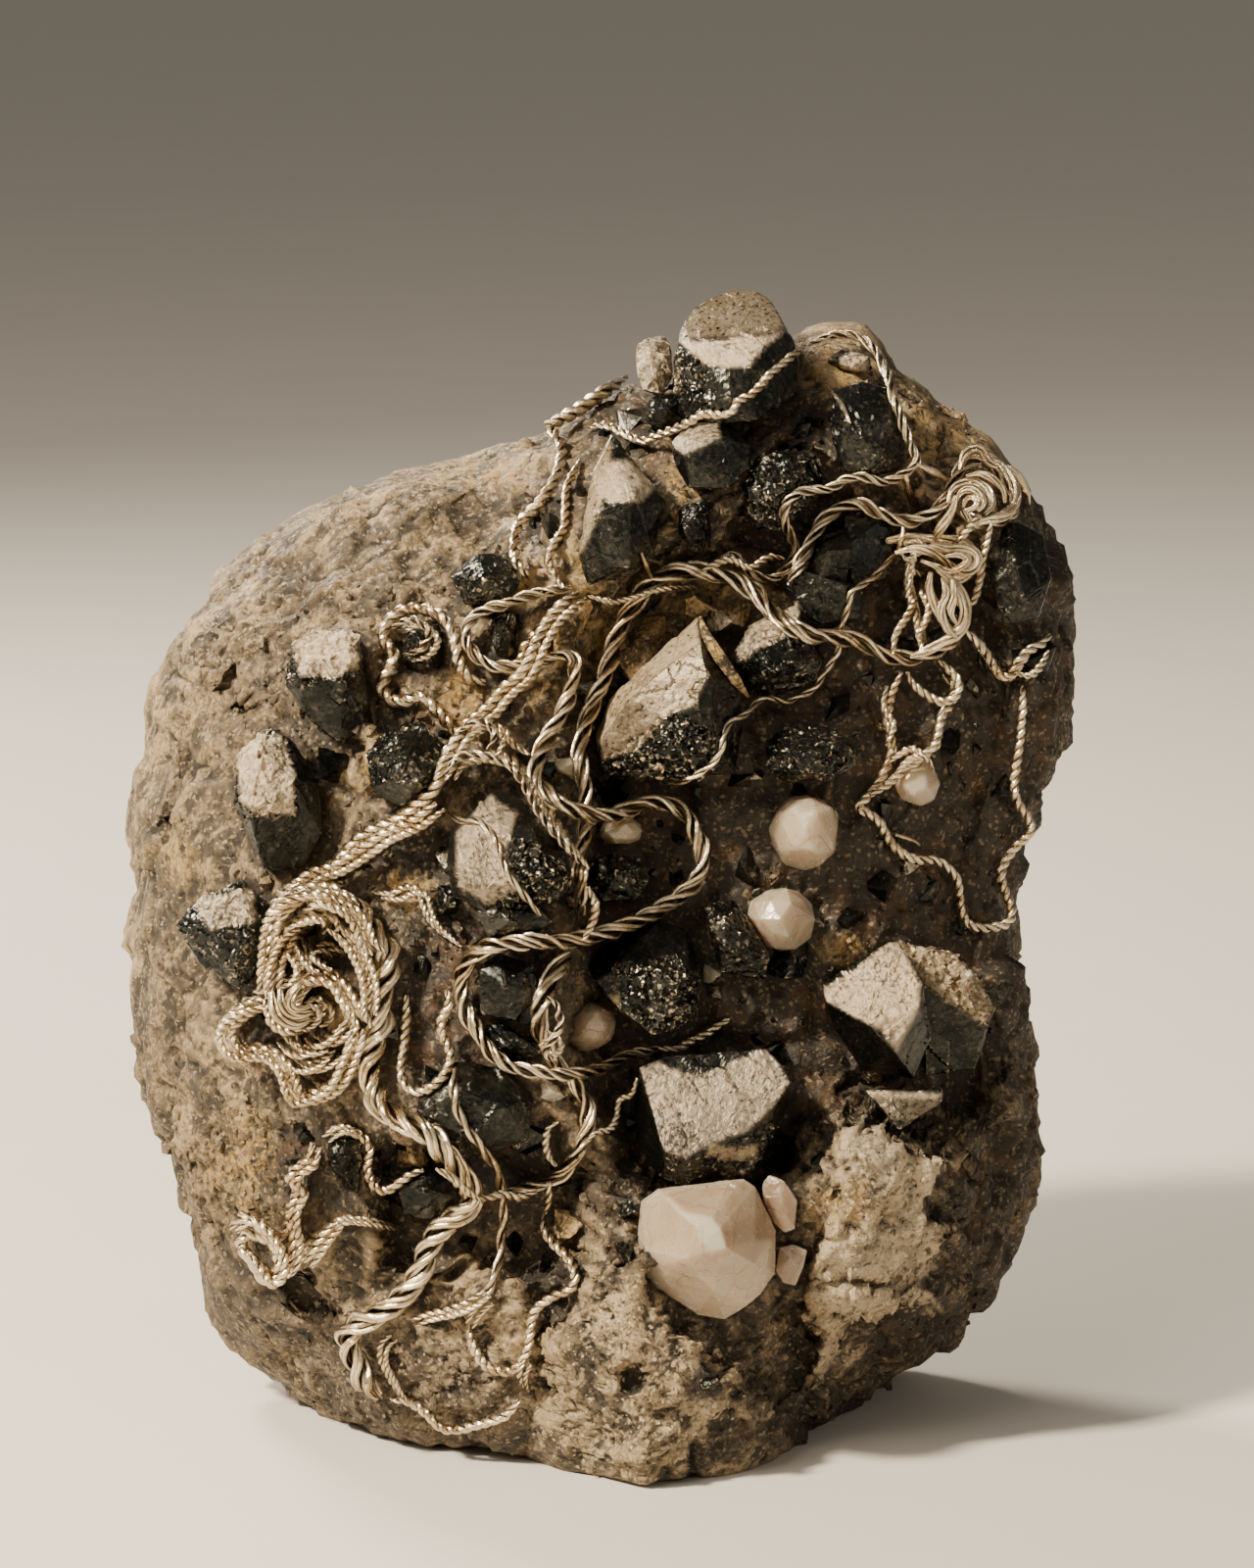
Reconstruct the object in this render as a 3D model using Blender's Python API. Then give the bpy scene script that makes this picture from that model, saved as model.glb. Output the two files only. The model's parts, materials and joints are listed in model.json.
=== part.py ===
"""Wire silver on galena and calcite, in its matrix rock, as separate closed solids.

The specimen stands 84 mm tall on a flat spot under the rock. Its front faces -Y and +Z is up.
Outlines, crystal corners and the runs of the braids are written as points of a front picture,
x to the right and y down, in picture points of 0.0735 mm, because that is how they were read.
sight() turns such a point, with a distance back from the picture plane, into a place in space.
"""

import math

import bmesh
import bpy
import numpy as np
from mathutils import Vector, noise
from mathutils.bvhtree import BVHTree

MM = 0.001

# The front picture: its scale, its middle, and the eye that looks at it a little from above
PICTURE_POINT = 0.0735 * MM
PICTURE_MIDDLE = (640.0, 800.0)
SIGHT_DISTANCE = 429.0 * MM
SIGHT_TILT = math.radians(9.0)
# Where the eye's axis meets the picture plane, so that the box of the whole stands over the origin
MIDDLE_X = 1.85 * MM
MIDDLE_Y = 4.1 * MM

# The rock: how far it reaches to the front and back of the picture plane, and its flat heel
ROCK_CENTRE = (616.0, 908.0)
ROCK_FRONT = 20.0 * MM
ROCK_BACK = 22.0 * MM
ROCK_EDGE = 5.0 * MM
ROCK_SQUARENESS = 2.7
HEEL = (660.0, 1521.0)
HEEL_FRONT = 19.0 * MM
# The relief fades out over the last seventh of the way to the rim
RIM_FADE = 7.0
# The sole: how far the rear is pressed down to the ground, from which height, and how soon
SOLE_DROP = 6.0 * MM
SOLE_HEIGHT = 13.0 * MM
SOLE_ONSET = 3.0
# Weathered lumps: their height, the span of the largest, and how many finer sizes they have
LUMP_HEIGHT = 0.9 * MM
LUMP_SPAN = 11.0 * MM
LUMP_SIZES = 3
# Flat breaks on the rear: their count, bite, spread of bites, lean to the rear, and flatness
CHIP_COUNT = 22
CHIP_BITE = 2.2 * MM
CHIP_SPREAD = (0.5, 1.3)
CHIP_LEAN = 0.35
CHIP_FLATNESS = 0.92
CHIP_SEED = 7
ROCK_LEVELS = 5
ROCK_KEEP = 0.14
GROUND_MERGE = 0.001 * MM

# Fits: the seam round a crystal, and the air between a braid and what it lies on
SEAM = 0.3 * MM
AIR = 0.36 * MM
# A crystal's root: how deep it is set, how far its corners draw in, and a pocket's sharpest reach
ROOT = 3.2 * MM
ROOT_TAPER = 0.8
POCKET_REACH = 2.2
# Calcite pebbles: their facets, how near the middle these are cut, and what counts as flat
PEBBLE_FACETS = 15
PEBBLE_CUTS = (0.8, 0.9)
PEBBLE_ROOT = 0.6
PEBBLE_FLAT = math.radians(9)

# The map of depths that the braids are laid on
MAP_STEP = 5
MAP_LEFT, MAP_RIGHT = 110, 1125
MAP_TOP, MAP_BOTTOM = 285, 1540
OPEN_SIDE = 6.0 * MM
BRAID_STEP = 1.8 * MM
CURVE_STEP = 0.1
# Laying: points tested in each step, rounds of settling, rounds of pulling taut, and the stretch
# behind a point, in radii, that it can't lie across
TESTS_PER_STEP = 6
SETTLE_ROUNDS = 4
TAUT_ROUNDS = 5
OWN_STRETCH = 2.6

ROCK_OUTLINE = [
    (550, 444), (585, 424), (620, 402), (645, 386), (700, 376), (770, 366), (820, 348),
    (850, 339), (880, 343), (902, 360), (916, 378), (932, 390), (970, 425), (1010, 455),
    (1045, 495), (1070, 535), (1085, 590),
    (1095, 660), (1090, 700), (1078, 755), (1062, 810), (1045, 870), (1037, 920), (1040, 1000),
    (1048, 1060), (1058, 1110), (1062, 1145), (1055, 1200), (1042, 1260), (1022, 1308),
    (980, 1350), (940, 1385), (880, 1430), (820, 1465), (760, 1492), (700, 1513), (660, 1521),
    (600, 1502), (540, 1480), (450, 1470), (400, 1460), (350, 1445), (300, 1425), (250, 1385),
    (222, 1345), (205, 1280), (185, 1210), (160, 1150), (145, 1080), (135, 1000), (137, 900),
    (143, 770), (155, 700), (170, 660), (200, 620), (245, 580), (300, 530), (330, 510), (400, 482),
    (480, 465),
]

# Each form on the front of the rock: outline, height out of the face, width of its slope
ROCK_RELIEF = [
    (
        "recess",
        [
            (596, 640), (650, 596), (735, 560), (800, 470), (900, 500), (985, 560), (1052, 640),
            (1056, 800), (1050, 1000), (1052, 1100), (985, 1150), (850, 1128), (815, 1190),
            (700, 1212), (640, 1190), (596, 1100), (606, 960), (600, 800),
        ],
        -6.5 * MM,
        70.0,
    ),
    (
        "lower_block",
        [(838, 1150), (905, 1142), (972, 1180), (962, 1330), (900, 1395), (858, 1408), (838, 1300)],
        2.6 * MM,
        18.0,
    ),
    (
        "block_side",
        [(978, 1170), (1090, 1120), (1080, 1260), (1020, 1345), (968, 1345)],
        -5.0 * MM,
        24.0,
    ),
    (
        "toe",
        [(572, 1300), (650, 1290), (705, 1345), (782, 1432), (740, 1520), (600, 1530), (560, 1480)],
        1.8 * MM,
        22.0,
    ),
    (
        "notch",
        [(700, 1340), (790, 1320), (832, 1330), (850, 1405), (800, 1440), (760, 1412)],
        -2.4 * MM,
        26.0,
    ),
    (
        "crevice",
        [(548, 1320), (572, 1325), (566, 1400), (556, 1490), (540, 1488), (545, 1400)],
        -3.0 * MM,
        16.0,
    ),
    (
        "lower_hollow",
        [(388, 1180), (470, 1150), (560, 1140), (606, 1200), (596, 1275), (520, 1300), (400, 1290)],
        -3.6 * MM,
        40.0,
    ),
    (
        "left_brow",
        [(300, 520), (450, 480), (470, 560), (420, 640), (300, 640), (210, 660), (230, 590)],
        1.6 * MM,
        90.0,
    ),
    (
        "small_pit",
        [(286, 1306), (320, 1302), (326, 1338), (298, 1342)],
        -2.4 * MM,
        14.0,
    ),
]

# Crystals: corners as picture points with how far each stands out of the rock, in millimetres.
# A crystal of several grown-together blocks has several lists of corners.
GALENA = {
    "galena_crown": [
        [
            (712, 310, 2.0), (755, 296, 1.0), (795, 315, 2.0), (697, 345, 5.0), (801, 338, 5.0),
            (705, 350, 5.8), (785, 342, 6.2), (772, 370, 7.0), (715, 368, 7.0), (690, 352, 4.6),
            (686, 380, 4.6), (700, 412, 5.0), (735, 424, 5.4), (790, 418, 5.0), (815, 392, 3.6),
            (817, 350, 3.0),
        ],
        [
            (652, 360, 2.0), (668, 343, 1.5), (688, 350, 1.5), (694, 392, 3.4), (672, 402, 3.5),
            (655, 390, 3.0), (672, 370, 4.5),
        ],
        [
            (658, 415, 2.0), (675, 396, 3.0), (704, 400, 3.5), (702, 433, 3.5), (675, 440, 3.0),
            (682, 418, 4.6),
        ],
    ],
    "galena_under_crown": [
        [
            (684, 452, 3.0), (702, 433, 2.2), (733, 428, 2.2), (736, 446, 4.5), (700, 464, 5.0),
            (690, 478, 4.0), (702, 498, 4.2), (742, 500, 4.2), (766, 478, 3.5), (767, 456, 3.0),
            (745, 432, 2.0),
        ]
    ],
    "galena_upper_druse": [
        [
            (768, 468, 3.0), (800, 458, 3.0), (836, 462, 2.5), (840, 500, 3.0), (820, 520, 3.5),
            (790, 545, 3.0), (765, 525, 3.5), (757, 500, 3.5), (795, 495, 5.5), (815, 480, 5.0),
        ]
    ],
    "galena_upper_right": [
        [
            (850, 398, 2.5), (880, 388, 2.0), (915, 400, 2.0), (926, 440, 2.5), (920, 480, 3.0),
            (880, 490, 4.0), (858, 478, 4.0), (848, 440, 4.0), (862, 430, 5.0), (905, 430, 4.5),
            (900, 465, 5.0),
        ]
    ],
    "galena_upper_left": [
        [
            (625, 442, 1.5), (605, 480, 4.0), (655, 490, 4.5), (680, 512, 3.5), (590, 566, 4.0),
            (600, 598, 3.5), (650, 585, 4.0), (612, 520, 6.0), (645, 508, 6.2), (640, 578, 6.0),
            (596, 560, 5.2), (668, 560, 3.0),
        ]
    ],
    "galena_below_loop": [
        [
            (820, 575, 4.0), (838, 543, 3.0), (866, 538, 3.0), (870, 560, 4.5), (862, 600, 4.0),
            (830, 605, 4.5), (845, 562, 6.0),
        ],
        [
            (862, 522, 3.5), (906, 525, 3.0), (910, 560, 3.2), (904, 590, 3.5), (872, 598, 4.0),
            (862, 560, 4.6),
        ],
        [
            (800, 592, 3.0), (815, 580, 4.0), (860, 596, 4.5), (880, 600, 3.5), (876, 630, 3.0),
            (840, 636, 3.5), (812, 620, 3.6),
        ],
    ],
    "galena_great": [
        [
            (612, 748, 4.0), (650, 690, 3.5), (715, 642, 2.5), (745, 662, 2.5), (768, 740, 4.0),
            (772, 782, 4.5), (758, 808, 4.5), (700, 812, 4.5), (640, 806, 4.5), (608, 785, 5.0),
            (610, 776, 6.4), (655, 716, 5.8), (717, 664, 4.6), (719, 692, 6.0), (700, 730, 7.5),
            (735, 752, 7.2), (660, 765, 7.8), (725, 778, 6.6),
        ]
    ],
    "galena_black_druse": [
        [
            (764, 668, 3.0), (790, 648, 3.0), (812, 640, 2.5), (843, 658, 3.0), (845, 685, 3.5),
            (820, 706, 4.0), (785, 708, 4.0), (772, 695, 3.5), (792, 680, 6.0), (822, 675, 5.5),
        ]
    ],
    "galena_right_druse": [
        [
            (782, 758, 3.0), (800, 743, 2.5), (850, 742, 2.5), (872, 760, 3.0), (874, 780, 3.0),
            (850, 796, 3.5), (800, 798, 3.5), (783, 785, 4.0), (800, 765, 5.5), (850, 766, 5.0),
            (825, 788, 5.5),
        ]
    ],
    "galena_heart": [
        [
            (460, 850, 3.5), (480, 825, 4.0), (503, 803, 3.0), (540, 820, 4.0), (572, 850, 4.5),
            (582, 885, 4.5), (572, 915, 4.5), (540, 928, 5.0), (495, 930, 5.0), (462, 915, 4.0),
            (456, 880, 4.0), (510, 850, 7.0), (545, 860, 7.5), (500, 905, 7.0), (555, 895, 7.5),
        ],
        [
            (485, 930, 4.0), (500, 920, 4.5), (548, 925, 4.5), (562, 940, 4.0), (540, 956, 4.0),
            (500, 958, 4.0), (520, 940, 5.5),
        ],
    ],
    "galena_inner": [
        [
            (602, 880, 3.0), (625, 870, 3.0), (655, 876, 3.0), (663, 900, 3.2), (650, 918, 3.5),
            (615, 920, 3.5), (602, 905, 3.5), (632, 890, 5.0),
        ]
    ],
    "galena_by_calcite": [
        [
            (721, 922, 3.5), (750, 918, 3.0), (756, 958, 4.5), (740, 964, 5.2), (724, 948, 5.0),
            (742, 938, 5.4), (735, 992, 3.6), (782, 1000, 3.0), (786, 974, 3.4), (762, 968, 4.6),
        ]
    ],
    "galena_middle": [
        [
            (600, 985, 4.0), (620, 955, 3.5), (672, 938, 3.0), (702, 950, 3.0), (712, 975, 3.5),
            (714, 1030, 3.5), (700, 1046, 5.0), (666, 1056, 6.0), (634, 1032, 6.0),
            (605, 1000, 5.5), (700, 995, 6.5), (640, 985, 6.5), (690, 1000, 7.0),
        ]
    ],
    "galena_lower_great": [
        [
            (652, 1090, 6.0), (700, 1072, 5.5), (780, 1066, 5.0), (812, 1092, 5.5),
            (806, 1108, 6.5), (780, 1150, 7.5), (750, 1162, 8.5), (680, 1178, 8.5),
            (662, 1120, 7.5), (645, 1140, 5.0), (650, 1180, 5.5), (685, 1196, 5.5),
            (770, 1194, 5.5), (800, 1170, 5.0), (815, 1120, 4.5),
        ]
    ],
    "galena_right_point": [
        [
            (839, 1004, 5.0), (872, 990, 4.5), (905, 962, 3.5), (918, 960, 3.5), (943, 1005, 6.0),
            (940, 1030, 7.0), (885, 1044, 8.0), (910, 1070, 7.5), (842, 1022, 5.5),
            (850, 1050, 4.5), (880, 1092, 4.0), (932, 1100, 4.0), (950, 1060, 4.5),
        ],
        [
            (918, 960, 3.5), (970, 972, 3.0), (998, 998, 3.0), (1015, 1030, 3.0),
            (1008, 1045, 3.5), (965, 1025, 4.5), (943, 1005, 5.5), (995, 1090, 2.0),
            (945, 1098, 3.0), (950, 1012, 5.0),
        ],
    ],
    "galena_shard": [
        [
            (882, 1113, 4.5), (900, 1112, 5.0), (920, 1120, 5.2), (963, 1110, 4.5),
            (962, 1124, 4.6), (918, 1153, 5.6), (910, 1145, 5.4),
        ]
    ],
    "galena_left_upper": [
        [
            (300, 655, 3.0), (325, 640, 2.5), (365, 645, 2.5), (372, 690, 3.5), (382, 742, 3.0),
            (345, 758, 3.5), (315, 735, 4.0), (290, 695, 4.0), (305, 690, 5.5), (350, 695, 6.0),
            (360, 660, 4.5),
        ]
    ],
    "galena_left_tall": [
        [
            (240, 770, 3.5), (275, 742, 2.5), (300, 755, 2.5), (325, 800, 3.0), (330, 850, 3.0),
            (310, 886, 2.5), (270, 888, 2.5), (252, 850, 3.5), (240, 820, 4.0), (255, 830, 6.0),
            (300, 800, 5.5), (262, 762, 5.5),
        ]
    ],
    "galena_left_edge": [
        [
            (178, 945, 3.0), (205, 915, 2.5), (250, 898, 2.5), (278, 930, 3.0), (280, 985, 3.5),
            (245, 1010, 3.5), (205, 985, 3.0), (215, 945, 5.5), (255, 950, 6.0), (240, 985, 5.5),
        ]
    ],
    "galena_left_inner": [
        [
            (375, 770, 3.0), (395, 742, 2.5), (435, 738, 2.5), (455, 770, 3.0), (450, 805, 3.0),
            (410, 822, 3.0), (380, 810, 3.0), (410, 765, 5.0), (430, 790, 5.0),
        ]
    ],
    "galena_small_upper": [
        [
            (460, 590, 2.5), (485, 565, 2.0), (520, 568, 2.0), (532, 590, 2.5), (520, 615, 3.0),
            (475, 618, 3.0), (495, 590, 4.5),
        ]
    ],
    "galena_lower_left": [
        [
            (430, 1105, 3.0), (465, 1082, 3.0), (520, 1090, 3.0), (545, 1120, 3.0),
            (540, 1165, 3.0), (495, 1178, 3.0), (440, 1165, 3.5), (425, 1135, 4.0),
            (470, 1110, 5.0), (515, 1130, 5.0), (480, 1160, 5.0),
        ]
    ],
    "galena_smooth": [
        [
            (486, 988, 3.0), (510, 972, 3.0), (545, 985, 3.0), (548, 1020, 3.0), (525, 1042, 3.0),
            (490, 1035, 3.0), (515, 1005, 4.5),
        ]
    ],
    "galena_blue_lump": [
        [
            (404, 1210, 3.0), (430, 1190, 3.0), (465, 1195, 3.0), (472, 1225, 3.0),
            (445, 1247, 3.0), (412, 1240, 3.0), (435, 1215, 4.5),
        ]
    ],
    "galena_right_edge": [
        [
            (1012, 550, 1.0), (1035, 530, 1.0), (1065, 545, 0.5), (1074, 590, 0.5),
            (1060, 632, 1.0), (1025, 638, 1.5), (1010, 600, 2.0), (1035, 570, 3.0),
            (1045, 610, 3.0),
        ]
    ],
}
# Picture points at which a crystal that stands past the rock's edge takes its depth
GALENA_SEATS = {"galena_crown": (752, 412)}

# Calcite pebbles: middle, width and height in picture points, and how far they stand out
CALCITE = {
    "calcite_great": (722, 1273, 142, 142, 6.6),
    "calcite_beside_great": (797, 1228, 34, 56, 2.6),
    "calcite_under_great": (808, 1290, 34, 42, 2.6),
    "calcite_right": (821, 847, 74, 84, 4.2),
    "calcite_bright": (797, 938, 70, 66, 4.6),
    "calcite_upper_right": (940, 797, 48, 56, 3.2),
    "calcite_round": (601, 1046, 55, 55, 3.8),
    "calcite_inner": (632, 848, 46, 32, 3.2),
}

# Native silver: half the width of each braid in millimetres, and its run over the face
SILVER = {
    "silver_left_edge": (0.44, [
        (640, 385), (620, 400), (600, 413), (580, 425), (562, 436), (572, 452), (572, 470),
        (566, 490), (557, 505), (545, 520), (530, 535), (525, 555), (528, 575), (540, 590),
    ]),
    "silver_crown_strand": (0.34, [
        (600, 436), (620, 434), (637, 442), (655, 450), (672, 444), (690, 437), (705, 430),
        (718, 422), (735, 424), (748, 420), (752, 410), (765, 404), (775, 395), (785, 383),
        (797, 373), (810, 362), (822, 352),
    ]),
    "silver_upper_braid": (0.46, [
        (735, 570), (748, 566), (758, 575), (768, 586), (785, 590), (800, 584), (808, 572),
        (812, 558), (805, 543), (800, 528), (803, 513), (815, 503), (832, 500), (848, 498),
        (862, 490), (880, 486), (900, 492), (915, 488), (928, 480), (936, 470), (930, 455),
        (924, 440), (918, 423), (913, 408), (909, 392), (903, 376), (895, 360), (882, 347),
        (865, 341), (846, 343), (828, 350),
    ]),
    "silver_upper_loop": (0.52, [
        (806, 592), (818, 572), (828, 552), (840, 532), (857, 518), (877, 514), (900, 525),
        (925, 532), (945, 527), (960, 516), (970, 500), (978, 482), (992, 468), (1008, 470),
        (1022, 484), (1034, 500), (1036, 516), (1026, 528), (1008, 534), (992, 530), (982, 520),
    ]),
    "silver_thread": (0.3, [
        (912, 566), (903, 577), (892, 589), (880, 597), (869, 604), (866, 618), (861, 632),
        (857, 648), (855, 665), (848, 676), (840, 689), (832, 702), (815, 711), (800, 717),
        (785, 712), (772, 717), (762, 729), (745, 737), (739, 752), (736, 766), (728, 778),
        (712, 790), (695, 798), (678, 799),
    ]),
    "silver_skein": (0.5, [
        (905, 552), (925, 549), (950, 552), (975, 552), (990, 560), (994, 575), (982, 588),
        (968, 590), (975, 604), (985, 620), (984, 634),
    ]),
    "silver_skein_fall": (0.42, [
        (936, 560), (928, 578), (928, 598), (932, 618), (938, 638), (944, 656),
    ]),
    "silver_long_right": (0.38, [
        (918, 692), (910, 710), (906, 730), (907, 748), (910, 765), (905, 782), (896, 800),
        (884, 814), (876, 825), (890, 832), (900, 843), (907, 857), (919, 870), (936, 877),
        (955, 878), (968, 886), (977, 898), (979, 915), (982, 932), (990, 944), (1006, 947),
        (1024, 944), (1033, 934), (1029, 918), (1023, 903), (1022, 888), (1030, 872), (1040, 860),
        (1052, 850), (1050, 836), (1040, 822), (1035, 805), (1037, 782), (1041, 752), (1043, 722),
        (1044, 700),
    ]),
    "silver_side_branch": (0.42, [
        (994, 656), (1008, 668), (1018, 684), (1028, 692), (1038, 680), (1050, 664), (1064, 654),
    ]),
    "silver_hanger": (0.38, [
        (962, 690), (974, 700), (972, 716), (962, 728), (958, 745), (954, 762), (938, 768),
    ]),
    "silver_arch": (0.72, [
        (985, 640), (962, 660), (932, 672), (902, 668), (876, 655), (850, 650), (825, 648),
        (800, 635), (784, 620), (770, 604), (753, 592), (733, 586), (712, 583), (692, 583),
        (673, 590), (659, 601), (648, 615), (639, 629), (631, 646), (625, 665), (619, 685),
        (611, 705), (602, 725), (595, 745), (591, 765), (593, 785), (597, 805), (598, 825),
        (597, 845), (594, 865), (591, 890), (592, 912), (593, 934),
    ]),
    "silver_far_loop": (0.5, [
        (495, 697), (476, 690), (468, 672), (464, 650), (453, 632), (434, 622), (412, 623),
        (396, 636), (391, 652), (402, 668), (396, 685), (390, 700), (397, 713), (413, 716),
        (430, 710), (442, 722), (456, 736), (466, 752),
    ]),
    "silver_long_diagonal": (0.5, [
        (572, 622), (556, 640), (536, 660), (527, 690), (511, 710), (495, 728), (480, 745),
        (463, 760), (453, 780), (447, 800), (434, 815), (415, 829), (399, 839), (380, 846),
        (362, 860), (346, 878), (326, 892), (306, 901),
    ]),
    "silver_cross_braid": (0.5, [
        (486, 772), (505, 769), (524, 778), (538, 795), (550, 815), (562, 835), (572, 852),
        (581, 868),
    ]),
    "silver_thin_cross": (0.3, [
        (452, 822), (460, 832), (472, 838), (486, 836), (498, 846), (508, 861), (513, 880),
        (521, 896), (531, 908), (541, 921), (551, 934),
    ]),
    "silver_centre_braid": (0.66, [
        (588, 962), (575, 980), (562, 1000), (553, 1020), (550, 1038), (553, 1056), (560, 1072),
        (570, 1088), (584, 1104), (597, 1122), (601, 1140), (597, 1160), (588, 1178),
        (577, 1194), (559, 1206), (536, 1213), (514, 1218),
    ]),
    "silver_long_s": (0.62, [
        (583, 600), (562, 603), (540, 608), (516, 616), (496, 622), (481, 632), (475, 645),
        (478, 658), (487, 670), (502, 679), (522, 680), (542, 678), (560, 673), (575, 667),
        (586, 674), (585, 692), (580, 711), (572, 730), (561, 749), (551, 768), (546, 785),
        (550, 801), (561, 813), (576, 823), (596, 830), (616, 833), (636, 829), (651, 822),
        (667, 818), (686, 822), (701, 832), (710, 850), (716, 868), (717, 885), (710, 900),
        (698, 912), (678, 926), (654, 938), (630, 948), (601, 957), (570, 961), (540, 961),
        (511, 963), (490, 969), (477, 981), (470, 1000), (471, 1018), (478, 1037), (489, 1056),
        (502, 1075), (521, 1088), (545, 1093), (570, 1096), (595, 1095), (615, 1090),
        (636, 1079), (655, 1074), (672, 1070),
    ]),
    "silver_mid_strand": (0.38, [
        (415, 1015), (415, 1040), (413, 1065), (410, 1087), (413, 1106), (427, 1114),
        (445, 1106), (457, 1092), (460, 1074), (452, 1057), (450, 1041), (458, 1026), (456, 1010),
    ]),
    "silver_nest_rim": (0.5, [
        (350, 902), (330, 904), (310, 908), (297, 922), (289, 945), (283, 968), (281, 990),
        (272, 1008), (255, 1021), (240, 1033), (231, 1048), (238, 1062), (252, 1071),
        (268, 1069), (284, 1076), (293, 1090), (301, 1106), (312, 1117), (328, 1114),
        (342, 1104), (354, 1090),
    ]),
    "silver_nest_coil": (0.56, [
        (306, 1068), (296, 1048), (296, 1026), (303, 1008), (317, 997), (333, 996), (346, 1004),
        (354, 1020), (358, 1040), (350, 1060),
    ]),
    "silver_left_tangle": (0.46, [
        (318, 1166), (319, 1184), (306, 1198), (304, 1216), (298, 1238), (290, 1258), (272, 1264),
        (254, 1258), (246, 1272), (258, 1286), (274, 1298), (290, 1300), (302, 1288), (316, 1272),
        (332, 1256), (350, 1245), (372, 1246),
    ]),
    "silver_left_hook": (0.38, [
        (338, 1158), (356, 1154), (370, 1160), (378, 1173), (375, 1192), (381, 1209), (393, 1216),
        (405, 1209), (417, 1200), (432, 1194),
    ]),
    "silver_lower_loop": (0.38, [
        (556, 1238), (556, 1254), (566, 1270), (580, 1284), (587, 1300), (583, 1315),
        (566, 1322), (549, 1334), (542, 1350), (540, 1370), (534, 1386), (522, 1399),
        (504, 1398), (491, 1389), (482, 1371), (478, 1352),
    ]),
    "silver_lower_strand": (0.36, [
        (464, 1090), (463, 1110), (466, 1131), (476, 1150), (488, 1166), (499, 1182), (509, 1198),
        (514, 1238), (511, 1262), (511, 1282), (505, 1300), (497, 1318), (478, 1330),
        (456, 1337), (438, 1341),
    ]),
    "silver_bottom_strand": (0.38, [
        (399, 1428), (420, 1431), (436, 1443), (449, 1456), (466, 1459), (486, 1454), (505, 1449),
        (520, 1441), (530, 1428),
    ]),
    "silver_hanging_braid": (0.86, [
        (352, 915), (364, 925), (371, 940), (383, 956), (395, 970), (397, 987), (391, 1006),
        (388, 1026), (388, 1046), (381, 1065), (376, 1085), (379, 1105), (386, 1124),
        (400, 1138), (419, 1148), (438, 1158), (452, 1174), (465, 1191), (478, 1208),
        (482, 1224), (468, 1240), (450, 1254), (438, 1271), (431, 1290), (424, 1307),
        (411, 1323), (394, 1337), (374, 1347), (358, 1357), (354, 1370), (361, 1386),
        (368, 1401), (376, 1415), (388, 1424),
    ]),
}
THICK_BRAID = 0.6

# Colours of the finishes, linear
ROCK_COLOUR = (0.20, 0.155, 0.105)
GALENA_COLOUR = (0.09, 0.095, 0.10)
CALCITE_COLOUR = (0.62, 0.50, 0.42)
SILVER_COLOUR = (0.72, 0.60, 0.46)

RIGHT = np.array((1.0, 0.0, 0.0))
AHEAD = np.array((0.0, math.cos(SIGHT_TILT), -math.sin(SIGHT_TILT)))
UPWARD = np.array((0.0, math.sin(SIGHT_TILT), math.cos(SIGHT_TILT)))
FOCUS = SIGHT_DISTANCE / PICTURE_POINT


def ray(x, y):
    """Direction of sight through a picture point, one metre long along the eye's axis."""
    across = (np.asarray(x, float) - PICTURE_MIDDLE[0]) / FOCUS
    down = (np.asarray(y, float) - PICTURE_MIDDLE[1]) / FOCUS
    return AHEAD + np.multiply.outer(across, RIGHT) - np.multiply.outer(down, UPWARD)


def eye():
    """Place of the eye, at the height that puts the rock's heel on the ground."""
    heel_ray = ray(*HEEL)
    height = -heel_ray[2] * (SIGHT_DISTANCE - HEEL_FRONT)
    return np.array((MIDDLE_X, MIDDLE_Y - AHEAD[1] * SIGHT_DISTANCE, height))


EYE = eye()


def sight(x, y, back):
    """Place in space of picture points, each at a distance back from the picture plane."""
    return EYE + ray(x, y) * (SIGHT_DISTANCE + np.asarray(back, float))[..., None]


def ground_behind(x, y):
    """How far back of the picture plane the line of sight through a point meets the ground."""
    drop = np.minimum(ray(x, y)[..., 2], -1e-6)
    return -EYE[2] / drop - SIGHT_DISTANCE


def depth_inside(x, y, outline):
    """Distance of picture points inside an outline, below zero outside it."""
    corners = np.array(outline, float)
    nearest = np.full(np.shape(x), 1e9)
    inside = np.zeros(np.shape(x), bool)
    for (ax, ay), (bx, by) in zip(corners, np.roll(corners, -1, axis=0)):
        dx, dy = bx - ax, by - ay
        along = np.clip(((x - ax) * dx + (y - ay) * dy) / (dx * dx + dy * dy), 0, 1)
        nearest = np.minimum(nearest, np.hypot(x - ax - along * dx, y - ay - along * dy))
        crosses = ((ay > y) != (by > y)) & (x < (bx - ax) * (y - ay) / (by - ay + 1e-12) + ax)
        inside ^= crosses
    return np.where(inside, nearest, -nearest)


def relief(x, y):
    """Height of the forms on the rock's face at picture points."""
    height = np.zeros(np.shape(x))
    for _, outline, rise, slope in ROCK_RELIEF:
        share = np.clip(depth_inside(x, y, outline) / slope + 0.5, 0, 1)
        height += rise * share * share * (3 - 2 * share)
    return height


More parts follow.
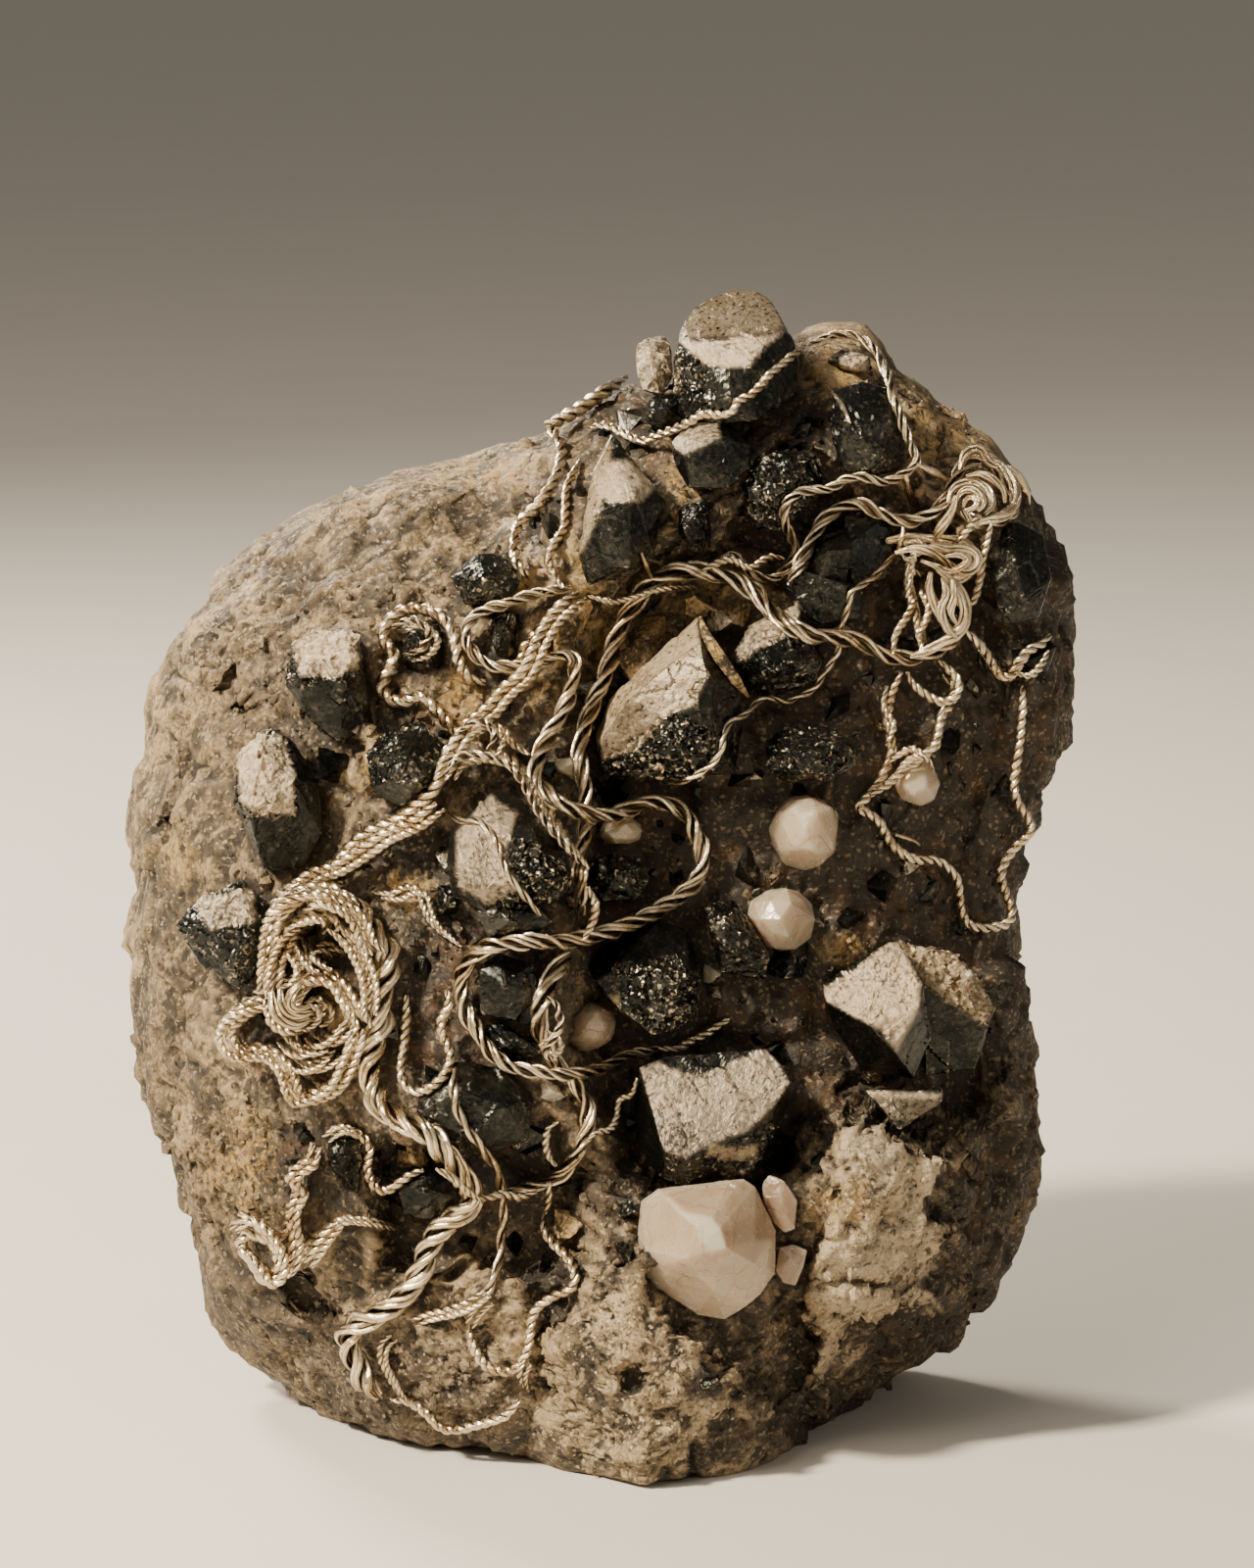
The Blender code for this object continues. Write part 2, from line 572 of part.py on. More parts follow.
def rock_places(sphere):
    """Move the points of a unit ball onto the rock.

    The ball's rim, seen from the front, becomes the rock's outline. Its front half becomes the
    face with its relief, and its back half the plain back. Both meet the ground at the heel.
    """
    across, back, up = sphere.T
    share = np.hypot(across, up)
    angle = np.arctan2(-up, across)
    outline = np.array(ROCK_OUTLINE, float) - ROCK_CENTRE
    rim_angle = np.arctan2(outline[:, 1], outline[:, 0])
    rim = np.hypot(outline[:, 0], outline[:, 1])
    radius = np.interp(angle, rim_angle, rim, period=2 * math.pi)
    out = np.clip(share, 0, 1) ** (2 / ROCK_SQUARENESS)
    bulge = np.abs(back) ** (2 / ROCK_SQUARENESS)
    x = ROCK_CENTRE[0] + out * radius * np.cos(angle)
    y = ROCK_CENTRE[1] + out * radius * np.sin(angle)
    rim_x = ROCK_CENTRE[0] + radius * np.cos(angle)
    rim_y = ROCK_CENTRE[1] + radius * np.sin(angle)
    rim_back = np.minimum(ground_behind(rim_x, rim_y), ROCK_EDGE)
    reach = np.where(back < 0, -ROCK_FRONT, ROCK_BACK)
    depth = rim_back * (1 - bulge) + reach * bulge
    fade = np.clip((1 - out) * RIM_FADE, 0, 1)
    depth = depth - np.where(back < 0, relief(x, y) * fade, 0)
    places = sight(x, y, depth)
    low = np.clip(1 - places[:, 2] / SOLE_HEIGHT, 0, 1)
    low *= np.clip(back * SOLE_ONSET - 1, 0, 1)
    places[:, 2] -= SOLE_DROP * low
    return places


def lumps(places):
    """Low lumps of the weathered skin, along the line from the rock's middle."""
    middle = places.mean(axis=0)
    moved = places.copy()
    for index, place in enumerate(places):
        outward = place - middle
        outward /= np.linalg.norm(outward)
        swell = noise.fractal(Vector(place / LUMP_SPAN), 1.0, 2.0, LUMP_SIZES)
        moved[index] = place + outward * swell * LUMP_HEIGHT
    return moved


def chipped(places):
    """Press points beyond each chip's plane back onto it, on the rock's rear."""
    pick = np.random.default_rng(CHIP_SEED)
    middle = places.mean(axis=0)
    for _ in range(CHIP_COUNT):
        normal = pick.normal(size=3)
        normal[1] = abs(normal[1]) + CHIP_LEAN
        normal /= np.linalg.norm(normal)
        reach = (places - middle) @ normal
        limit = reach.max() - CHIP_BITE * pick.uniform(*CHIP_SPREAD)
        over = np.maximum(reach - limit, 0)
        places = places - over[:, None] * normal * CHIP_FLATNESS
    return places


def material(name, colour, roughness, metallic, transmission=0.0):
    """One Principled finish."""
    finish = bpy.data.materials.new(name)
    finish.use_nodes = True
    shader = finish.node_tree.nodes["Principled BSDF"]
    shader.inputs["Base Color"].default_value = (*colour, 1.0)
    shader.inputs["Roughness"].default_value = roughness
    shader.inputs["Metallic"].default_value = metallic
    shader.inputs["Transmission Weight"].default_value = transmission
    finish.diffuse_color = (*colour, 1.0)
    return finish


def new_object(name, mesh, collection, finish=None):
    """Put a mesh or curve in a collection as an object."""
    item = bpy.data.objects.new(name, mesh)
    collection.objects.link(item)
    if finish:
        mesh.materials.append(finish)
    return item


def baked(item):
    """Replace an object's mesh by what its modifiers make of it."""
    bpy.context.view_layer.update()
    graph = bpy.context.evaluated_depsgraph_get()
    mesh = bpy.data.meshes.new_from_object(item.evaluated_get(graph))
    item.modifiers.clear()
    item.data = mesh
    return item


def combine(item, other, operation):
    """Join another solid to an object, or cut it away."""
    step = item.modifiers.new(other.name, "BOOLEAN")
    step.operation = operation
    step.object = other
    return baked(item)


def hull(name, points, collection, finish=None):
    """Closed convex solid round a set of points."""
    mesh = bpy.data.meshes.new(name)
    body = bmesh.new()
    for point in points:
        body.verts.new(point)
    made = bmesh.ops.convex_hull(body, input=body.verts)
    inner = [v for v in made["geom_interior"] if isinstance(v, bmesh.types.BMVert)]
    bmesh.ops.delete(body, geom=inner, context="VERTS")
    bmesh.ops.recalc_face_normals(body, faces=body.faces)
    body.to_mesh(mesh)
    body.free()
    return new_object(name, mesh, collection, finish)


def grown(item, collection):
    """Copy of a convex solid with each face moved out by the seam."""
    body = bmesh.new()
    body.from_mesh(item.data)
    body.normal_update()
    points = []
    for corner in body.verts:
        faces = np.array([face.normal for face in corner.link_faces])
        shift = np.linalg.lstsq(faces, np.full(len(faces), SEAM), rcond=None)[0]
        length = np.linalg.norm(shift)
        shift *= min(1.0, POCKET_REACH * SEAM / length)
        points.append(np.array(corner.co) + shift)
    body.free()
    return hull(item.name + "_pocket", points, collection)


def make_rock(parts, finish):
    """The matrix before its pockets are cut."""
    mesh = bpy.data.meshes.new("matrix_rock")
    body = bmesh.new()
    bmesh.ops.create_icosphere(body, subdivisions=ROCK_LEVELS, radius=1.0)
    sphere = np.array([v.co for v in body.verts])
    places = chipped(lumps(rock_places(sphere)))
    for vertex, place in zip(body.verts, places):
        vertex.co = place
    bmesh.ops.recalc_face_normals(body, faces=body.faces)
    body.to_mesh(mesh)
    body.free()
    rock = new_object("matrix_rock", mesh, parts, finish)
    thin = rock.modifiers.new("fewer_faces", "DECIMATE")
    thin.ratio = ROCK_KEEP
    baked(rock)
    body = bmesh.new()
    body.from_mesh(rock.data)
    everything = body.verts[:] + body.edges[:] + body.faces[:]
    made = bmesh.ops.bisect_plane(
        body, geom=everything, dist=GROUND_MERGE, plane_co=(0, 0, 0), plane_no=(0, 0, 1),
        clear_inner=True,
    )
    rim = [edge for edge in made["geom_cut"] if isinstance(edge, bmesh.types.BMEdge)]
    bmesh.ops.contextual_create(body, geom=rim)
    bmesh.ops.triangulate(body, faces=[f for f in body.faces if len(f.verts) > 4])
    bmesh.ops.recalc_face_normals(body, faces=body.faces)
    body.to_mesh(rock.data)
    body.free()
    return rock


def tree_of(items):
    """Search tree over the faces of several objects."""
    corners, faces = [], []
    for item in items:
        start = len(corners)
        corners += [vertex.co.copy() for vertex in item.data.vertices]
        faces += [[start + i for i in face.vertices] for face in item.data.polygons]
    return BVHTree.FromPolygons(corners, faces)


def surface_behind(tree, x, y):
    """How far back of the picture plane the line of sight meets a surface, or None."""
    direction = Vector(ray(x, y))
    length = direction.length
    hit = tree.ray_cast(Vector(EYE), direction.normalized())[3]
    return None if hit is None else hit / length - SIGHT_DISTANCE


def make_galena(name, blocks, tree, parts, cutters, finish):
    """A galena crystal of one block or several grown together, with its pocket cutters."""
    whole, pockets = None, []
    for number, corners in enumerate(blocks):
        x, y, proud = np.array(corners, float).T
        seat_x, seat_y = GALENA_SEATS.get(name, (x.mean(), y.mean()))
        seat = surface_behind(tree, seat_x, seat_y)
        front = sight(x, y, seat - proud * MM)
        inward_x = x.mean() + (x - x.mean()) * ROOT_TAPER
        inward_y = y.mean() + (y - y.mean()) * ROOT_TAPER
        rear = sight(inward_x, inward_y, np.full(len(x), seat + ROOT))
        block = hull(f"{name}_{number}", np.vstack((front, rear)), cutters, finish)
        pockets.append(grown(block, cutters))
        if whole is None:
            whole = new_object(name, block.data.copy(), parts)
        else:
            combine(whole, block, "UNION")
    return whole, pockets


def make_calcite(name, sizes, seed, tree, parts, cutters, finish):
    """A milky calcite pebble with dull facets, and its pocket cutter."""
    x, y, width, height, proud = sizes
    seat = surface_behind(tree, x, y)
    pick = np.random.default_rng(seed)
    body = bmesh.new()
    bmesh.ops.create_icosphere(body, subdivisions=2, radius=1.0)
    ball = np.array([v.co for v in body.verts])
    body.free()
    facets = pick.normal(size=(PEBBLE_FACETS, 3))
    facets /= np.linalg.norm(facets, axis=1)[:, None]
    for facet in facets:
        over = np.maximum(ball @ facet - pick.uniform(*PEBBLE_CUTS), 0)
        ball -= over[:, None] * facet
    ball /= np.abs(ball).max(axis=0)
    depth = np.where(ball[:, 1] < 0, proud, ROOT / MM * PEBBLE_ROOT) * ball[:, 1] * MM
    points = sight(x + ball[:, 0] * width / 2, y - ball[:, 2] * height / 2, seat + depth)
    pebble = hull(name, points, parts, finish)
    thin = pebble.modifiers.new("fewer_faces", "DECIMATE")
    thin.decimate_type = "DISSOLVE"
    thin.angle_limit = PEBBLE_FLAT
    baked(pebble)
    return pebble, [grown(pebble, cutters)]


def smooth_run(points, step):
    """Points at an even step along a smooth curve through hand-set ones."""
    run = np.array(points, float)
    ends = np.vstack((2 * run[0] - run[1], run, 2 * run[-1] - run[-2]))
    fine = []
    for a, b, c, d in zip(ends, ends[1:], ends[2:], ends[3:]):
        for t in np.arange(0, 1, CURVE_STEP):
            bend = (2 * a - 5 * b + 4 * c - d) * t * t + (3 * b - a - 3 * c + d) * t**3
            fine.append(b + 0.5 * ((c - a) * t + bend))
    fine.append(run[-1])
    fine = np.array(fine)
    length = np.concatenate(([0], np.cumsum(np.hypot(*np.diff(fine, axis=0).T))))
    count = max(3, round(length[-1] / step) + 1)
    even = np.linspace(0, length[-1], count)
    return np.column_stack([np.interp(even, length, fine[:, k]) for k in (0, 1)])


class DepthMap:
    """Nearest surface behind each picture point, on which braids are laid one after another."""

    def __init__(self, tree):
        self.x = np.arange(MAP_LEFT, MAP_RIGHT + 1, MAP_STEP, dtype=float)
        self.y = np.arange(MAP_TOP, MAP_BOTTOM + 1, MAP_STEP, dtype=float)
        self.near = np.full((len(self.y), len(self.x)), OPEN_SIDE)
        for row, y in enumerate(self.y):
            for column, x in enumerate(self.x):
                found = surface_behind(tree, x, y)
                if found is not None:
                    self.near[row, column] = min(found, OPEN_SIDE)

    def window(self, x, y, reach):
        """Cells within a reach of a picture point, with their squared distance in metres."""
        cells = reach / PICTURE_POINT + MAP_STEP
        left = np.searchsorted(self.x, x - cells)
        right = np.searchsorted(self.x, x + cells)
        top = np.searchsorted(self.y, y - cells)
        bottom = np.searchsorted(self.y, y + cells)
        across = (self.x[left:right] - x)[None, :]
        down = (self.y[top:bottom] - y)[:, None]
        squared = (across**2 + down**2) * PICTURE_POINT**2
        return slice(top, bottom), slice(left, right), squared

    def rest(self, x, y, reach):
        """Depth at which a ball of a radius comes to rest in front of the surface."""
        rows, columns, squared = self.window(x, y, reach)
        bulge = np.sqrt(np.maximum(reach**2 - squared, 0))
        touched = squared < (reach + 0.5 * MAP_STEP * PICTURE_POINT) ** 2
        held = np.where(touched, self.near[rows, columns] - bulge, OPEN_SIDE)
        return held.min()

    def stamp(self, x, y, back, radius):
        """Add a round wire's front to the map."""
        rows, columns, squared = self.window(x, y, radius)
        bulge = np.sqrt(np.maximum(radius**2 - squared, 0))
        covered = squared < (radius + 0.5 * MAP_STEP * PICTURE_POINT) ** 2
        front = np.where(covered, back - bulge, OPEN_SIDE)
        self.near[rows, columns] = np.minimum(self.near[rows, columns], front)


def lay(depth_map, run, radius):
    """Depths of a braid's points, so that it rests on all that lies under it."""
    parts = TESTS_PER_STEP
    share = np.arange(parts) / parts
    dense = np.vstack([a + (b - a) * share[:, None] for a, b in zip(run, run[1:])] + [run[-1:]])
    limit = np.array([depth_map.rest(x, y, radius + AIR) for x, y in dense])
    place = np.arange(len(dense)) / parts
    own = int(parts * OWN_STRETCH * radius / BRAID_STEP) + parts
    for _ in range(SETTLE_ROUNDS):
        depth = np.array(
            [limit[max(0, parts * (i - 1) + 1) : parts * (i + 1)].min() for i in range(len(run))]
        )
        for _ in range(TAUT_ROUNDS):
            middle = depth.copy()
            middle[1:-1] = (depth[:-2] + depth[2:]) / 2
            depth = np.minimum(depth, middle)
        dense_depth = np.interp(place, np.arange(len(run)), depth)
        clear = (2 * radius + AIR) / PICTURE_POINT
        for index in range(len(dense)):
            earlier = dense[: max(0, index - own)]
            if not len(earlier):
                continue
            apart = np.hypot(*(earlier - dense[index]).T)
            near = np.flatnonzero(apart < clear)
            if len(near):
                lift = np.sqrt(clear**2 - apart[near] ** 2) * PICTURE_POINT
                limit[index] = min(limit[index], (dense_depth[near] - lift).min())
    for (x, y), back in zip(dense, dense_depth):
        depth_map.stamp(x, y, back, radius)
    return depth


def make_braid(name, radius, points, depth_map, parts, finish):
    """A braid of silver wires as one round tube along its run."""
    radius *= MM
    run = smooth_run(points, BRAID_STEP / PICTURE_POINT)
    depth = lay(depth_map, run, radius)
    places = sight(run[:, 0], run[:, 1], depth)
    curve = bpy.data.curves.new(name, "CURVE")
    curve.dimensions = "3D"
    spline = curve.splines.new("POLY")
    spline.points.add(len(places) - 1)
    for point, place in zip(spline.points, places):
        point.co = (*place, 1.0)
    curve.bevel_depth = radius
    curve.bevel_resolution = 1 if radius > THICK_BRAID * MM else 0
    curve.use_fill_caps = True
    return new_object(name, curve, parts, finish)


def main():
    """Build every piece of the specimen."""
    for item in list(bpy.data.objects):
        bpy.data.objects.remove(item, do_unlink=True)
    parts = bpy.data.collections.new("wire_silver")
    cutters = bpy.data.collections.new("cutters")
    bpy.context.scene.collection.children.link(parts)
    bpy.context.scene.collection.children.link(cutters)
    rock_finish = material("weathered_rock", ROCK_COLOUR, 0.85, 0.0)
    galena_finish = material("galena", GALENA_COLOUR, 0.35, 0.8)
    calcite_finish = material("calcite", CALCITE_COLOUR, 0.4, 0.0, 0.3)
    silver_finish = material("native_silver", SILVER_COLOUR, 0.35, 1.0)

    rock = make_rock(parts, rock_finish)
    face = tree_of([rock])
    crystals, pockets = [], []
    for name, blocks in GALENA.items():
        crystal, cut = make_galena(name, blocks, face, parts, cutters, galena_finish)
        crystals.append(crystal)
        pockets += cut
    galena_pockets = list(pockets)
    for seed, (name, sizes) in enumerate(CALCITE.items()):
        crystal, cut = make_calcite(name, sizes, seed, face, parts, cutters, calcite_finish)
        for pocket in galena_pockets:
            if tree_of([crystal]).overlap(tree_of([pocket])):
                combine(crystal, pocket, "DIFFERENCE")
        crystals.append(crystal)
        pockets += cut
    for pocket in pockets:
        combine(rock, pocket, "DIFFERENCE")
    depth_map = DepthMap(tree_of([rock] + crystals))
    for name, (radius, points) in SILVER.items():
        make_braid(name, radius, points, depth_map, parts, silver_finish)
    for item in cutters.objects:
        item.hide_render = True
        item.display_type = "WIRE"


main()
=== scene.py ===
"""The looks of a wire silver specimen: weathered rock, galena, milky calcite and silver braids.

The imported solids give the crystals' shapes and places. The rock's skin is made afresh and finer
from its own outline and forms, and the braids are laid again over the finer surfaces, each as
twisted strands. Runs of wire are written as points of a front picture, x to the right and y
down. Lengths are in metres.
"""

import json
import logging
import math
from dataclasses import dataclass
from enum import Enum

import bmesh
import bpy
import numpy as np
from bpy.types import Material, Mesh, Node, NodeSocket, NodeTree, Object
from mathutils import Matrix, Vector, noise
from mathutils.bvhtree import BVHTree

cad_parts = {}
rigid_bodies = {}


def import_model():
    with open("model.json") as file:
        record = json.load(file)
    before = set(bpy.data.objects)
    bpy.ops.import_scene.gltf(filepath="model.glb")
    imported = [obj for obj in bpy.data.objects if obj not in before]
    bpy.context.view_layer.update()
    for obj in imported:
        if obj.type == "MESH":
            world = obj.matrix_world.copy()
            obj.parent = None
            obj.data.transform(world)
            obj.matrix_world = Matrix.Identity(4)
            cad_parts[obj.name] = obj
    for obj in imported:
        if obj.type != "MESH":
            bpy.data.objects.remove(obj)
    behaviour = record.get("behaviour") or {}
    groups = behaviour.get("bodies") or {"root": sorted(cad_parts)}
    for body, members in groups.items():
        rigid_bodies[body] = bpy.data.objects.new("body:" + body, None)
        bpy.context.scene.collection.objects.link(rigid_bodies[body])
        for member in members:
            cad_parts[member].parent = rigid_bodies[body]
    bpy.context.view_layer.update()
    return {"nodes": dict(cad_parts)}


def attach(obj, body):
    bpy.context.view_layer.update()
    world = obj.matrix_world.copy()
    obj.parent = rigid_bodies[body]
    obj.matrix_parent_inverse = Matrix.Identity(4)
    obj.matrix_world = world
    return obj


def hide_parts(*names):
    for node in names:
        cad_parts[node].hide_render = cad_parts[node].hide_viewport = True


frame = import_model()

LOG = logging.getLogger("wire_silver")
MM = 0.001
BODY = "root"

BMesh = bmesh.types.BMesh
Points = list[tuple[float, float]]
Corners = list[tuple[float, float, float]]
Value = NodeSocket | Material | float | int | str | tuple
Sockets = dict[str | int, Value]


class Twist(Enum):
    """How a wire is wound: plies, strands in a ply, and both pitches in half widths."""

    HAIR = (1, 1, 6.0, 6.0)
    PAIR = (2, 1, 11.0, 11.0)
    ROPE = (2, 1, 3.9, 3.9)
    CORD = (2, 2, 5.5, 9.0)
    CABLE = (3, 2, 7.6, 10.0)
    BRAID = (3, 3, 5.8, 8.5)
    BUNDLE = (3, 2, 8.6, 12.0)
    SKEIN = (1, 4, 30.0, 30.0)


@dataclass(frozen=True)
class Sight:
    """The eye that sees the front picture, which is the camera too."""

    point: float = 0.0735 * MM
    middle: tuple[float, float] = (640.0, 800.0)
    distance: float = 429.0 * MM
    tilt: float = math.radians(9.0)
    middle_x: float = 1.85 * MM
    middle_y: float = 4.1 * MM
    heel: tuple[float, float] = (660.0, 1521.0)
    heel_front: float = 19.0 * MM
    picture_height: float = 1600.0
    sensor: float = 36.0

    @property
    def focus(self) -> float:
        """Distance to the picture plane in picture points."""
        return self.distance / self.point

    @property
    def axes(self) -> np.ndarray:
        """Unit vectors to the right, ahead and up, as seen by the eye."""
        low, high = math.sin(self.tilt), math.cos(self.tilt)
        return np.array(((1.0, 0.0, 0.0), (0.0, high, -low), (0.0, low, high)))

    def ray(self, x: np.ndarray, y: np.ndarray) -> np.ndarray:
        """Find the lines of sight through picture points.

        Args:
            x: Picture points, to the right.
            y: Picture points, down.

        Returns:
            Their directions, one metre long along the eye's axis.
        """
        right, ahead, up = self.axes
        across = (np.asarray(x, float) - self.middle[0]) / self.focus
        down = (np.asarray(y, float) - self.middle[1]) / self.focus
        return ahead + np.multiply.outer(across, right) - np.multiply.outer(down, up)

    @property
    def eye(self) -> np.ndarray:
        """Find the place of the eye, at the height that puts the rock's heel on the ground.

        Returns:
            Its place in space.
        """
        height = -self.ray(*self.heel)[2] * (self.distance - self.heel_front)
        ahead = self.axes[1]
        return np.array((self.middle_x, self.middle_y - ahead[1] * self.distance, height))

    def place(self, x: np.ndarray, y: np.ndarray, back: np.ndarray) -> np.ndarray:
        """Find the places in space of picture points.

        Args:
            x: Picture points, to the right.
            y: Picture points, down.
            back: Metres behind the picture plane.

        Returns:
            One place for each point.
        """
        reach = self.distance + np.asarray(back, float)
        return self.eye + self.ray(x, y) * reach[..., None]

    def picture(self, places: np.ndarray) -> tuple[np.ndarray, np.ndarray, np.ndarray]:
        """Find where places in space are seen.

        Args:
            places: Places in space.

        Returns:
            Their picture points, x and y, and how far each is behind the picture plane.
        """
        right, ahead, up = self.axes @ (np.asarray(places) - self.eye).T
        x = self.middle[0] + right / ahead * self.focus
        y = self.middle[1] - up / ahead * self.focus
        return x, y, ahead - self.distance

    def ground_behind(self, x: np.ndarray, y: np.ndarray) -> np.ndarray:
        """How far behind the picture plane each line of sight meets the ground."""
        drop = np.minimum(self.ray(x, y)[..., 2], -1e-6)
        return -self.eye[2] / drop - self.distance


SIGHT = Sight()


class Patches:
    """Soft round zones of the front picture, each with its middle, width and height."""

    fade = 1.6

    def __init__(self, *zones: tuple[float, float, float, float]) -> None:
        """Keep the zones."""
        self.zones = zones

    def cover(self, x: np.ndarray, y: np.ndarray) -> np.ndarray:
        """Find how much each picture point lies in the zones.

        Args:
            x: Picture points, to the right.
            y: Picture points, down.

        Returns:
            A share from 0 to 1 for each point.
        """
        best = np.zeros(np.shape(x))
        for middle_x, middle_y, width, height in self.zones:
            away = np.hypot((x - middle_x) / width * 2, (y - middle_y) / height * 2)
            best = np.maximum(best, np.clip(self.fade - away, 0, 1))
        return best


class Shapes:
    """Crisp zones of the front picture, each with its strength and its outline."""

    edge = 5.0

    def __init__(self, *zones: tuple[float, Points]) -> None:
        """Keep the zones."""
        self.zones = zones

    def cover(self, x: np.ndarray, y: np.ndarray) -> np.ndarray:
        """Find how much each picture point lies in the zones.

        Args:
            x: Picture points, to the right.
            y: Picture points, down.

        Returns:
            A share from 0 to 1 for each point.
        """
        best = np.zeros(np.shape(x))
        for strength, outline in self.zones:
            inside = np.clip(depth_inside(x, y, outline) / self.edge + 0.5, 0, 1)
            best = np.maximum(best, strength * inside)
        return best


class Wiring:
    """Adds nodes to a tree and joins their sockets."""

    def __init__(self, tree: NodeTree) -> None:
        """Keep the tree."""
        self.tree = tree

    def feed(self, socket: NodeSocket, value: Value) -> None:
        """Give a socket a link or a constant.

        Args:
            socket: The socket.
            value: Another node's output, or a plain value.
        """
        if isinstance(value, NodeSocket):
            self.tree.links.new(value, socket)
        else:
            socket.default_value = value

    def node(self, kind: str, sockets: Sockets | None = None, **settings: object) -> Node:
        """Add a node.

        Args:
            kind: Blender's name for the node.
            sockets: What goes into its sockets, by name or number.
            **settings: Its options.

        Returns:
            The node.
        """
        made = self.tree.nodes.new(kind)
        for name, value in settings.items():
            setattr(made, name, value)
        for key, value in (sockets or {}).items():
            self.feed(made.inputs[key], value)
        return made

    def math(self, operation: str, *values: Value, clamp: bool = False) -> NodeSocket:
        """Work out a number from others.

        Args:
            operation: What is done.
            *values: The numbers.
            clamp: Whether the result is kept from 0 to 1.

        Returns:
            The number.
        """
        made = self.node("ShaderNodeMath", dict(enumerate(values)), operation=operation)
        made.use_clamp = clamp
        return made.outputs[0]

    def times(self, one: Value, other: Value, clamp: bool = False) -> NodeSocket:
        """Product of two numbers."""
        return self.math("MULTIPLY", one, other, clamp=clamp)

    def times_plus(self, one: Value, other: Value, more: Value, clamp: bool = False) -> NodeSocket:
        """Product of two numbers, and a third added to it."""
        return self.math("MULTIPLY_ADD", one, other, more, clamp=clamp)

    def vector(self, operation: str, *values: Value) -> NodeSocket:
        """Work out a vector from others, or scale one by a number.

        Args:
            operation: What is done.
            *values: The vectors, and the number last.

        Returns:
            The vector.
        """
        keys = (0, 3) if operation == "SCALE" else range(len(values))
        sockets = dict(zip(keys, values))
        return self.node("ShaderNodeVectorMath", sockets, operation=operation).outputs[0]

    def noise(self, place: Value, span: float, detail: float = 3.0, rough: float = 0.55) -> NodeSocket:
        """Cloudy pattern from 0 to 1 whose lumps have a span in metres."""
        sockets = {"Vector": place, "Scale": 1 / span, "Detail": detail, "Roughness": rough}
        return self.node("ShaderNodeTexNoise", sockets).outputs[0]

    def cells(self, place: Value, span: float, feature: str = "F1") -> Node:
        """Cell pattern whose cells have a span in metres."""
        sockets = {"Vector": place, "Scale": 1 / span}
        return self.node("ShaderNodeTexVoronoi", sockets, feature=feature)

    def grains(self, place: Value, span: float) -> NodeSocket:
        """A number from 0 to 1 that differs from grain to grain, whose span is in metres."""
        split = self.node("ShaderNodeSeparateXYZ", {0: self.cells(place, span).outputs["Color"]})
        return split.outputs[0]

    def facets(self, place: Value, span: float, blunt: float = 0.0) -> NodeSocket:
        """Flat faces that each lean their own way, as heights in parts of their span.

        Args:
            place: Where the pattern is read.
            span: Size of one face in metres.
            blunt: How rounded the edges between faces are, from 0 to 1.

        Returns:
            Heights from about -0.4 to 0.4.
        """
        scaled = self.vector("SCALE", place, 1 / span)
        sockets: Sockets = {"Vector": scaled, "Scale": 1.0}
        kind = "F1"
        if blunt:
            kind = "SMOOTH_F1"
            sockets["Smoothness"] = blunt
        found = self.node("ShaderNodeTexVoronoi", sockets, feature=kind).outputs
        lean = self.vector("SUBTRACT", found["Color"], (0.5, 0.5, 0.5))
        away = self.vector("SUBTRACT", scaled, found["Position"])
        pair: Sockets = {0: lean, 1: away}
        return self.node("ShaderNodeVectorMath", pair, operation="DOT_PRODUCT").outputs["Value"]

    def warped(self, place: Value, span: float, amount: float) -> NodeSocket:
        """Push places about by a cloudy pattern, so that cells lose their even look.

        Args:
            place: The places.
            span: Size of the pattern's lumps in metres.
            amount: How far it pushes in metres.

        Returns:
            The new places.
        """
        sockets = {"Vector": place, "Scale": 1 / span, "Detail": 2.0}
        push = self.node("ShaderNodeTexNoise", sockets).outputs["Color"]
        push = self.vector("SUBTRACT", push, (0.5, 0.5, 0.5))
        return self.vector("ADD", place, self.vector("SCALE", push, 2 * amount))

    def slope(self, value: Value, low: float, high: float) -> NodeSocket:
        """Soft step from 0 at one value to 1 at another."""
        sockets = {"Value": value, "From Min": low, "From Max": high}
        return self.node("ShaderNodeMapRange", sockets, interpolation_type="SMOOTHSTEP").outputs[0]

    def blend(self, share: Value, one: Value, other: Value) -> NodeSocket:
        """Mix two colours.

        Args:
            share: How much of the other colour there is, from 0 to 1.
            one: The first colour.
            other: The other colour.

        Returns:
            The mixed colour.
        """
        made = self.node("ShaderNodeMix", data_type="RGBA")
        self.feed(made.inputs[0], share)
        self.feed(made.inputs[6], one)
        self.feed(made.inputs[7], other)
        return made.outputs[2]


def colour(red: float, green: float, blue: float) -> tuple[float, float, float, float]:
    """Linear colour with full cover."""
    return (red, green, blue, 1.0)


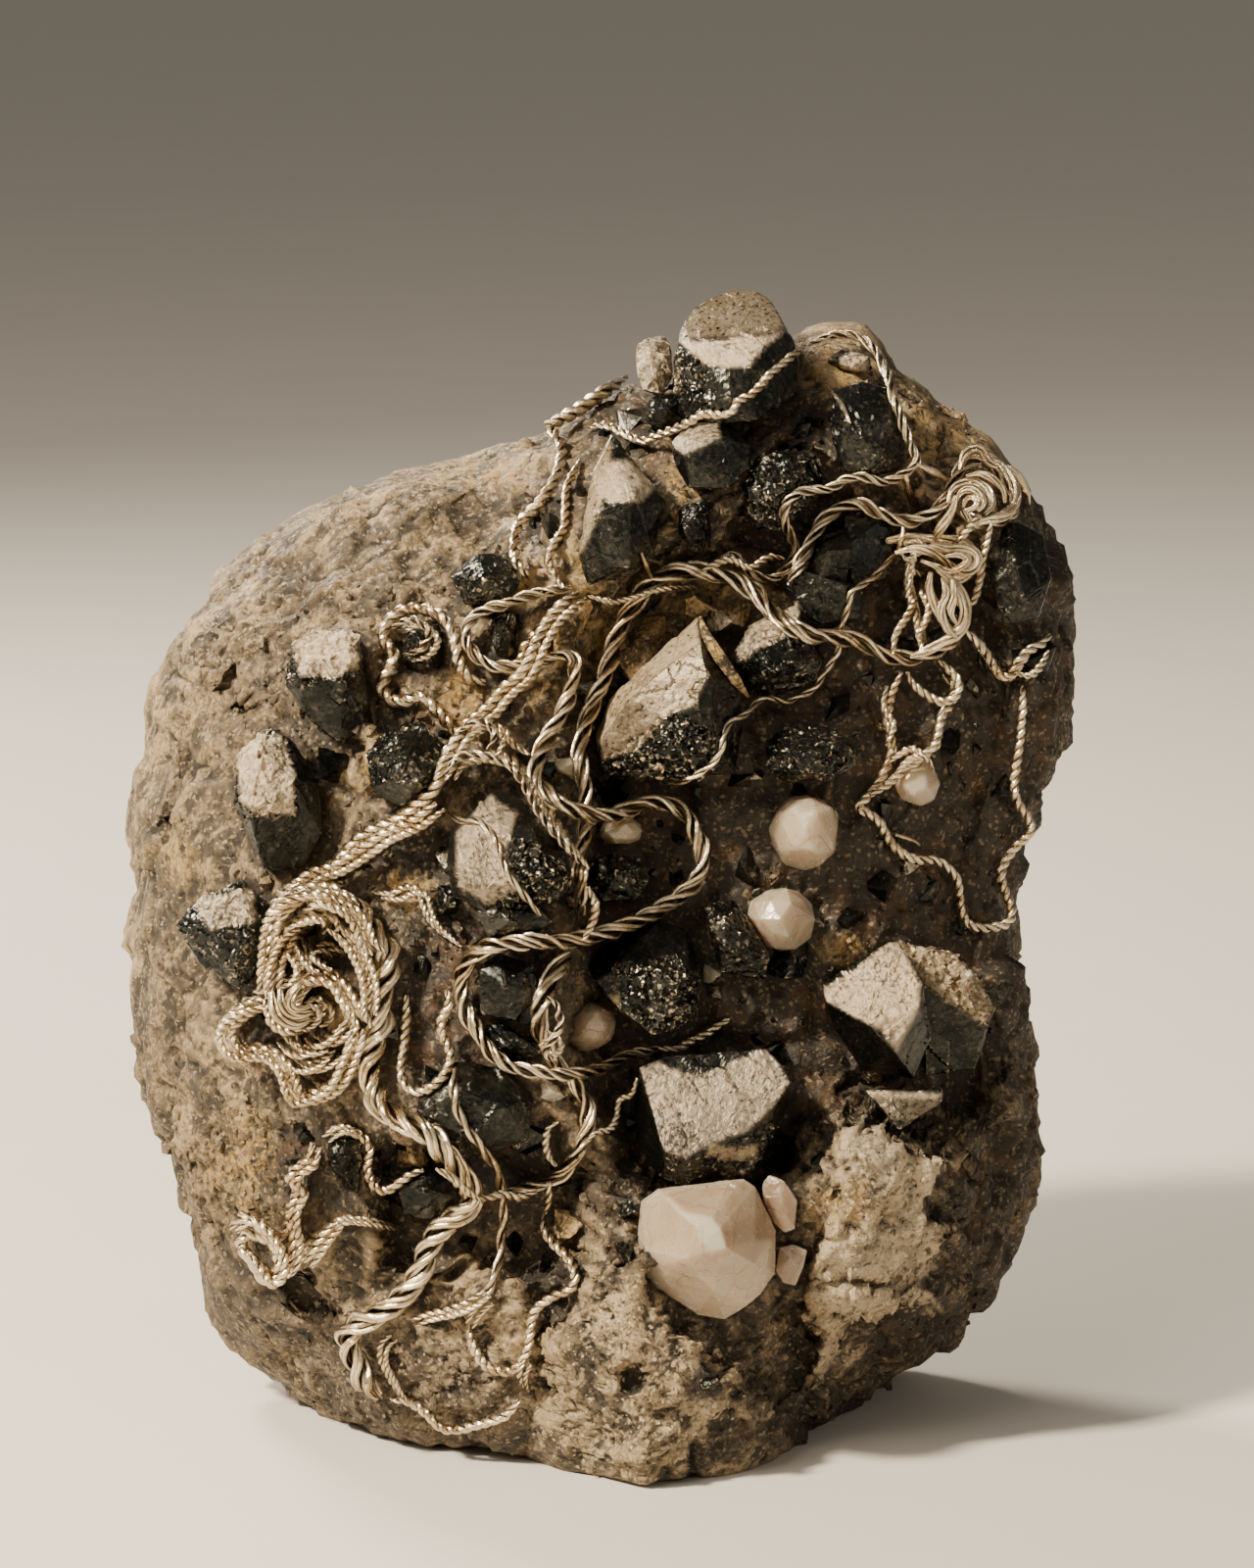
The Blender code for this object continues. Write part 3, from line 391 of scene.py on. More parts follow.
class Paint(Wiring):
    """A material in the making, on the object's own coordinates and attributes."""

    def __init__(self, name: str) -> None:
        """Start a material with one Principled shader.

        Args:
            name: The material's name.
        """
        self.material = bpy.data.materials.new(name)
        self.material.use_nodes = True
        super().__init__(self.material.node_tree)
        self.shader = self.tree.nodes["Principled BSDF"]
        self.place = self.node("ShaderNodeTexCoord").outputs["Object"]

    def kept(self, name: str) -> NodeSocket:
        """Number kept on the mesh under a name."""
        return self.node("ShaderNodeAttribute", attribute_name=name).outputs["Fac"]

    def set(self, **values: Value) -> None:
        """Give the shader's sockets their values, with _ for a space in a name."""
        for name, value in values.items():
            self.feed(self.shader.inputs[name.replace("_", " ")], value)

    def bump(self, *layers: tuple[Value, float]) -> None:
        """Raise the surface by layers of a pattern.

        Args:
            *layers: Each pattern with its height in metres.
        """
        below: Value | None = None
        for height, depth in layers:
            sockets: Sockets = {"Height": height, "Distance": depth}
            made = self.node("ShaderNodeBump", sockets)
            if below is not None:
                self.feed(made.inputs["Normal"], below)
            below = made.outputs[0]
        self.feed(self.shader.inputs["Normal"], below)


@dataclass(frozen=True)
class RockFinish:
    """Weathered brown-grey rock with tan skin, ochre iron stains, a dark hollow, and painted shade and
    light.

    The colours are those of its body, weathered skin, fresh breaks, pores and painted crease shade,
    iron stains, pale grains and painted light, the hollow and its painted shade, and rust. Worn edges
    are as light as the skin.
    """

    name: str = "weathered_rock"
    streak_turn: float = math.radians(40.0)
    body: tuple = colour(0.098, 0.072, 0.040)
    tan: tuple = colour(0.335, 0.240, 0.130)
    fresh: tuple = colour(0.460, 0.350, 0.210)
    pore: tuple = colour(0.026, 0.020, 0.012)
    ochre: tuple = colour(0.360, 0.225, 0.070)
    speck_and_painted_light: tuple = colour(0.680, 0.560, 0.390)
    # Near-black of the hollow, which also stands for painted shade and painted cast shadows
    deep: tuple = colour(0.028, 0.021, 0.013)
    rust: tuple = colour(0.066, 0.036, 0.015)

    def make(self) -> Material:
        """Build the material.

        Returns:
            The material.
        """
        paint = Paint(self.name)
        place = paint.warped(paint.place, 3.0 * MM, 0.5 * MM)
        broad = paint.noise(paint.place, 7 * MM, 5, 0.62)
        fine = paint.noise(place, 0.6 * MM, 6, 0.72)
        grain = paint.grains(place, 0.24 * MM)
        hollow, worn, grainy = (paint.kept(name) for name in ("hollow", "worn", "grainy"))
        crisp = paint.times_plus(grainy, 0.45, 0.55, clamp=True)
        cloud = paint.times_plus(fine, 0.4, paint.times(broad, 0.6))
        shade = paint.blend(paint.slope(cloud, 0.42, 0.58), self.body, self.tan)
        broken = paint.times(paint.slope(cloud, 0.36, 0.52), grainy)
        shade = paint.blend(broken, shade, self.fresh)
        shade = paint.blend(self.streaks(paint), shade, self.pore)
        dim = paint.times(paint.slope(grain, 0.34, 0.0), crisp)
        shade = paint.blend(paint.times(dim, 0.6), shade, self.pore)
        pores = paint.times(paint.slope(fine, 0.45, 0.36), crisp)
        shade = paint.blend(paint.times(pores, 0.8), shade, self.pore)
        patchy = paint.times_plus(fine, 0.6, paint.times(cloud, 0.4))
        stained = paint.times(paint.kept("ochre"), paint.slope(patchy, 0.44, 0.56))
        shade = paint.blend(stained, shade, self.ochre)
        shade = paint.blend(paint.times(worn, 0.60, clamp=True), shade, self.tan)
        # Painted shade in creases: places lying below their surroundings turn dark
        shade = paint.blend(paint.times(worn, -0.85, clamp=True), shade, self.pore)
        # Painted light on the block's upper part, kept as pale
        lit = paint.times(paint.kept("pale"), paint.slope(fine, 0.38, 0.50))
        shade = paint.blend(lit, shade, self.speck_and_painted_light)
        bright = paint.times_plus(grainy, 0.45, 0.25)
        speckled = paint.times(paint.slope(grain, 0.90, 0.96), bright)
        shade = paint.blend(speckled, shade, self.speck_and_painted_light)
        # The hollow with painted shade and painted cast shadows: near-black with rust spots
        hollow_and_painted_shade = paint.times(hollow, 1.45)
        hollow_and_painted_shade = paint.math("SUBTRACT", hollow_and_painted_shade, paint.slope(cloud, 0.45, 0.75), clamp=True)
        rusty = paint.slope(paint.noise(place, 2.4 * MM, 4, 0.6), 0.50, 0.64)
        floor = paint.blend(paint.times(rusty, 0.85), self.deep, self.rust)
        shade = paint.blend(hollow_and_painted_shade, shade, floor)
        sparks = paint.times(paint.slope(grain, 0.84, 0.94), 0.35)
        shade = paint.blend(sparks, shade, self.tan)
        gloss = paint.times_plus(grain, -0.40, 0.85)
        paint.set(Base_Color=shade, Roughness=gloss, Specular_IOR_Level=0.4)
        small = paint.times(paint.facets(place, 0.24 * MM), crisp)
        large = paint.times(paint.facets(place, 0.8 * MM, 0.1), crisp)
        rough = paint.times(fine, crisp)
        paint.bump((broad, 0.5 * MM), (rough, 0.26 * MM), (large, 0.30 * MM), (small, 0.20 * MM))
        return paint.material

    def streaks(self, paint: Paint) -> NodeSocket:
        """Dark streaks that rise to the right across the weathered face.

        Args:
            paint: The material in the making.

        Returns:
            How dark each place is, from 0 to 1.
        """
        axis = {"Vector": paint.place, "Axis": (0, 1, 0), "Angle": self.streak_turn}
        turned = paint.node("ShaderNodeVectorRotate", axis).outputs[0]
        drawn = paint.noise(paint.vector("MULTIPLY", turned, (0.40, 0.8, 1.0)), 1.7 * MM, 5, 0.66)
        return paint.times(paint.slope(drawn, 0.53, 0.43), 0.90)


@dataclass(frozen=True)
class GalenaFinish:
    """Lead-grey cleavage faces, pale with painted highlight where they face the light, tan where stained,
    with painted glints where broken.

    The colours are those of its dark and light body, pale faces with painted highlight, stains, sand, and
    worn edges and painted glints.
    """

    dark: tuple = colour(0.014, 0.016, 0.014)
    body: tuple = colour(0.052, 0.050, 0.041)
    pale: tuple = colour(0.560, 0.445, 0.305)
    tan: tuple = colour(0.250, 0.170, 0.085)
    sand: tuple = colour(0.350, 0.265, 0.155)
    edge: tuple = colour(0.640, 0.520, 0.360)

    def make(self) -> Material:
        """Build the material.

        Returns:
            The material.
        """
        paint = Paint("galena")
        broad = paint.noise(paint.place, 3.0 * MM, 4)
        fine = paint.noise(paint.place, 0.34 * MM, 4, 0.72)
        grain = paint.grains(paint.place, 0.30 * MM)
        broken, worn = paint.kept("broken"), paint.kept("worn")
        mottled = paint.times_plus(fine, 0.5, paint.times(broad, 0.5))
        shade = paint.blend(paint.slope(mottled, 0.42, 0.62), self.dark, self.body)
        sandy = paint.times_plus(grain, 0.16, mottled)
        # Pale frosted colour with painted highlight on faces turned to the light
        frost = paint.times_plus(paint.slope(sandy, 0.42, 0.64), 0.7, 0.3)
        pale_and_highlight = paint.times(paint.kept("pale"), frost)
        shade = paint.blend(pale_and_highlight, shade, self.pale)
        rusty = paint.times(paint.kept("tan"), paint.slope(fine, 0.34, 0.46))
        stain = paint.blend(paint.slope(sandy, 0.48, 0.66), self.tan, self.sand)
        shade = paint.blend(rusty, shade, stain)
        clean = paint.times(paint.slope(fine, 0.42, 0.52), 0.6)
        rubbed = paint.times(paint.slope(worn, 0.30, 0.85), clean)
        shade = paint.blend(rubbed, shade, self.edge)
        # Painted glints: bright grains in broken zones
        clusters = paint.slope(paint.noise(paint.place, 1.5 * MM, 2), 0.44, 0.60)
        glint = paint.times(paint.times(broken, clusters), 0.9, clamp=True)
        glint = paint.times(paint.slope(grain, 0.88, 0.92), glint)
        shade = paint.blend(glint, shade, self.edge)
        gloss = paint.times_plus(fine, 0.30, 0.08)
        gloss = paint.times_plus(rusty, 0.35, gloss)
        gloss = paint.times_plus(pale_and_highlight, 0.38, gloss)
        metal = paint.math("SUBTRACT", 0.92, paint.times_plus(pale_and_highlight, 0.55, rusty), clamp=True)
        paint.set(Base_Color=shade, Roughness=gloss, Metallic=metal)
        chips = paint.facets(paint.place, 0.34 * MM)
        chips = paint.times(chips, paint.times_plus(broken, 0.9, 0.05))
        pebbles = paint.times_plus(paint.kept("pale"), 0.9, 0.25)
        pebbles = paint.times(fine, pebbles)
        flakes = paint.facets(paint.warped(paint.place, 2.0 * MM, 0.3 * MM), 1.4 * MM)
        paint.bump((flakes, 0.16 * MM), (chips, 0.26 * MM), (pebbles, 0.15 * MM))
        return paint.material


@dataclass(frozen=True)
class CalciteFinish:
    """Milky, slightly see-through warm white crystal with veils inside, with painted highlights and painted
    shade.

    The colours are those of the milky and clearer parts, of painted shade on the parts marked tan, of
    painted highlights on the veils and edges, and of dusty pits.
    """

    milk: tuple = colour(0.830, 0.680, 0.500)
    clear: tuple = colour(0.740, 0.570, 0.390)
    shaded: tuple = colour(0.430, 0.290, 0.175)
    veil_highlight: tuple = colour(0.980, 0.880, 0.720)
    dust: tuple = colour(0.300, 0.200, 0.110)

    def make(self) -> Material:
        """Build the material.

        Returns:
            The material.
        """
        paint = Paint("calcite")
        cloud = paint.noise(paint.warped(paint.place, 3 * MM, 1.0 * MM), 2.2 * MM, 5, 0.62)
        fine = paint.noise(paint.place, 0.5 * MM, 4, 0.65)
        shade = paint.blend(paint.slope(cloud, 0.36, 0.58), self.clear, self.milk)
        # Painted shade on calcite faces marked tan
        shade = paint.blend(paint.kept("tan"), shade, self.shaded)
        shade = paint.blend(paint.times(paint.slope(fine, 0.32, 0.25), 0.4), shade, self.dust)
        # Painted highlight on edges that stand out
        shade = paint.blend(paint.times(paint.kept("worn"), 0.6, clamp=True), shade, self.veil_highlight)
        # Painted bright streak of a veil's inner reflection
        shade = paint.blend(paint.times(paint.kept("pale"), 0.8), shade, self.veil_highlight)
        paint.set(
            Base_Color=shade,
            Roughness=paint.times_plus(fine, 0.30, 0.08),
            IOR=1.6,
            Subsurface_Weight=0.8,
            Subsurface_Radius=(1.0, 0.66, 0.44),
            Subsurface_Scale=2.2 * MM,
            Transmission_Weight=0.55,
        )
        flakes = paint.facets(paint.warped(paint.place, 2.0 * MM, 0.4 * MM), 2.2 * MM, 0.05)
        paint.bump((flakes, 0.20 * MM), (cloud, 0.05 * MM), (fine, 0.04 * MM))
        return paint.material


@dataclass(frozen=True)
class SilverFinish:
    """Native silver with a warm tarnish, drawn into fine lines along each strand.

    The colours are those of rubbed and of dull silver and of the tarnish, which between strands also stands
    for painted shade.
    """

    bright: tuple = colour(0.970, 0.830, 0.590)
    dull: tuple = colour(0.640, 0.480, 0.290)
    dark: tuple = colour(0.045, 0.027, 0.013)

    def make(self) -> Material:
        """Build the material.

        Returns:
            The material.
        """
        paint = Paint("native_silver")
        proud = paint.kept("proud")
        drawn = paint.node("ShaderNodeCombineXYZ")
        paint.feed(drawn.inputs[0], paint.times(paint.kept("around"), 4.0))
        paint.feed(drawn.inputs[1], paint.times(paint.kept("along"), 0.9))
        paint.feed(drawn.inputs[2], paint.kept("strand"))
        sockets: Sockets = {"Vector": drawn.outputs[0], "Scale": 1.0, "Detail": 3.0}
        lines = paint.node("ShaderNodeTexNoise", sockets).outputs[0]
        cloud = paint.noise(paint.place, 2.4 * MM, 4)
        spots = paint.noise(paint.place, 0.5 * MM, 3, 0.65)
        shade = paint.blend(paint.slope(cloud, 0.32, 0.60), self.dull, self.bright)
        tarnish_and_shade = paint.times(paint.slope(lines, 0.54, 0.36), 0.5)
        tarnish_and_shade = paint.times_plus(paint.slope(spots, 0.38, 0.28), 0.6, tarnish_and_shade)
        # Painted shade in the grooves between strands, where the surface lies near the wire's middle
        tarnish_and_shade = paint.times_plus(paint.slope(proud, 0.80, 0.46), 0.9, tarnish_and_shade, clamp=True)
        shade = paint.blend(tarnish_and_shade, shade, self.dark)
        gloss = paint.times_plus(cloud, 0.18, 0.13)
        gloss = paint.times_plus(tarnish_and_shade, 0.22, gloss)
        paint.set(Base_Color=shade, Metallic=1.0, Roughness=gloss)
        paint.bump((lines, 0.04 * MM), (spots, 0.05 * MM))
        return paint.material


@dataclass(frozen=True)
class FloorFinish:
    """Plain pale studio floor."""

    pale: tuple = colour(0.680, 0.640, 0.580)

    def make(self) -> Material:
        """Build the material.

        Returns:
            The material.
        """
        paint = Paint("studio_floor")
        cloud = paint.noise(paint.place, 30 * MM, 3)
        darker = tuple(0.94 * part for part in self.pale[:3]) + (1.0,)
        shade = paint.blend(cloud, self.pale, darker)
        paint.set(Base_Color=shade, Roughness=0.8)
        return paint.material


def new_piece(name: str, mesh: Mesh) -> Object:
    """Put a mesh in the scene as an object at the origin.

    Args:
        name: The object's name.
        mesh: Its mesh.

    Returns:
        The object.
    """
    item = bpy.data.objects.new(name, mesh)
    bpy.context.scene.collection.objects.link(item)
    return item


def mesh_of(name: str, body: BMesh) -> Mesh:
    """Turn a mesh in the making into a plain one.

    Args:
        name: The plain mesh's name.
        body: The mesh in the making, which is freed.

    Returns:
        The plain mesh.
    """
    mesh = bpy.data.meshes.new(name)
    body.to_mesh(mesh)
    body.free()
    return mesh


def keep(mesh: Mesh, name: str, values: np.ndarray) -> None:
    """Keep a number for each corner of a mesh under a name."""
    kept = mesh.attributes.new(name, "FLOAT", "POINT")
    kept.data.foreach_set("value", np.asarray(values, np.float32))


def corners_of(mesh: Mesh) -> np.ndarray:
    """Read the places of a mesh's corners.

    Args:
        mesh: The mesh.

    Returns:
        One place for each corner.
    """
    flat = np.zeros(len(mesh.vertices) * 3)
    mesh.vertices.foreach_get("co", flat)
    return flat.reshape(-1, 3)


def keep_relief(mesh: Mesh, depth: float, rounds: int = 1) -> None:
    """Keep how far each corner stands out of its surroundings, from -1 in a gap to 1 on an edge.

    Args:
        mesh: The mesh.
        depth: How far out, in metres, counts as 1.
        rounds: How many times the surroundings are widened.
    """
    count = len(mesh.vertices)
    ends = np.zeros(len(mesh.edges) * 2, int)
    mesh.edges.foreach_get("vertices", ends)
    one, other = ends.reshape(-1, 2).T
    both, mates = np.concatenate((one, other)), np.concatenate((other, one))
    shared = np.maximum(np.bincount(both, minlength=count), 1)[:, None]
    normals = np.zeros(count * 3)
    mesh.vertex_normals.foreach_get("vector", normals)
    places = corners_of(mesh)
    around = places
    for _ in range(rounds):
        summed = [np.bincount(both, weights=around[mates, axis], minlength=count) for axis in range(3)]
        around = np.stack(summed, axis=1) / shared
    proud = ((places - around) * normals.reshape(-1, 3)).sum(axis=1)
    keep(mesh, "worn", np.clip(proud / depth, -1, 1))


class GrowthTree(Wiring):
    """A Geometry Nodes tree with named inputs, which ends in real faces and their finish."""

    def __init__(self, name: str, inputs: dict[str, tuple[str, float | int | None]]) -> None:
        """Start a tree.

        Args:
            name: The tree's name.
            inputs: Kind of socket and first value of each named input.
        """
        super().__init__(bpy.data.node_groups.new(name, "GeometryNodeTree"))
        face = self.tree.interface
        face.new_socket("Geometry", in_out="INPUT", socket_type="NodeSocketGeometry")
        for label, (kind, first) in inputs.items():
            made = face.new_socket(label, in_out="INPUT", socket_type=f"NodeSocket{kind}")
            if first is not None:
                made.default_value = first
        face.new_socket("Finish", in_out="INPUT", socket_type="NodeSocketMaterial")
        face.new_socket("Geometry", in_out="OUTPUT", socket_type="NodeSocketGeometry")
        self.given = self.node("NodeGroupInput").outputs
        self.position = self.node("GeometryNodeInputPosition").outputs[0]

    def named(self, name: Value, kind: str = "FLOAT") -> NodeSocket:
        """Number or place kept on each point under a name."""
        return self.node("GeometryNodeInputNamedAttribute", {"Name": name}, data_type=kind).outputs[0]

    def raised(self, height: Value) -> NodeSocket:
        """Raise the given surface.

        Args:
            height: How far, in metres.

        Returns:
            The raised surface.
        """
        normal = self.node("GeometryNodeInputNormal").outputs[0]
        offset = self.vector("SCALE", normal, height)
        sockets: Sockets = {"Geometry": self.given["Geometry"], "Offset": offset}
        return self.node("GeometryNodeSetPosition", sockets).outputs[0]

    def end(self, geometry: NodeSocket) -> None:
        """Close the tree with Realize Instances and Set Material.

        Args:
            geometry: What the tree has made.
        """
        real = self.node("GeometryNodeRealizeInstances", {"Geometry": geometry}).outputs[0]
        sockets: Sockets = {"Geometry": real, "Material": self.given["Finish"]}
        dressed = self.node("GeometryNodeSetMaterial", sockets).outputs[0]
        self.tree.links.new(dressed, self.node("NodeGroupOutput").inputs[0])

    def grow(self, item: Object, **values: Value) -> Object:
        """Replace an object's mesh by what the tree makes of it.

        Args:
            item: The object.
            **values: The tree's inputs, with _ for a space in a name.

        Returns:
            The same object, with a plain mesh.
        """
        step = item.modifiers.new(self.tree.name, "NODES")
        step.node_group = self.tree
        for entry in self.tree.interface.items_tree:
            label = entry.name.replace(" ", "_")
            if entry.in_out == "INPUT" and label in values:
                step[entry.identifier] = values[label]
        graph = bpy.context.evaluated_depsgraph_get()
        graph.update()
        mesh = bpy.data.meshes.new_from_object(item.evaluated_get(graph), depsgraph=graph)
        item.modifiers.clear()
        old, item.data = item.data, mesh
        bpy.data.meshes.remove(old)
        return item


class SkinTree(GrowthTree):
    """Weathers the rock's skin with breaks, lumps, cracks, pits and grain."""

    def __init__(self) -> None:
        """Build the tree."""
        super().__init__(
            "weathered_skin",
            {
                "Break": ("Float", 2.4 * MM),
                "Chip": ("Float", 0.95 * MM),
                "Lump": ("Float", 0.20 * MM),
                "Crack": ("Float", 0.40 * MM),
                "Pit": ("Float", 0.45 * MM),
                "Grain": ("Float", 0.11 * MM),
            },
        )
        grainy = self.named("grainy")
        hollow = self.named("hollow")
        place = self.warped(self.position, 6 * MM, 1.2 * MM)
        broken = self.facets(place, 9.0 * MM, 0.22)
        chip = self.facets(self.warped(self.position, 2.5 * MM, 0.5 * MM), 2.4 * MM, 0.16)
        rough = self.times_plus(self.noise(self.position, 9 * MM, 1), 2.0, -0.60, clamp=True)
        rough = self.times_plus(grainy, 0.20, rough)
        chip = self.times(chip, self.times_plus(hollow, 1.1, rough))
        lump = self.math("SUBTRACT", self.noise(self.position, 3.6 * MM, 4, 0.6), 0.5)
        crack = self.math("ABSOLUTE", self.math("SUBTRACT", self.noise(self.position, 8 * MM, 3), 0.5))
        crack = self.slope(crack, 0.018, 0.0)
        pit = self.slope(self.cells(place, 2.3 * MM).outputs["Distance"], 0.34, 0.05)
        chosen = self.slope(self.noise(self.position, 7 * MM, 1), 0.52, 0.64)
        pit = self.times(pit, chosen)
        grain = self.facets(self.position, 0.95 * MM, 0.10)
        grain = self.times(grain, self.times_plus(grainy, 1.0, 0.45))
        height: Value = 0.0
        for name, part, sign in (
            ("Break", broken, 1.0),
            ("Chip", chip, 1.0),
            ("Lump", lump, 2.0),
            ("Crack", crack, -1.0),
            ("Pit", pit, -1.0),
            ("Grain", grain, 1.0),
        ):
            share = self.times(part, sign)
            height = self.times_plus(share, self.given[name], height)
        self.end(self.raised(height))


class CleaveTree(GrowthTree):
    """Gives a crystal's faces cleavage steps, and its broken zones many small faces."""

    def __init__(self) -> None:
        """Build the tree."""
        super().__init__(
            "cleavage",
            {
                "Step": ("Float", 0.26 * MM),
                "Rubble": ("Float", 0.70 * MM),
                "Wave": ("Float", 0.08 * MM),
                "Turn": ("Float", 0.0),
            },
        )
        broken = self.named("broken")
        turned = self.node(
            "ShaderNodeVectorRotate",
            {"Vector": self.position, "Axis": (0.5, 0.3, 0.8), "Angle": self.given["Turn"]},
        ).outputs[0]
        stretched = self.vector("MULTIPLY", self.warped(turned, 2 * MM, 0.2 * MM), (1.0, 0.35, 0.8))
        ledges = self.facets(stretched, 1.9 * MM, 0.03)
        coarse = self.facets(turned, 1.15 * MM, 0.05)
        rubble = self.facets(turned, 0.62 * MM, 0.05)
        rubble = self.times_plus(coarse, 1.1, self.times(rubble, 0.7))
        wave = self.math("SUBTRACT", self.noise(turned, 1.4 * MM, 3), 0.5)
        height = self.times(ledges, self.given["Step"])
        height = self.times_plus(wave, self.given["Wave"], height)
        crumbled = self.times(rubble, broken)
        height = self.times_plus(crumbled, self.given["Rubble"], height)
        self.end(self.raised(height))


class BraidTree(GrowthTree):
    """Winds strands into plies and plies into a wire, along every guide line of a piece."""

    sides = 6
    apart_span = 1.9 * MM
    drift_span = 2.3 * MM
    swell_span = 1.1 * MM
    swell_range = (0.36, 0.84)
    own_range = (0.32, 0.94)

    def __init__(self) -> None:
        """Build the tree."""
        super().__init__(
            "braid",
            {
                "Plies": ("Int", 2),
                "Strands": ("Int", 2),
                "Ply Pitch": ("Float", 5.0),
                "Strand Pitch": ("Float", 4.0),
                "Step": ("Float", 0.2 * MM),
                "Wander": ("Float", 0.3),
                "Loose": ("Float", 0.6),
            },
        )
        girth = self.named("girth")
        widths = self.named("widths")
        line = self.node("GeometryNodeMeshToCurve", {0: self.given["Geometry"]}).outputs[0]
        line = self.node(
            "GeometryNodeResampleCurve", {"Curve": line, "Length": self.given["Step"]}, mode="LENGTH"
        ).outputs[0]
        run = self.node("GeometryNodeSplineParameter").outputs
        plies, strands = self.given["Plies"], self.given["Strands"]
        copies = self.node(
            "GeometryNodeDuplicateElements",
            {"Geometry": line, "Amount": self.times(plies, strands)},
            domain="SPLINE",
        ).outputs
        number = copies["Duplicate Index"]
        ply = self.math("FLOOR", self.math("DIVIDE", number, strands))
        strand = self.math("MODULO", number, strands)
        ply_size, ply_reach = self.packed(girth, plies)
        size, reach = self.packed(ply_size, strands)
        normal = self.node("GeometryNodeInputNormal").outputs[0]
        tangent = self.node("GeometryNodeInputTangent").outputs[0]
        aside = self.vector("CROSS_PRODUCT", tangent, normal)
        offset: Value = (0.0, 0.0, 0.0)
        for item, count, pitch, away in (
            (ply, plies, self.given["Ply Pitch"], ply_reach),
            (strand, strands, self.given["Strand Pitch"], reach),
        ):
            angle = self.turn(widths, pitch, item, count, run["Length"], number)
            apart = self.math("SUBTRACT", self.seeded(run["Length"], item, self.apart_span, 2.3), 0.5)
            apart = self.times(apart, self.times(self.given["Loose"], 2.0))
            away = self.times(away, self.math("ADD", apart, 1.0))
            across = self.times(self.math("COSINE", angle), away)
            out = self.times(self.math("SINE", angle), away)
            offset = self.vector("ADD", offset, self.vector("SCALE", normal, across))
            offset = self.vector("ADD", offset, self.vector("SCALE", aside, out))
        swell = self.seeded(run["Length"], number, self.swell_span, 3.0)
        size = self.times(size, self.times_plus(swell, *self.swell_range))
        own = {"W": self.math("ADD", number, 0.4)}
        own = self.node("ShaderNodeTexWhiteNoise", own, noise_dimensions="1D").outputs["Value"]
        size = self.times(size, self.times_plus(own, *self.own_range))
        wound: Value = self.stored(copies["Geometry"], "axis", self.position, "FLOAT_VECTOR")
        for name, value in (
            ("along", self.math("DIVIDE", run["Length"], MM)),
            ("strand", self.times(number, 3.7)),
            ("size", size),
        ):
            wound = self.stored(wound, name, value)
        wound = self.node("GeometryNodeSetPosition", {0: wound, "Offset": offset}).outputs[0]
        made = self.tube(wound)
        ends: Sockets = {0: self.position, 1: self.named("axis", "FLOAT_VECTOR")}
        away = self.node("ShaderNodeVectorMath", ends, operation="DISTANCE").outputs["Value"]
        self.end(self.stored(made, "proud", self.math("DIVIDE", away, girth)))

    def packed(self, girth: NodeSocket, count: NodeSocket) -> tuple[NodeSocket, NodeSocket]:
        """Fit round strands side by side in a round wire.

        Args:
            girth: Half the wire's width.
            count: How many strands go round in it.

        Returns:
            Half a strand's width, and how far its middle is from the wire's.
        """
        several = self.math("GREATER_THAN", count, 1.5)
        apart = self.math("SINE", self.math("DIVIDE", math.pi, count))
        share = self.math("DIVIDE", apart, self.math("ADD", apart, 1.0))
        single = self.math("SUBTRACT", 1.0, several)
        share = self.times_plus(share, several, single)
        size = self.times(girth, share)
        return size, self.math("SUBTRACT", girth, size)

    def seeded(self, length: Value, number: Value, span: float, spread: float) -> NodeSocket:
        """Make noise along a strand, another one for each strand.

        Args:
            length: How far along the strand, in metres.
            number: The strand's own number.
            span: Length of one swell.
            spread: How far apart the strands' noises are read.

        Returns:
            The noise, from 0 to 1.
        """
        place = self.node("ShaderNodeCombineXYZ")
        self.feed(place.inputs[0], self.math("DIVIDE", length, span))
        self.feed(place.inputs[1], self.times(number, spread))
        self.feed(place.inputs[2], self.math("DIVIDE", self.node("GeometryNodeInputIndex").outputs[0], 1e9))
        sockets: Sockets = {"Vector": place.outputs[0], "Scale": 1.0, "Detail": 2.0}
        return self.node("ShaderNodeTexNoise", sockets).outputs[0]

    def turn(
        self, widths: Value, pitch: Value, item: Value, count: Value, length: Value, number: Value
    ) -> NodeSocket:
        """Find the angle of a strand round its wire.

        Args:
            widths: How far along the wire, in half widths.
            pitch: Length of one turn, in half widths.
            item: Which ply or strand it is.
            count: How many there are of them.
            length: How far along the wire, in metres.
            number: The strand's own number, for its wander.

        Returns:
            The angle.
        """
        wound = self.math("DIVIDE", widths, pitch)
        start = self.math("DIVIDE", item, count)
        angle = self.times(self.math("ADD", wound, start), 2 * math.pi)
        drift = self.math("SUBTRACT", self.seeded(length, number, self.drift_span, 5.1), 0.5)
        return self.times_plus(drift, self.times(self.given["Wander"], 4.0), angle)

    def stored(self, geometry: Value, name: str, value: Value, kind: str = "FLOAT") -> NodeSocket:
        """Keep a number or a place on each point under a name."""
        sockets: Sockets = {"Geometry": geometry, "Name": name, "Value": value}
        return self.node("GeometryNodeStoreNamedAttribute", sockets, data_type=kind).outputs[0]

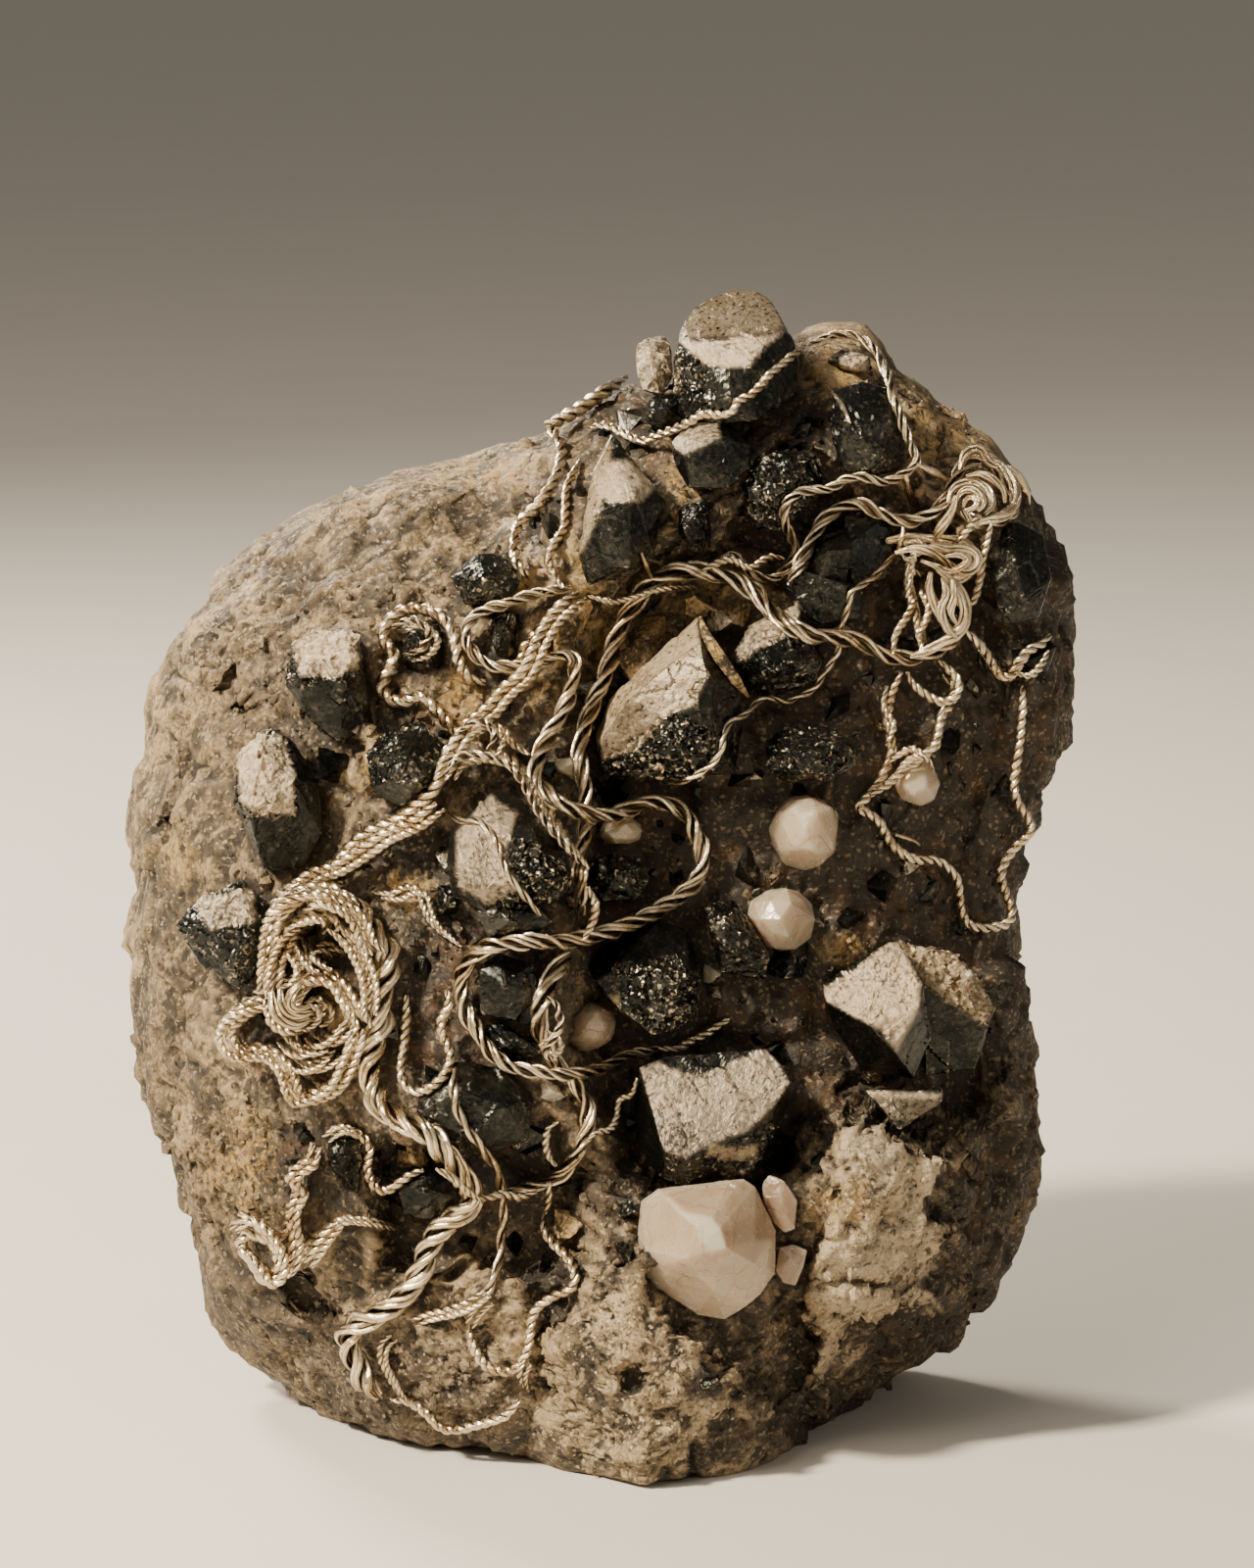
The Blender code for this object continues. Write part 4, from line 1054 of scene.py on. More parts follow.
    def tube(self, line: Value) -> NodeSocket:
        """Make a round tube of each strand, with closed ends.

        Args:
            line: The strands' lines, with their half widths kept as their size.

        Returns:
            The tubes.
        """
        ring: Value = self.node(
            "GeometryNodeCurvePrimitiveCircle", {"Resolution": self.sides, "Radius": 1.0}
        ).outputs[0]
        ring = self.stored(ring, "around", self.node("GeometryNodeInputIndex").outputs[0])
        size = self.named("size")
        sockets: Sockets = {
            "Curve": line,
            "Profile Curve": ring,
            "Scale": size,
            "Fill Caps": True,
        }
        made = self.node("GeometryNodeCurveToMesh", sockets).outputs[0]
        return self.node("GeometryNodeSetShadeSmooth", {0: made}).outputs[0]


class DruseTree(GrowthTree):
    """Scatters small blocky crystals of several shapes over a zone of a surface."""

    def __init__(self) -> None:
        """Build the tree."""
        super().__init__(
            "small_crystals",
            {
                "Chunks": ("Collection", None),
                "Zone": ("String", "druse"),
                "Density": ("Float", 3.0e6),
                "Spacing": ("Float", 0.7 * MM),
                "Least": ("Float", 0.5 * MM),
                "Most": ("Float", 1.9 * MM),
                "Power": ("Float", 2.0),
                "Seed": ("Int", 5),
            },
        )
        zone = self.named(self.given["Zone"])
        spots = self.node(
            "GeometryNodeDistributePointsOnFaces",
            {
                "Mesh": self.given["Geometry"],
                "Distance Min": self.given["Spacing"],
                "Density Max": self.given["Density"],
                "Density Factor": zone,
                "Seed": self.given["Seed"],
            },
            distribute_method="POISSON",
        ).outputs
        chunks = self.node(
            "GeometryNodeCollectionInfo",
            {"Collection": self.given["Chunks"], "Separate Children": True, "Reset Children": True},
        ).outputs[0]
        turn = self.node("FunctionNodeRandomValue", data_type="FLOAT_VECTOR")
        turn.inputs[0].default_value = (0.0, 0.0, 0.0)
        turn.inputs[1].default_value = (6.28, 6.28, 6.28)
        self.feed(turn.inputs["Seed"], self.given["Seed"])
        size = self.node("FunctionNodeRandomValue", data_type="FLOAT")
        self.feed(size.inputs[2], 0.0)
        self.feed(size.inputs[3], 1.0)
        self.feed(size.inputs["Seed"], self.math("ADD", self.given["Seed"], 11.0))
        share = self.math("POWER", size.outputs[1], self.given["Power"])
        spread = self.math("SUBTRACT", self.given["Most"], self.given["Least"])
        scale = self.times_plus(share, spread, self.given["Least"])
        sockets: Sockets = {
            "Points": spots["Points"],
            "Instance": chunks,
            "Pick Instance": True,
            "Rotation": turn.outputs[0],
            "Scale": scale,
        }
        self.end(self.node("GeometryNodeInstanceOnPoints", sockets).outputs[0])


def depth_inside(x: np.ndarray, y: np.ndarray, outline: Points) -> np.ndarray:
    """Measure how deep picture points lie inside an outline.

    Args:
        x: Picture points, to the right.
        y: Picture points, down.
        outline: Corners of the outline.

    Returns:
        Distance from the outline in picture points, below zero outside it.
    """
    corners = np.array(outline, float)
    nearest = np.full(np.shape(x), 1e9)
    inside = np.zeros(np.shape(x), bool)
    for (ax, ay), (bx, by) in zip(corners, np.roll(corners, -1, axis=0)):
        dx, dy = bx - ax, by - ay
        along = np.clip(((x - ax) * dx + (y - ay) * dy) / (dx * dx + dy * dy), 0, 1)
        nearest = np.minimum(nearest, np.hypot(x - ax - along * dx, y - ay - along * dy))
        crosses = ((ay > y) != (by > y)) & (x < (bx - ax) * (y - ay) / (by - ay + 1e-12) + ax)
        inside ^= crosses
    return np.where(inside, nearest, -nearest)


def ragged(x: np.ndarray, y: np.ndarray, reach: float) -> tuple[np.ndarray, np.ndarray]:
    """Push picture points about by crossed waves, so that outlines read there look torn.

    Args:
        x: Picture points, to the right.
        y: Picture points, down.
        reach: How far one wave pushes.

    Returns:
        The points' new x and y.
    """
    across, down = 0.0, 0.0
    for wave_x, wave_y, share in ((0.11, 0.07, 1.0), (-0.19, 0.23, 0.7), (0.41, -0.31, 0.45)):
        across = across + share * np.sin(wave_x * x + wave_y * y)
        down = down + share * np.cos(wave_y * x - wave_x * y + 1.0)
    return x + reach * across, y + reach * down


# The rock's rim, its dark hollow and its weathered left face, which is also painted in shade, in picture
# points
ROCK_OUTLINE: Points = [
    (550, 444), (585, 424), (620, 402), (645, 386), (700, 376), (770, 366), (820, 348), (850, 339),
    (880, 343), (902, 360), (916, 378), (932, 390), (970, 425), (1010, 455), (1045, 495), (1070, 535),
    (1085, 590), (1095, 660), (1090, 700), (1078, 755), (1062, 810), (1045, 870), (1037, 920), (1040, 1000),
    (1048, 1060), (1058, 1110), (1062, 1145), (1055, 1200), (1042, 1260), (1022, 1308), (980, 1350),
    (940, 1385), (880, 1430), (820, 1465), (760, 1492), (700, 1513), (660, 1521), (600, 1502), (540, 1480),
    (450, 1470), (400, 1460), (350, 1445), (300, 1425), (250, 1385), (222, 1345), (205, 1280), (185, 1210),
    (160, 1150), (145, 1080), (135, 1000), (137, 900), (143, 770), (155, 700), (170, 660), (200, 620),
    (245, 580), (300, 530), (330, 510), (400, 482), (480, 465),
]

HOLLOW: Points = [
    (596, 640), (650, 596), (735, 560), (800, 470), (900, 500), (985, 560), (1052, 640), (1056, 800),
    (1050, 1000), (1052, 1100), (985, 1150), (850, 1128), (815, 1190), (700, 1212), (640, 1190), (596, 1100),
    (606, 960), (600, 800),
]

FACE: Points = [
    (190, 705), (225, 645), (290, 568), (350, 530), (430, 508), (530, 488), (560, 560), (470, 640),
    (340, 640), (300, 760), (240, 900), (215, 1010), (185, 1130), (168, 1060), (163, 900), (172, 780),
]

# Each form's rise in millimetres, the width of its slope in picture points, and its outline
FORMS: dict[str, tuple[float, float, Points]] = {
    "hollow": (-6.5, 70.0, HOLLOW),
    "block": (2.6, 15.0, [
        (846, 1138), (904, 1150), (952, 1172), (978, 1185), (956, 1206), (946, 1236), (962, 1256),
        (980, 1252), (962, 1284), (952, 1304), (949, 1334), (900, 1338), (872, 1340), (856, 1354),
        (870, 1384), (846, 1412), (830, 1418), (838, 1362), (824, 1344), (834, 1310), (826, 1294),
        (842, 1270), (850, 1235), (855, 1190),
    ]),
    "block_side": (-4.4, 30.0, [
        (985, 1170), (1090, 1120), (1080, 1260), (1020, 1345), (968, 1345), (972, 1290),
    ]),
    "toe": (1.9, 20.0, [
        (594, 1285), (660, 1285), (672, 1316), (691, 1354), (774, 1441), (750, 1453), (705, 1465),
        (694, 1491), (672, 1508), (597, 1505), (560, 1480), (546, 1455), (563, 1436), (563, 1356),
        (594, 1337),
    ]),
    "notch": (-2.8, 24.0, [(700, 1340), (790, 1320), (822, 1330), (828, 1405), (800, 1436), (764, 1412)]),
    "crevice": (-1.6, 24.0, [(548, 1320), (572, 1325), (566, 1400), (556, 1490), (540, 1488), (545, 1400)]),
    "lower_hollow": (-3.6, 36.0, [
        (388, 1180), (470, 1150), (560, 1140), (606, 1200), (596, 1275), (520, 1300), (400, 1290),
    ]),
    "brow": (1.6, 90.0, [
        (300, 520), (450, 480), (470, 560), (420, 640), (300, 640), (210, 660), (230, 590),
    ]),
    "pit": (-2.4, 14.0, [(286, 1306), (320, 1302), (326, 1338), (298, 1342)]),
    "face": (-1.5, 20.0, FACE),
    "ridge": (1.5, 12.0, [
        (345, 690), (364, 698), (404, 768), (436, 826), (416, 838), (384, 790), (350, 724),
    ]),
    "upper_crack": (-0.9, 8.0, [
        (842, 1296), (900, 1308), (964, 1292), (964, 1302), (900, 1320), (842, 1308),
    ]),
    "lower_crack": (-0.9, 8.0, [
        (846, 1332), (910, 1340), (958, 1326), (958, 1336), (910, 1352), (846, 1344),
    ]),
    "toe_pit": (-1.4, 9.0, [(626, 1398), (648, 1396), (664, 1406), (656, 1418), (632, 1414)]),
    "long_pit": (-1.3, 8.0, [(220, 708), (234, 690), (252, 682), (248, 698), (232, 714)]),
    "short_pit": (-1.1, 8.0, [(243, 724), (262, 711), (270, 718), (252, 730)]),
    "rim_pit": (-1.1, 8.0, [(182, 670), (205, 653), (216, 656), (192, 673)]),
    "side_pit": (-1.3, 9.0, [(162, 850), (172, 834), (194, 835), (192, 852), (172, 859)]),
}

# Where the rock has painted shade in gaps and on parts turned from the light, iron stains, painted light,
# and grainy parts, and where crumbs lie on it
GAPS = Patches(
    (480, 1010, 200, 240), (350, 1190, 150, 100), (520, 1180, 160, 160), (430, 870, 120, 90),
    (560, 520, 60, 70), (700, 1210, 200, 90), (380, 740, 90, 60), (640, 425, 100, 80), (760, 470, 190, 150),
    (850, 440, 110, 130), (700, 400, 110, 60), (610, 900, 90, 200), (272, 1052, 50, 40),
    (325, 1000, 110, 190), (455, 780, 110, 80), (500, 700, 70, 90), (330, 760, 60, 60), (545, 800, 60, 120),
    (560, 1300, 60, 60),
)

# Painted shade and painted cast shadows: the block's right side, beside the block, the left face, the lower
# left and the right rim
SHADED = Shapes(
    (0.75, [
        (978, 1150), (985, 1185), (962, 1210), (952, 1236), (968, 1256), (984, 1252), (956, 1304),
        (952, 1340), (874, 1344), (860, 1356), (876, 1384), (850, 1416), (780, 1448), (700, 1470),
        (690, 1510), (1000, 1400), (1070, 1250), (1075, 1120),
    ]),
    (0.55, [
        (672, 1316), (700, 1320), (760, 1310), (790, 1200), (800, 1140), (842, 1140), (852, 1190),
        (846, 1235), (838, 1270), (822, 1294), (830, 1320), (820, 1344), (834, 1362), (828, 1418),
        (780, 1440), (691, 1354),
    ]),
    (0.30, FACE),
    (0.42, [
        (120, 1020), (200, 1060), (262, 1200), (300, 1330), (420, 1350), (545, 1400), (550, 1530),
        (380, 1510), (240, 1440), (150, 1290),
    ]),
    (0.80, [
        (1010, 470), (1070, 490), (1110, 620), (1110, 720), (1080, 830), (1070, 920), (1070, 1000),
        (1090, 1130), (1040, 1150), (1030, 900), (1040, 700),
    ]),
)

STAINS = Patches(
    (600, 645, 70, 100), (665, 640, 90, 90), (385, 765, 30, 110), (180, 875, 40, 40), (245, 1195, 60, 90),
    (862, 970, 50, 34), (500, 485, 50, 30), (868, 1228, 64, 52), (600, 590, 50, 50), (725, 610, 150, 60),
    (560, 700, 34, 50), (700, 500, 40, 100), (960, 440, 80, 50), (345, 1030, 30, 60), (475, 715, 40, 70),
    (520, 600, 60, 30), (850, 380, 60, 40), (330, 700, 30, 50), (415, 905, 60, 30),
)

# Painted light on the block's upper part and a chip below it
PAINTED_LIGHT = Shapes(
    (0.42, [
        (850, 1140), (904, 1150), (952, 1172), (978, 1185), (950, 1240), (962, 1290), (948, 1330),
        (860, 1340), (832, 1320), (842, 1270), (855, 1190),
    ]),
    (0.30, [(836, 1350), (862, 1352), (866, 1386), (840, 1412), (830, 1400)]),
)

GRAINY = Patches((905, 1270, 170, 290), (670, 1400, 260, 260), (420, 1400, 220, 130))

CRUMBS = Patches(
    (420, 700, 250, 160), (500, 600, 120, 80), (350, 870, 160, 90), (450, 930, 160, 120),
    (250, 1180, 130, 160), (600, 760, 60, 120), (700, 500, 60, 120), (930, 430, 120, 80), (870, 980, 60, 40),
    (640, 1250, 90, 80),
)


@dataclass
class MatrixRock:
    """The weathered rock that carries everything, with its forms and its zones of finish."""

    centre: tuple[float, float] = (616.0, 908.0)
    front: float = 20.0 * MM
    back: float = 22.0 * MM
    edge: float = 5.0 * MM
    squareness: float = 2.7
    rim_fade: float = 7.0
    sole_drop: float = 6.0 * MM
    sole_height: float = 13.0 * MM
    sole_onset: float = 3.0
    lump_height: float = 0.9 * MM
    lump_span: float = 11.0 * MM
    lump_sizes: int = 3
    chip_count: int = 22
    chip_bite: float = 2.2 * MM
    chip_spread: tuple[float, float] = (0.5, 1.3)
    chip_lean: float = 0.35
    chip_flatness: float = 0.92
    chip_seed: int = 7
    coarse_levels: int = 5
    fine_levels: int = 7
    dense_from: float = -0.12
    wear: float = 0.20 * MM
    wear_rounds: int = 3
    gap: float = 1.3 * MM
    tear: float = 4.0
    hollow_edge: float = 60.0
    rim_edge: float = 20.0

    def ball(self, dense: bool) -> BMesh:
        """Make a unit ball whose front can have finer faces than its back.

        Args:
            dense: Whether its front has finer faces.

        Returns:
            The ball.
        """
        body = bmesh.new()
        levels = self.fine_levels if dense else self.coarse_levels
        bmesh.ops.create_icosphere(body, subdivisions=levels, radius=1.0)
        if dense:
            edges = [e for e in body.edges if max(v.co.y for v in e.verts) < self.dense_from]
            bmesh.ops.subdivide_edges(body, edges=edges, cuts=1, use_grid_fill=True)
            bmesh.ops.triangulate(body, faces=[f for f in body.faces if len(f.verts) > 3])
            for vertex in body.verts:
                vertex.co.normalize()
        return body

    def placed(self, ball: np.ndarray) -> np.ndarray:
        """Move the points of a unit ball onto the rock, whose rim is the outline.

        Args:
            ball: Points of the ball.

        Returns:
            Their places on the rock.
        """
        across, back, up = ball.T
        share = np.hypot(across, up)
        angle = np.arctan2(-up, across)
        outline = np.array(ROCK_OUTLINE, float) - self.centre
        rim_angle = np.arctan2(outline[:, 1], outline[:, 0])
        radius = np.interp(angle, rim_angle, np.hypot(*outline.T), period=2 * math.pi)
        out = np.clip(share, 0, 1) ** (2 / self.squareness)
        bulge = np.abs(back) ** (2 / self.squareness)
        turn = np.array((np.cos(angle), np.sin(angle))) * radius
        x, y = self.centre[0] + out * turn[0], self.centre[1] + out * turn[1]
        rim_back = SIGHT.ground_behind(self.centre[0] + turn[0], self.centre[1] + turn[1])
        depth = np.minimum(rim_back, self.edge) * (1 - bulge)
        depth += np.where(back < 0, -self.front, self.back) * bulge
        height = np.zeros(np.shape(x))
        torn_x, torn_y = ragged(x, y, self.tear)
        for rise, slope, points in FORMS.values():
            inside = np.clip(depth_inside(torn_x, torn_y, points) / slope + 0.5, 0, 1)
            height += rise * MM * inside * inside * (3 - 2 * inside)
        depth -= np.where(back < 0, height * np.clip((1 - out) * self.rim_fade, 0, 1), 0)
        places = SIGHT.place(x, y, depth)
        low = np.clip(1 - places[:, 2] / self.sole_height, 0, 1)
        places[:, 2] -= self.sole_drop * low * np.clip(back * self.sole_onset - 1, 0, 1)
        return places

    def weathered(self, places: np.ndarray, count: int) -> np.ndarray:
        """Give the rock lumps and flat breaks.

        Args:
            places: Points on the rock, the coarse ones first.
            count: How many coarse ones there are, on which the breaks are measured.

        Returns:
            The points' new places.
        """
        middle = places[:count].mean(axis=0)
        moved = places.copy()
        for index, place in enumerate(places):
            outward = place - middle
            outward /= np.linalg.norm(outward)
            swell = noise.fractal(Vector(place / self.lump_span), 1.0, 2.0, self.lump_sizes)
            moved[index] = place + outward * swell * self.lump_height
        pick = np.random.default_rng(self.chip_seed)
        middle = moved[:count].mean(axis=0)
        for _ in range(self.chip_count):
            normal = pick.normal(size=3)
            normal[1] = abs(normal[1]) + self.chip_lean
            normal /= np.linalg.norm(normal)
            reach = (moved - middle) @ normal
            limit = reach[:count].max() - self.chip_bite * pick.uniform(*self.chip_spread)
            over = np.maximum(reach - limit, 0)
            moved = moved - over[:, None] * normal * self.chip_flatness
        return moved

    def zones(self, mesh: Mesh, back: np.ndarray) -> None:
        """Keep on the mesh the rock's hollow with its painted shade and light, where it is stained or
        grainy, and what grows on it.

        Args:
            mesh: The rock's mesh.
            back: How far back each corner is, from -1 in front to 1 behind.
        """
        front, near = np.clip(1.0 - back * 4, 0, 1), np.clip(0.2 - back * 3, 0, 1)
        x, y, _ = SIGHT.picture(corners_of(mesh))
        x, y = ragged(x, y, self.tear)
        inside = np.clip(depth_inside(x, y, HOLLOW) / self.hollow_edge + 0.6, 0, 1)
        gaps, shaded = GAPS.cover(x, y), SHADED.cover(x, y)
        stained, grained = STAINS.cover(x, y), GRAINY.cover(x, y)
        # The hollow, joined by painted shade in gaps, on parts turned from the light and in cast shadows,
        # less where stained; kept as hollow
        hollow_and_painted_shade = np.maximum(np.maximum(inside, 0.9 * gaps), shaded) * (1 - 0.9 * stained)
        bare = np.maximum(inside, gaps) * (1 - 0.8 * stained)
        keep(mesh, "hollow", hollow_and_painted_shade * front)
        keep(mesh, "ochre", stained * front)
        keep(mesh, "grainy", grained * front)
        # Painted light, kept as pale
        keep(mesh, "pale", PAINTED_LIGHT.cover(x, y) * front * (1 - 0.9 * stained))
        clumps = np.clip(np.sin(x / 17 + y / 29) + np.sin(y / 21 - x / 33) + 0.2, 0, 1)
        inner = np.clip(depth_inside(x, y, ROCK_OUTLINE) / self.rim_edge - 0.8, 0, 1)
        keep(mesh, "druse", np.clip(1.5 * bare - 0.4, 0, 1) * near * clumps * inner)
        keep(mesh, "crumbs", np.maximum(CRUMBS.cover(x, y), 0.4 * grained) * near)

    def stand(self, item: Object) -> None:
        """Cut the skin flat where it stands.

        Args:
            item: The rock.
        """
        body = bmesh.new()
        body.from_mesh(item.data)
        everything = body.verts[:] + body.edges[:] + body.faces[:]
        made = bmesh.ops.bisect_plane(
            body, geom=everything, dist=1e-7, plane_co=(0, 0, 0), plane_no=(0, 0, 1), clear_inner=True
        )
        rim = [edge for edge in made["geom_cut"] if isinstance(edge, bmesh.types.BMEdge)]
        bmesh.ops.contextual_create(body, geom=rim)
        bmesh.ops.triangulate(body, faces=[f for f in body.faces if len(f.verts) > 4])
        bmesh.ops.recalc_face_normals(body, faces=body.faces)
        body.to_mesh(item.data)
        body.free()

    def build(self, skin: SkinTree, finish: Material) -> Object:
        """Make the rock's skin.

        Args:
            skin: Tree that weathers it.
            finish: Its material.

        Returns:
            The rock.
        """
        coarse, body = self.ball(False), self.ball(True)
        first = np.array([v.co for v in coarse.verts])
        ball = np.array([v.co for v in body.verts])
        count = len(first)
        coarse.free()
        places = self.weathered(self.placed(np.vstack((first, ball))), count)[count:]
        for vertex, place in zip(body.verts, places):
            vertex.co = place
        bmesh.ops.recalc_face_normals(body, faces=body.faces)
        mesh = mesh_of("rock_skin", body)
        self.zones(mesh, ball[:, 1])
        item = new_piece("rock_skin", mesh)
        skin.grow(item, Finish=finish)
        self.stand(item)
        item.data.shade_smooth()
        keep_relief(item.data, self.wear, self.wear_rounds)
        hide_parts("matrix_rock")
        return item

    def shade_gaps(self, item: Object, crystals: BVHTree) -> None:
        """Paint shade on the rock where it is close beside a crystal, as dark as its hollow.

        Args:
            item: The rock.
            crystals: The crystals' surfaces.
        """
        count = len(item.data.vertices)
        values, stained = np.zeros(count, np.float32), np.zeros(count, np.float32)
        hollow = item.data.attributes["hollow"].data
        hollow.foreach_get("value", values)
        item.data.attributes["ochre"].data.foreach_get("value", stained)
        for index, vertex in enumerate(item.data.vertices):
            gap = crystals.find_nearest(vertex.co, self.gap)[3]
            if gap is not None:
                # Painted shade beside the crystal, less where stained
                dark = (1.0 - gap / self.gap) * (1.0 - 0.7 * stained[index])
                values[index] = max(values[index], dark)
        hollow.foreach_set("value", values)


def tree_of(items: list[Object]) -> BVHTree:
    """Make a search tree over the faces of several pieces.

    Args:
        items: The pieces.

    Returns:
        The tree.
    """
    corners: list[Vector] = []
    faces: list[list[int]] = []
    for item in items:
        start = len(corners)
        corners += [vertex.co.copy() for vertex in item.data.vertices]
        faces += [[start + i for i in face.vertices] for face in item.data.polygons]
    return BVHTree.FromPolygons(corners, faces)


def blocky(pick: np.random.Generator, count: int) -> np.ndarray:
    """Choose places on and just under the faces of a cube from -1 to 1.

    Args:
        pick: Source of the choices.
        count: How many places.

    Returns:
        The places.
    """
    places = pick.normal(size=(count, 3))
    places /= np.abs(places).max(axis=1)[:, None]
    return places * pick.uniform(0.72, 1.0, size=(count, 1))


def hull(places: np.ndarray) -> BMesh:
    """Make a closed crystal with flat faces through the outermost of some places.

    Args:
        places: The places.

    Returns:
        Its mesh.
    """
    body = bmesh.new()
    for place in places:
        body.verts.new(place)
    made = bmesh.ops.convex_hull(body, input=body.verts)
    inner = [v for v in made["geom_interior"] if isinstance(v, bmesh.types.BMVert)]
    bmesh.ops.delete(body, geom=inner, context="VERTS")
    return body


# How broken some crystals are all over
DRUSES: dict[str, float] = {
    "galena_upper_druse": 0.6, "galena_black_druse": 0.35, "galena_right_druse": 0.5,
    "galena_small_upper": 0.35, "galena_by_calcite": 0.4, "galena_left_edge": 0.5,
    "galena_inner": 0.4, "galena_crown": 0.10, "galena_upper_right": 0.20,
}

# Corners of the plain large crystals: picture points, and millimetres behind the foremost one
CUT: dict[str, Corners] = {
    "galena_crown": [
        (698, 327, 4.9), (709, 315, 5.8), (727, 304, 6.8), (751, 296, 7.6), (772, 297, 7.6), (785, 304, 7.0),
        (793, 317, 5.8), (802, 334, 4.0), (693, 348, 3.6), (722, 348, 2.2), (757, 343, 1.9), (785, 342, 2.2),
        (707, 360, 1.6), (718, 370, 0.9), (744, 374, 0.3), (765, 373, 0.3), (776, 362, 1.1), (688, 372, 3.4),
        (688, 402, 3.0), (700, 426, 1.8), (735, 433, 0.9), (772, 428, 1.0), (812, 402, 3.0), (816, 372, 3.6),
        (809, 346, 3.8), (745, 404, 0.0),
    ],
    "galena_black_druse": [
        (750, 666, 2.2), (759, 654, 2.3), (766, 638, 2.6), (776, 632, 2.8), (791, 627, 3.0), (813, 616, 3.4),
        (817, 624, 2.6), (815, 632, 1.8), (805, 646, 0.9), (789, 654, 0.6), (775, 659, 0.5), (762, 672, 0.8),
        (751, 676, 1.4), (757, 695, 2.2), (763, 709, 3.0), (785, 712, 3.0), (810, 706, 3.0), (832, 694, 3.0),
        (838, 675, 2.8), (828, 655, 2.2), (790, 685, 0.0), (810, 675, 0.3), (772, 690, 1.0),
    ],
    "galena_great": [
        (722, 690, 0.0), (717, 673, 0.5), (715, 658, 1.1), (697, 669, 1.0), (663, 696, 1.2), (641, 717, 1.5),
        (613, 759, 2.4), (613, 775, 2.6), (645, 768, 1.5), (665, 750, 1.0), (680, 731, 0.5), (708, 720, 0.0),
        (712, 630, 4.0), (697, 643, 4.0), (655, 680, 4.2), (622, 714, 4.4), (608, 750, 4.6), (738, 668, 3.4),
        (755, 700, 3.8), (758, 740, 4.2), (750, 790, 4.8), (735, 768, 1.9), (700, 792, 2.6), (650, 795, 3.2),
        (614, 790, 3.8), (695, 765, 0.7), (725, 745, 0.9),
    ],
    "calcite_great": [
        (696, 1237, 2.0), (711, 1250, 0.5), (726, 1243, 0.9), (735, 1254, 0.4), (741, 1273, 0.3),
        (716, 1268, 0.2), (700, 1284, 0.5), (660, 1276, 3.6), (680, 1222, 3.9), (770, 1290, 2.6),
        (654, 1226, 5.6), (672, 1213, 5.8), (684, 1216, 5.2), (745, 1204, 5.4), (759, 1203, 5.8),
        (771, 1211, 5.8), (779, 1236, 5.0), (792, 1256, 5.4), (791, 1300, 5.4), (776, 1320, 5.6),
        (762, 1333, 5.8), (740, 1346, 6.2), (712, 1341, 6.0), (681, 1321, 5.8), (667, 1312, 5.8),
        (654, 1298, 5.6), (651, 1260, 5.2), (728, 1318, 2.6),
    ],
    "galena_lower_great": [
        (653, 1089, 2.5), (680, 1078, 2.8), (735, 1076, 2.8), (782, 1070, 3.0), (797, 1086, 2.6),
        (807, 1104, 2.1), (792, 1127, 1.5), (764, 1154, 0.8), (719, 1172, 0.3), (700, 1182, 0.0),
        (679, 1175, 0.2), (673, 1161, 0.6), (660, 1115, 1.8), (647, 1119, 4.6), (650, 1160, 4.2),
        (664, 1190, 3.4), (677, 1203, 3.0), (700, 1211, 3.0), (761, 1202, 3.2), (776, 1182, 2.6),
        (800, 1140, 3.4), (812, 1110, 4.2),
    ],
    "calcite_beside_great": [
        (778, 1209, 0.9), (785, 1199, 0.9), (796, 1203, 0.5), (804, 1209, 0.4), (814, 1226, 0.5),
        (811, 1254, 0.6), (801, 1258, 0.6), (790, 1248, 0.6), (780, 1228, 0.8), (796, 1225, 0.2),
        (801, 1240, 0.3),
    ],
    "calcite_under_great": [
        (796, 1273, 0.5), (810, 1270, 0.5), (824, 1276, 0.5), (820, 1293, 0.4), (812, 1312, 0.7),
        (799, 1309, 0.7), (792, 1296, 0.6), (806, 1285, 0.1),
    ],
    "calcite_upper_right": [
        (915, 790, 1.8), (920, 779, 1.8), (937, 773, 1.8), (951, 780, 1.8), (960, 799, 1.8), (954, 816, 1.8),
        (940, 823, 1.8), (920, 816, 1.8), (913, 802, 1.8), (928, 788, 0.5), (944, 790, 0.4), (946, 804, 0.3),
        (932, 812, 0.4), (924, 800, 0.3),
    ],
}

# Blocks that have grown into a crystal, with corners of the same kind
TWINS: dict[str, list[Corners]] = {
    "galena_crown": [
        [
            (652, 353, 5.6), (660, 345, 5.8), (675, 343, 5.8), (684, 352, 5.2), (687, 384, 4.2),
            (674, 402, 3.4), (657, 398, 3.6), (650, 374, 4.6), (663, 362, 4.2), (676, 366, 4.2),
            (668, 386, 3.0),
        ],
        [
            (658, 415, 5.0), (675, 397, 4.0), (704, 400, 3.5), (702, 433, 3.5), (675, 439, 4.0),
            (682, 418, 2.4), (660, 430, 4.8),
        ],
    ],
}

# The great crystal's face and the band above it, and the back of the right point
GREAT_FACE: Points = [
    (715, 660), (717, 673), (722, 690), (709, 720), (680, 731), (665, 750), (645, 768), (613, 775),
    (613, 759), (641, 717), (663, 696), (697, 669),
]

GREAT_BAND: Points = [
    (606, 776), (604, 750), (620, 712), (655, 676), (712, 624), (715, 657), (697, 669), (663, 696),
    (641, 717), (613, 759),
]

POINT_BACK: Points = [
    (918, 960), (970, 972), (998, 998), (1015, 1030), (1005, 1045), (965, 1020), (943, 1003),
]

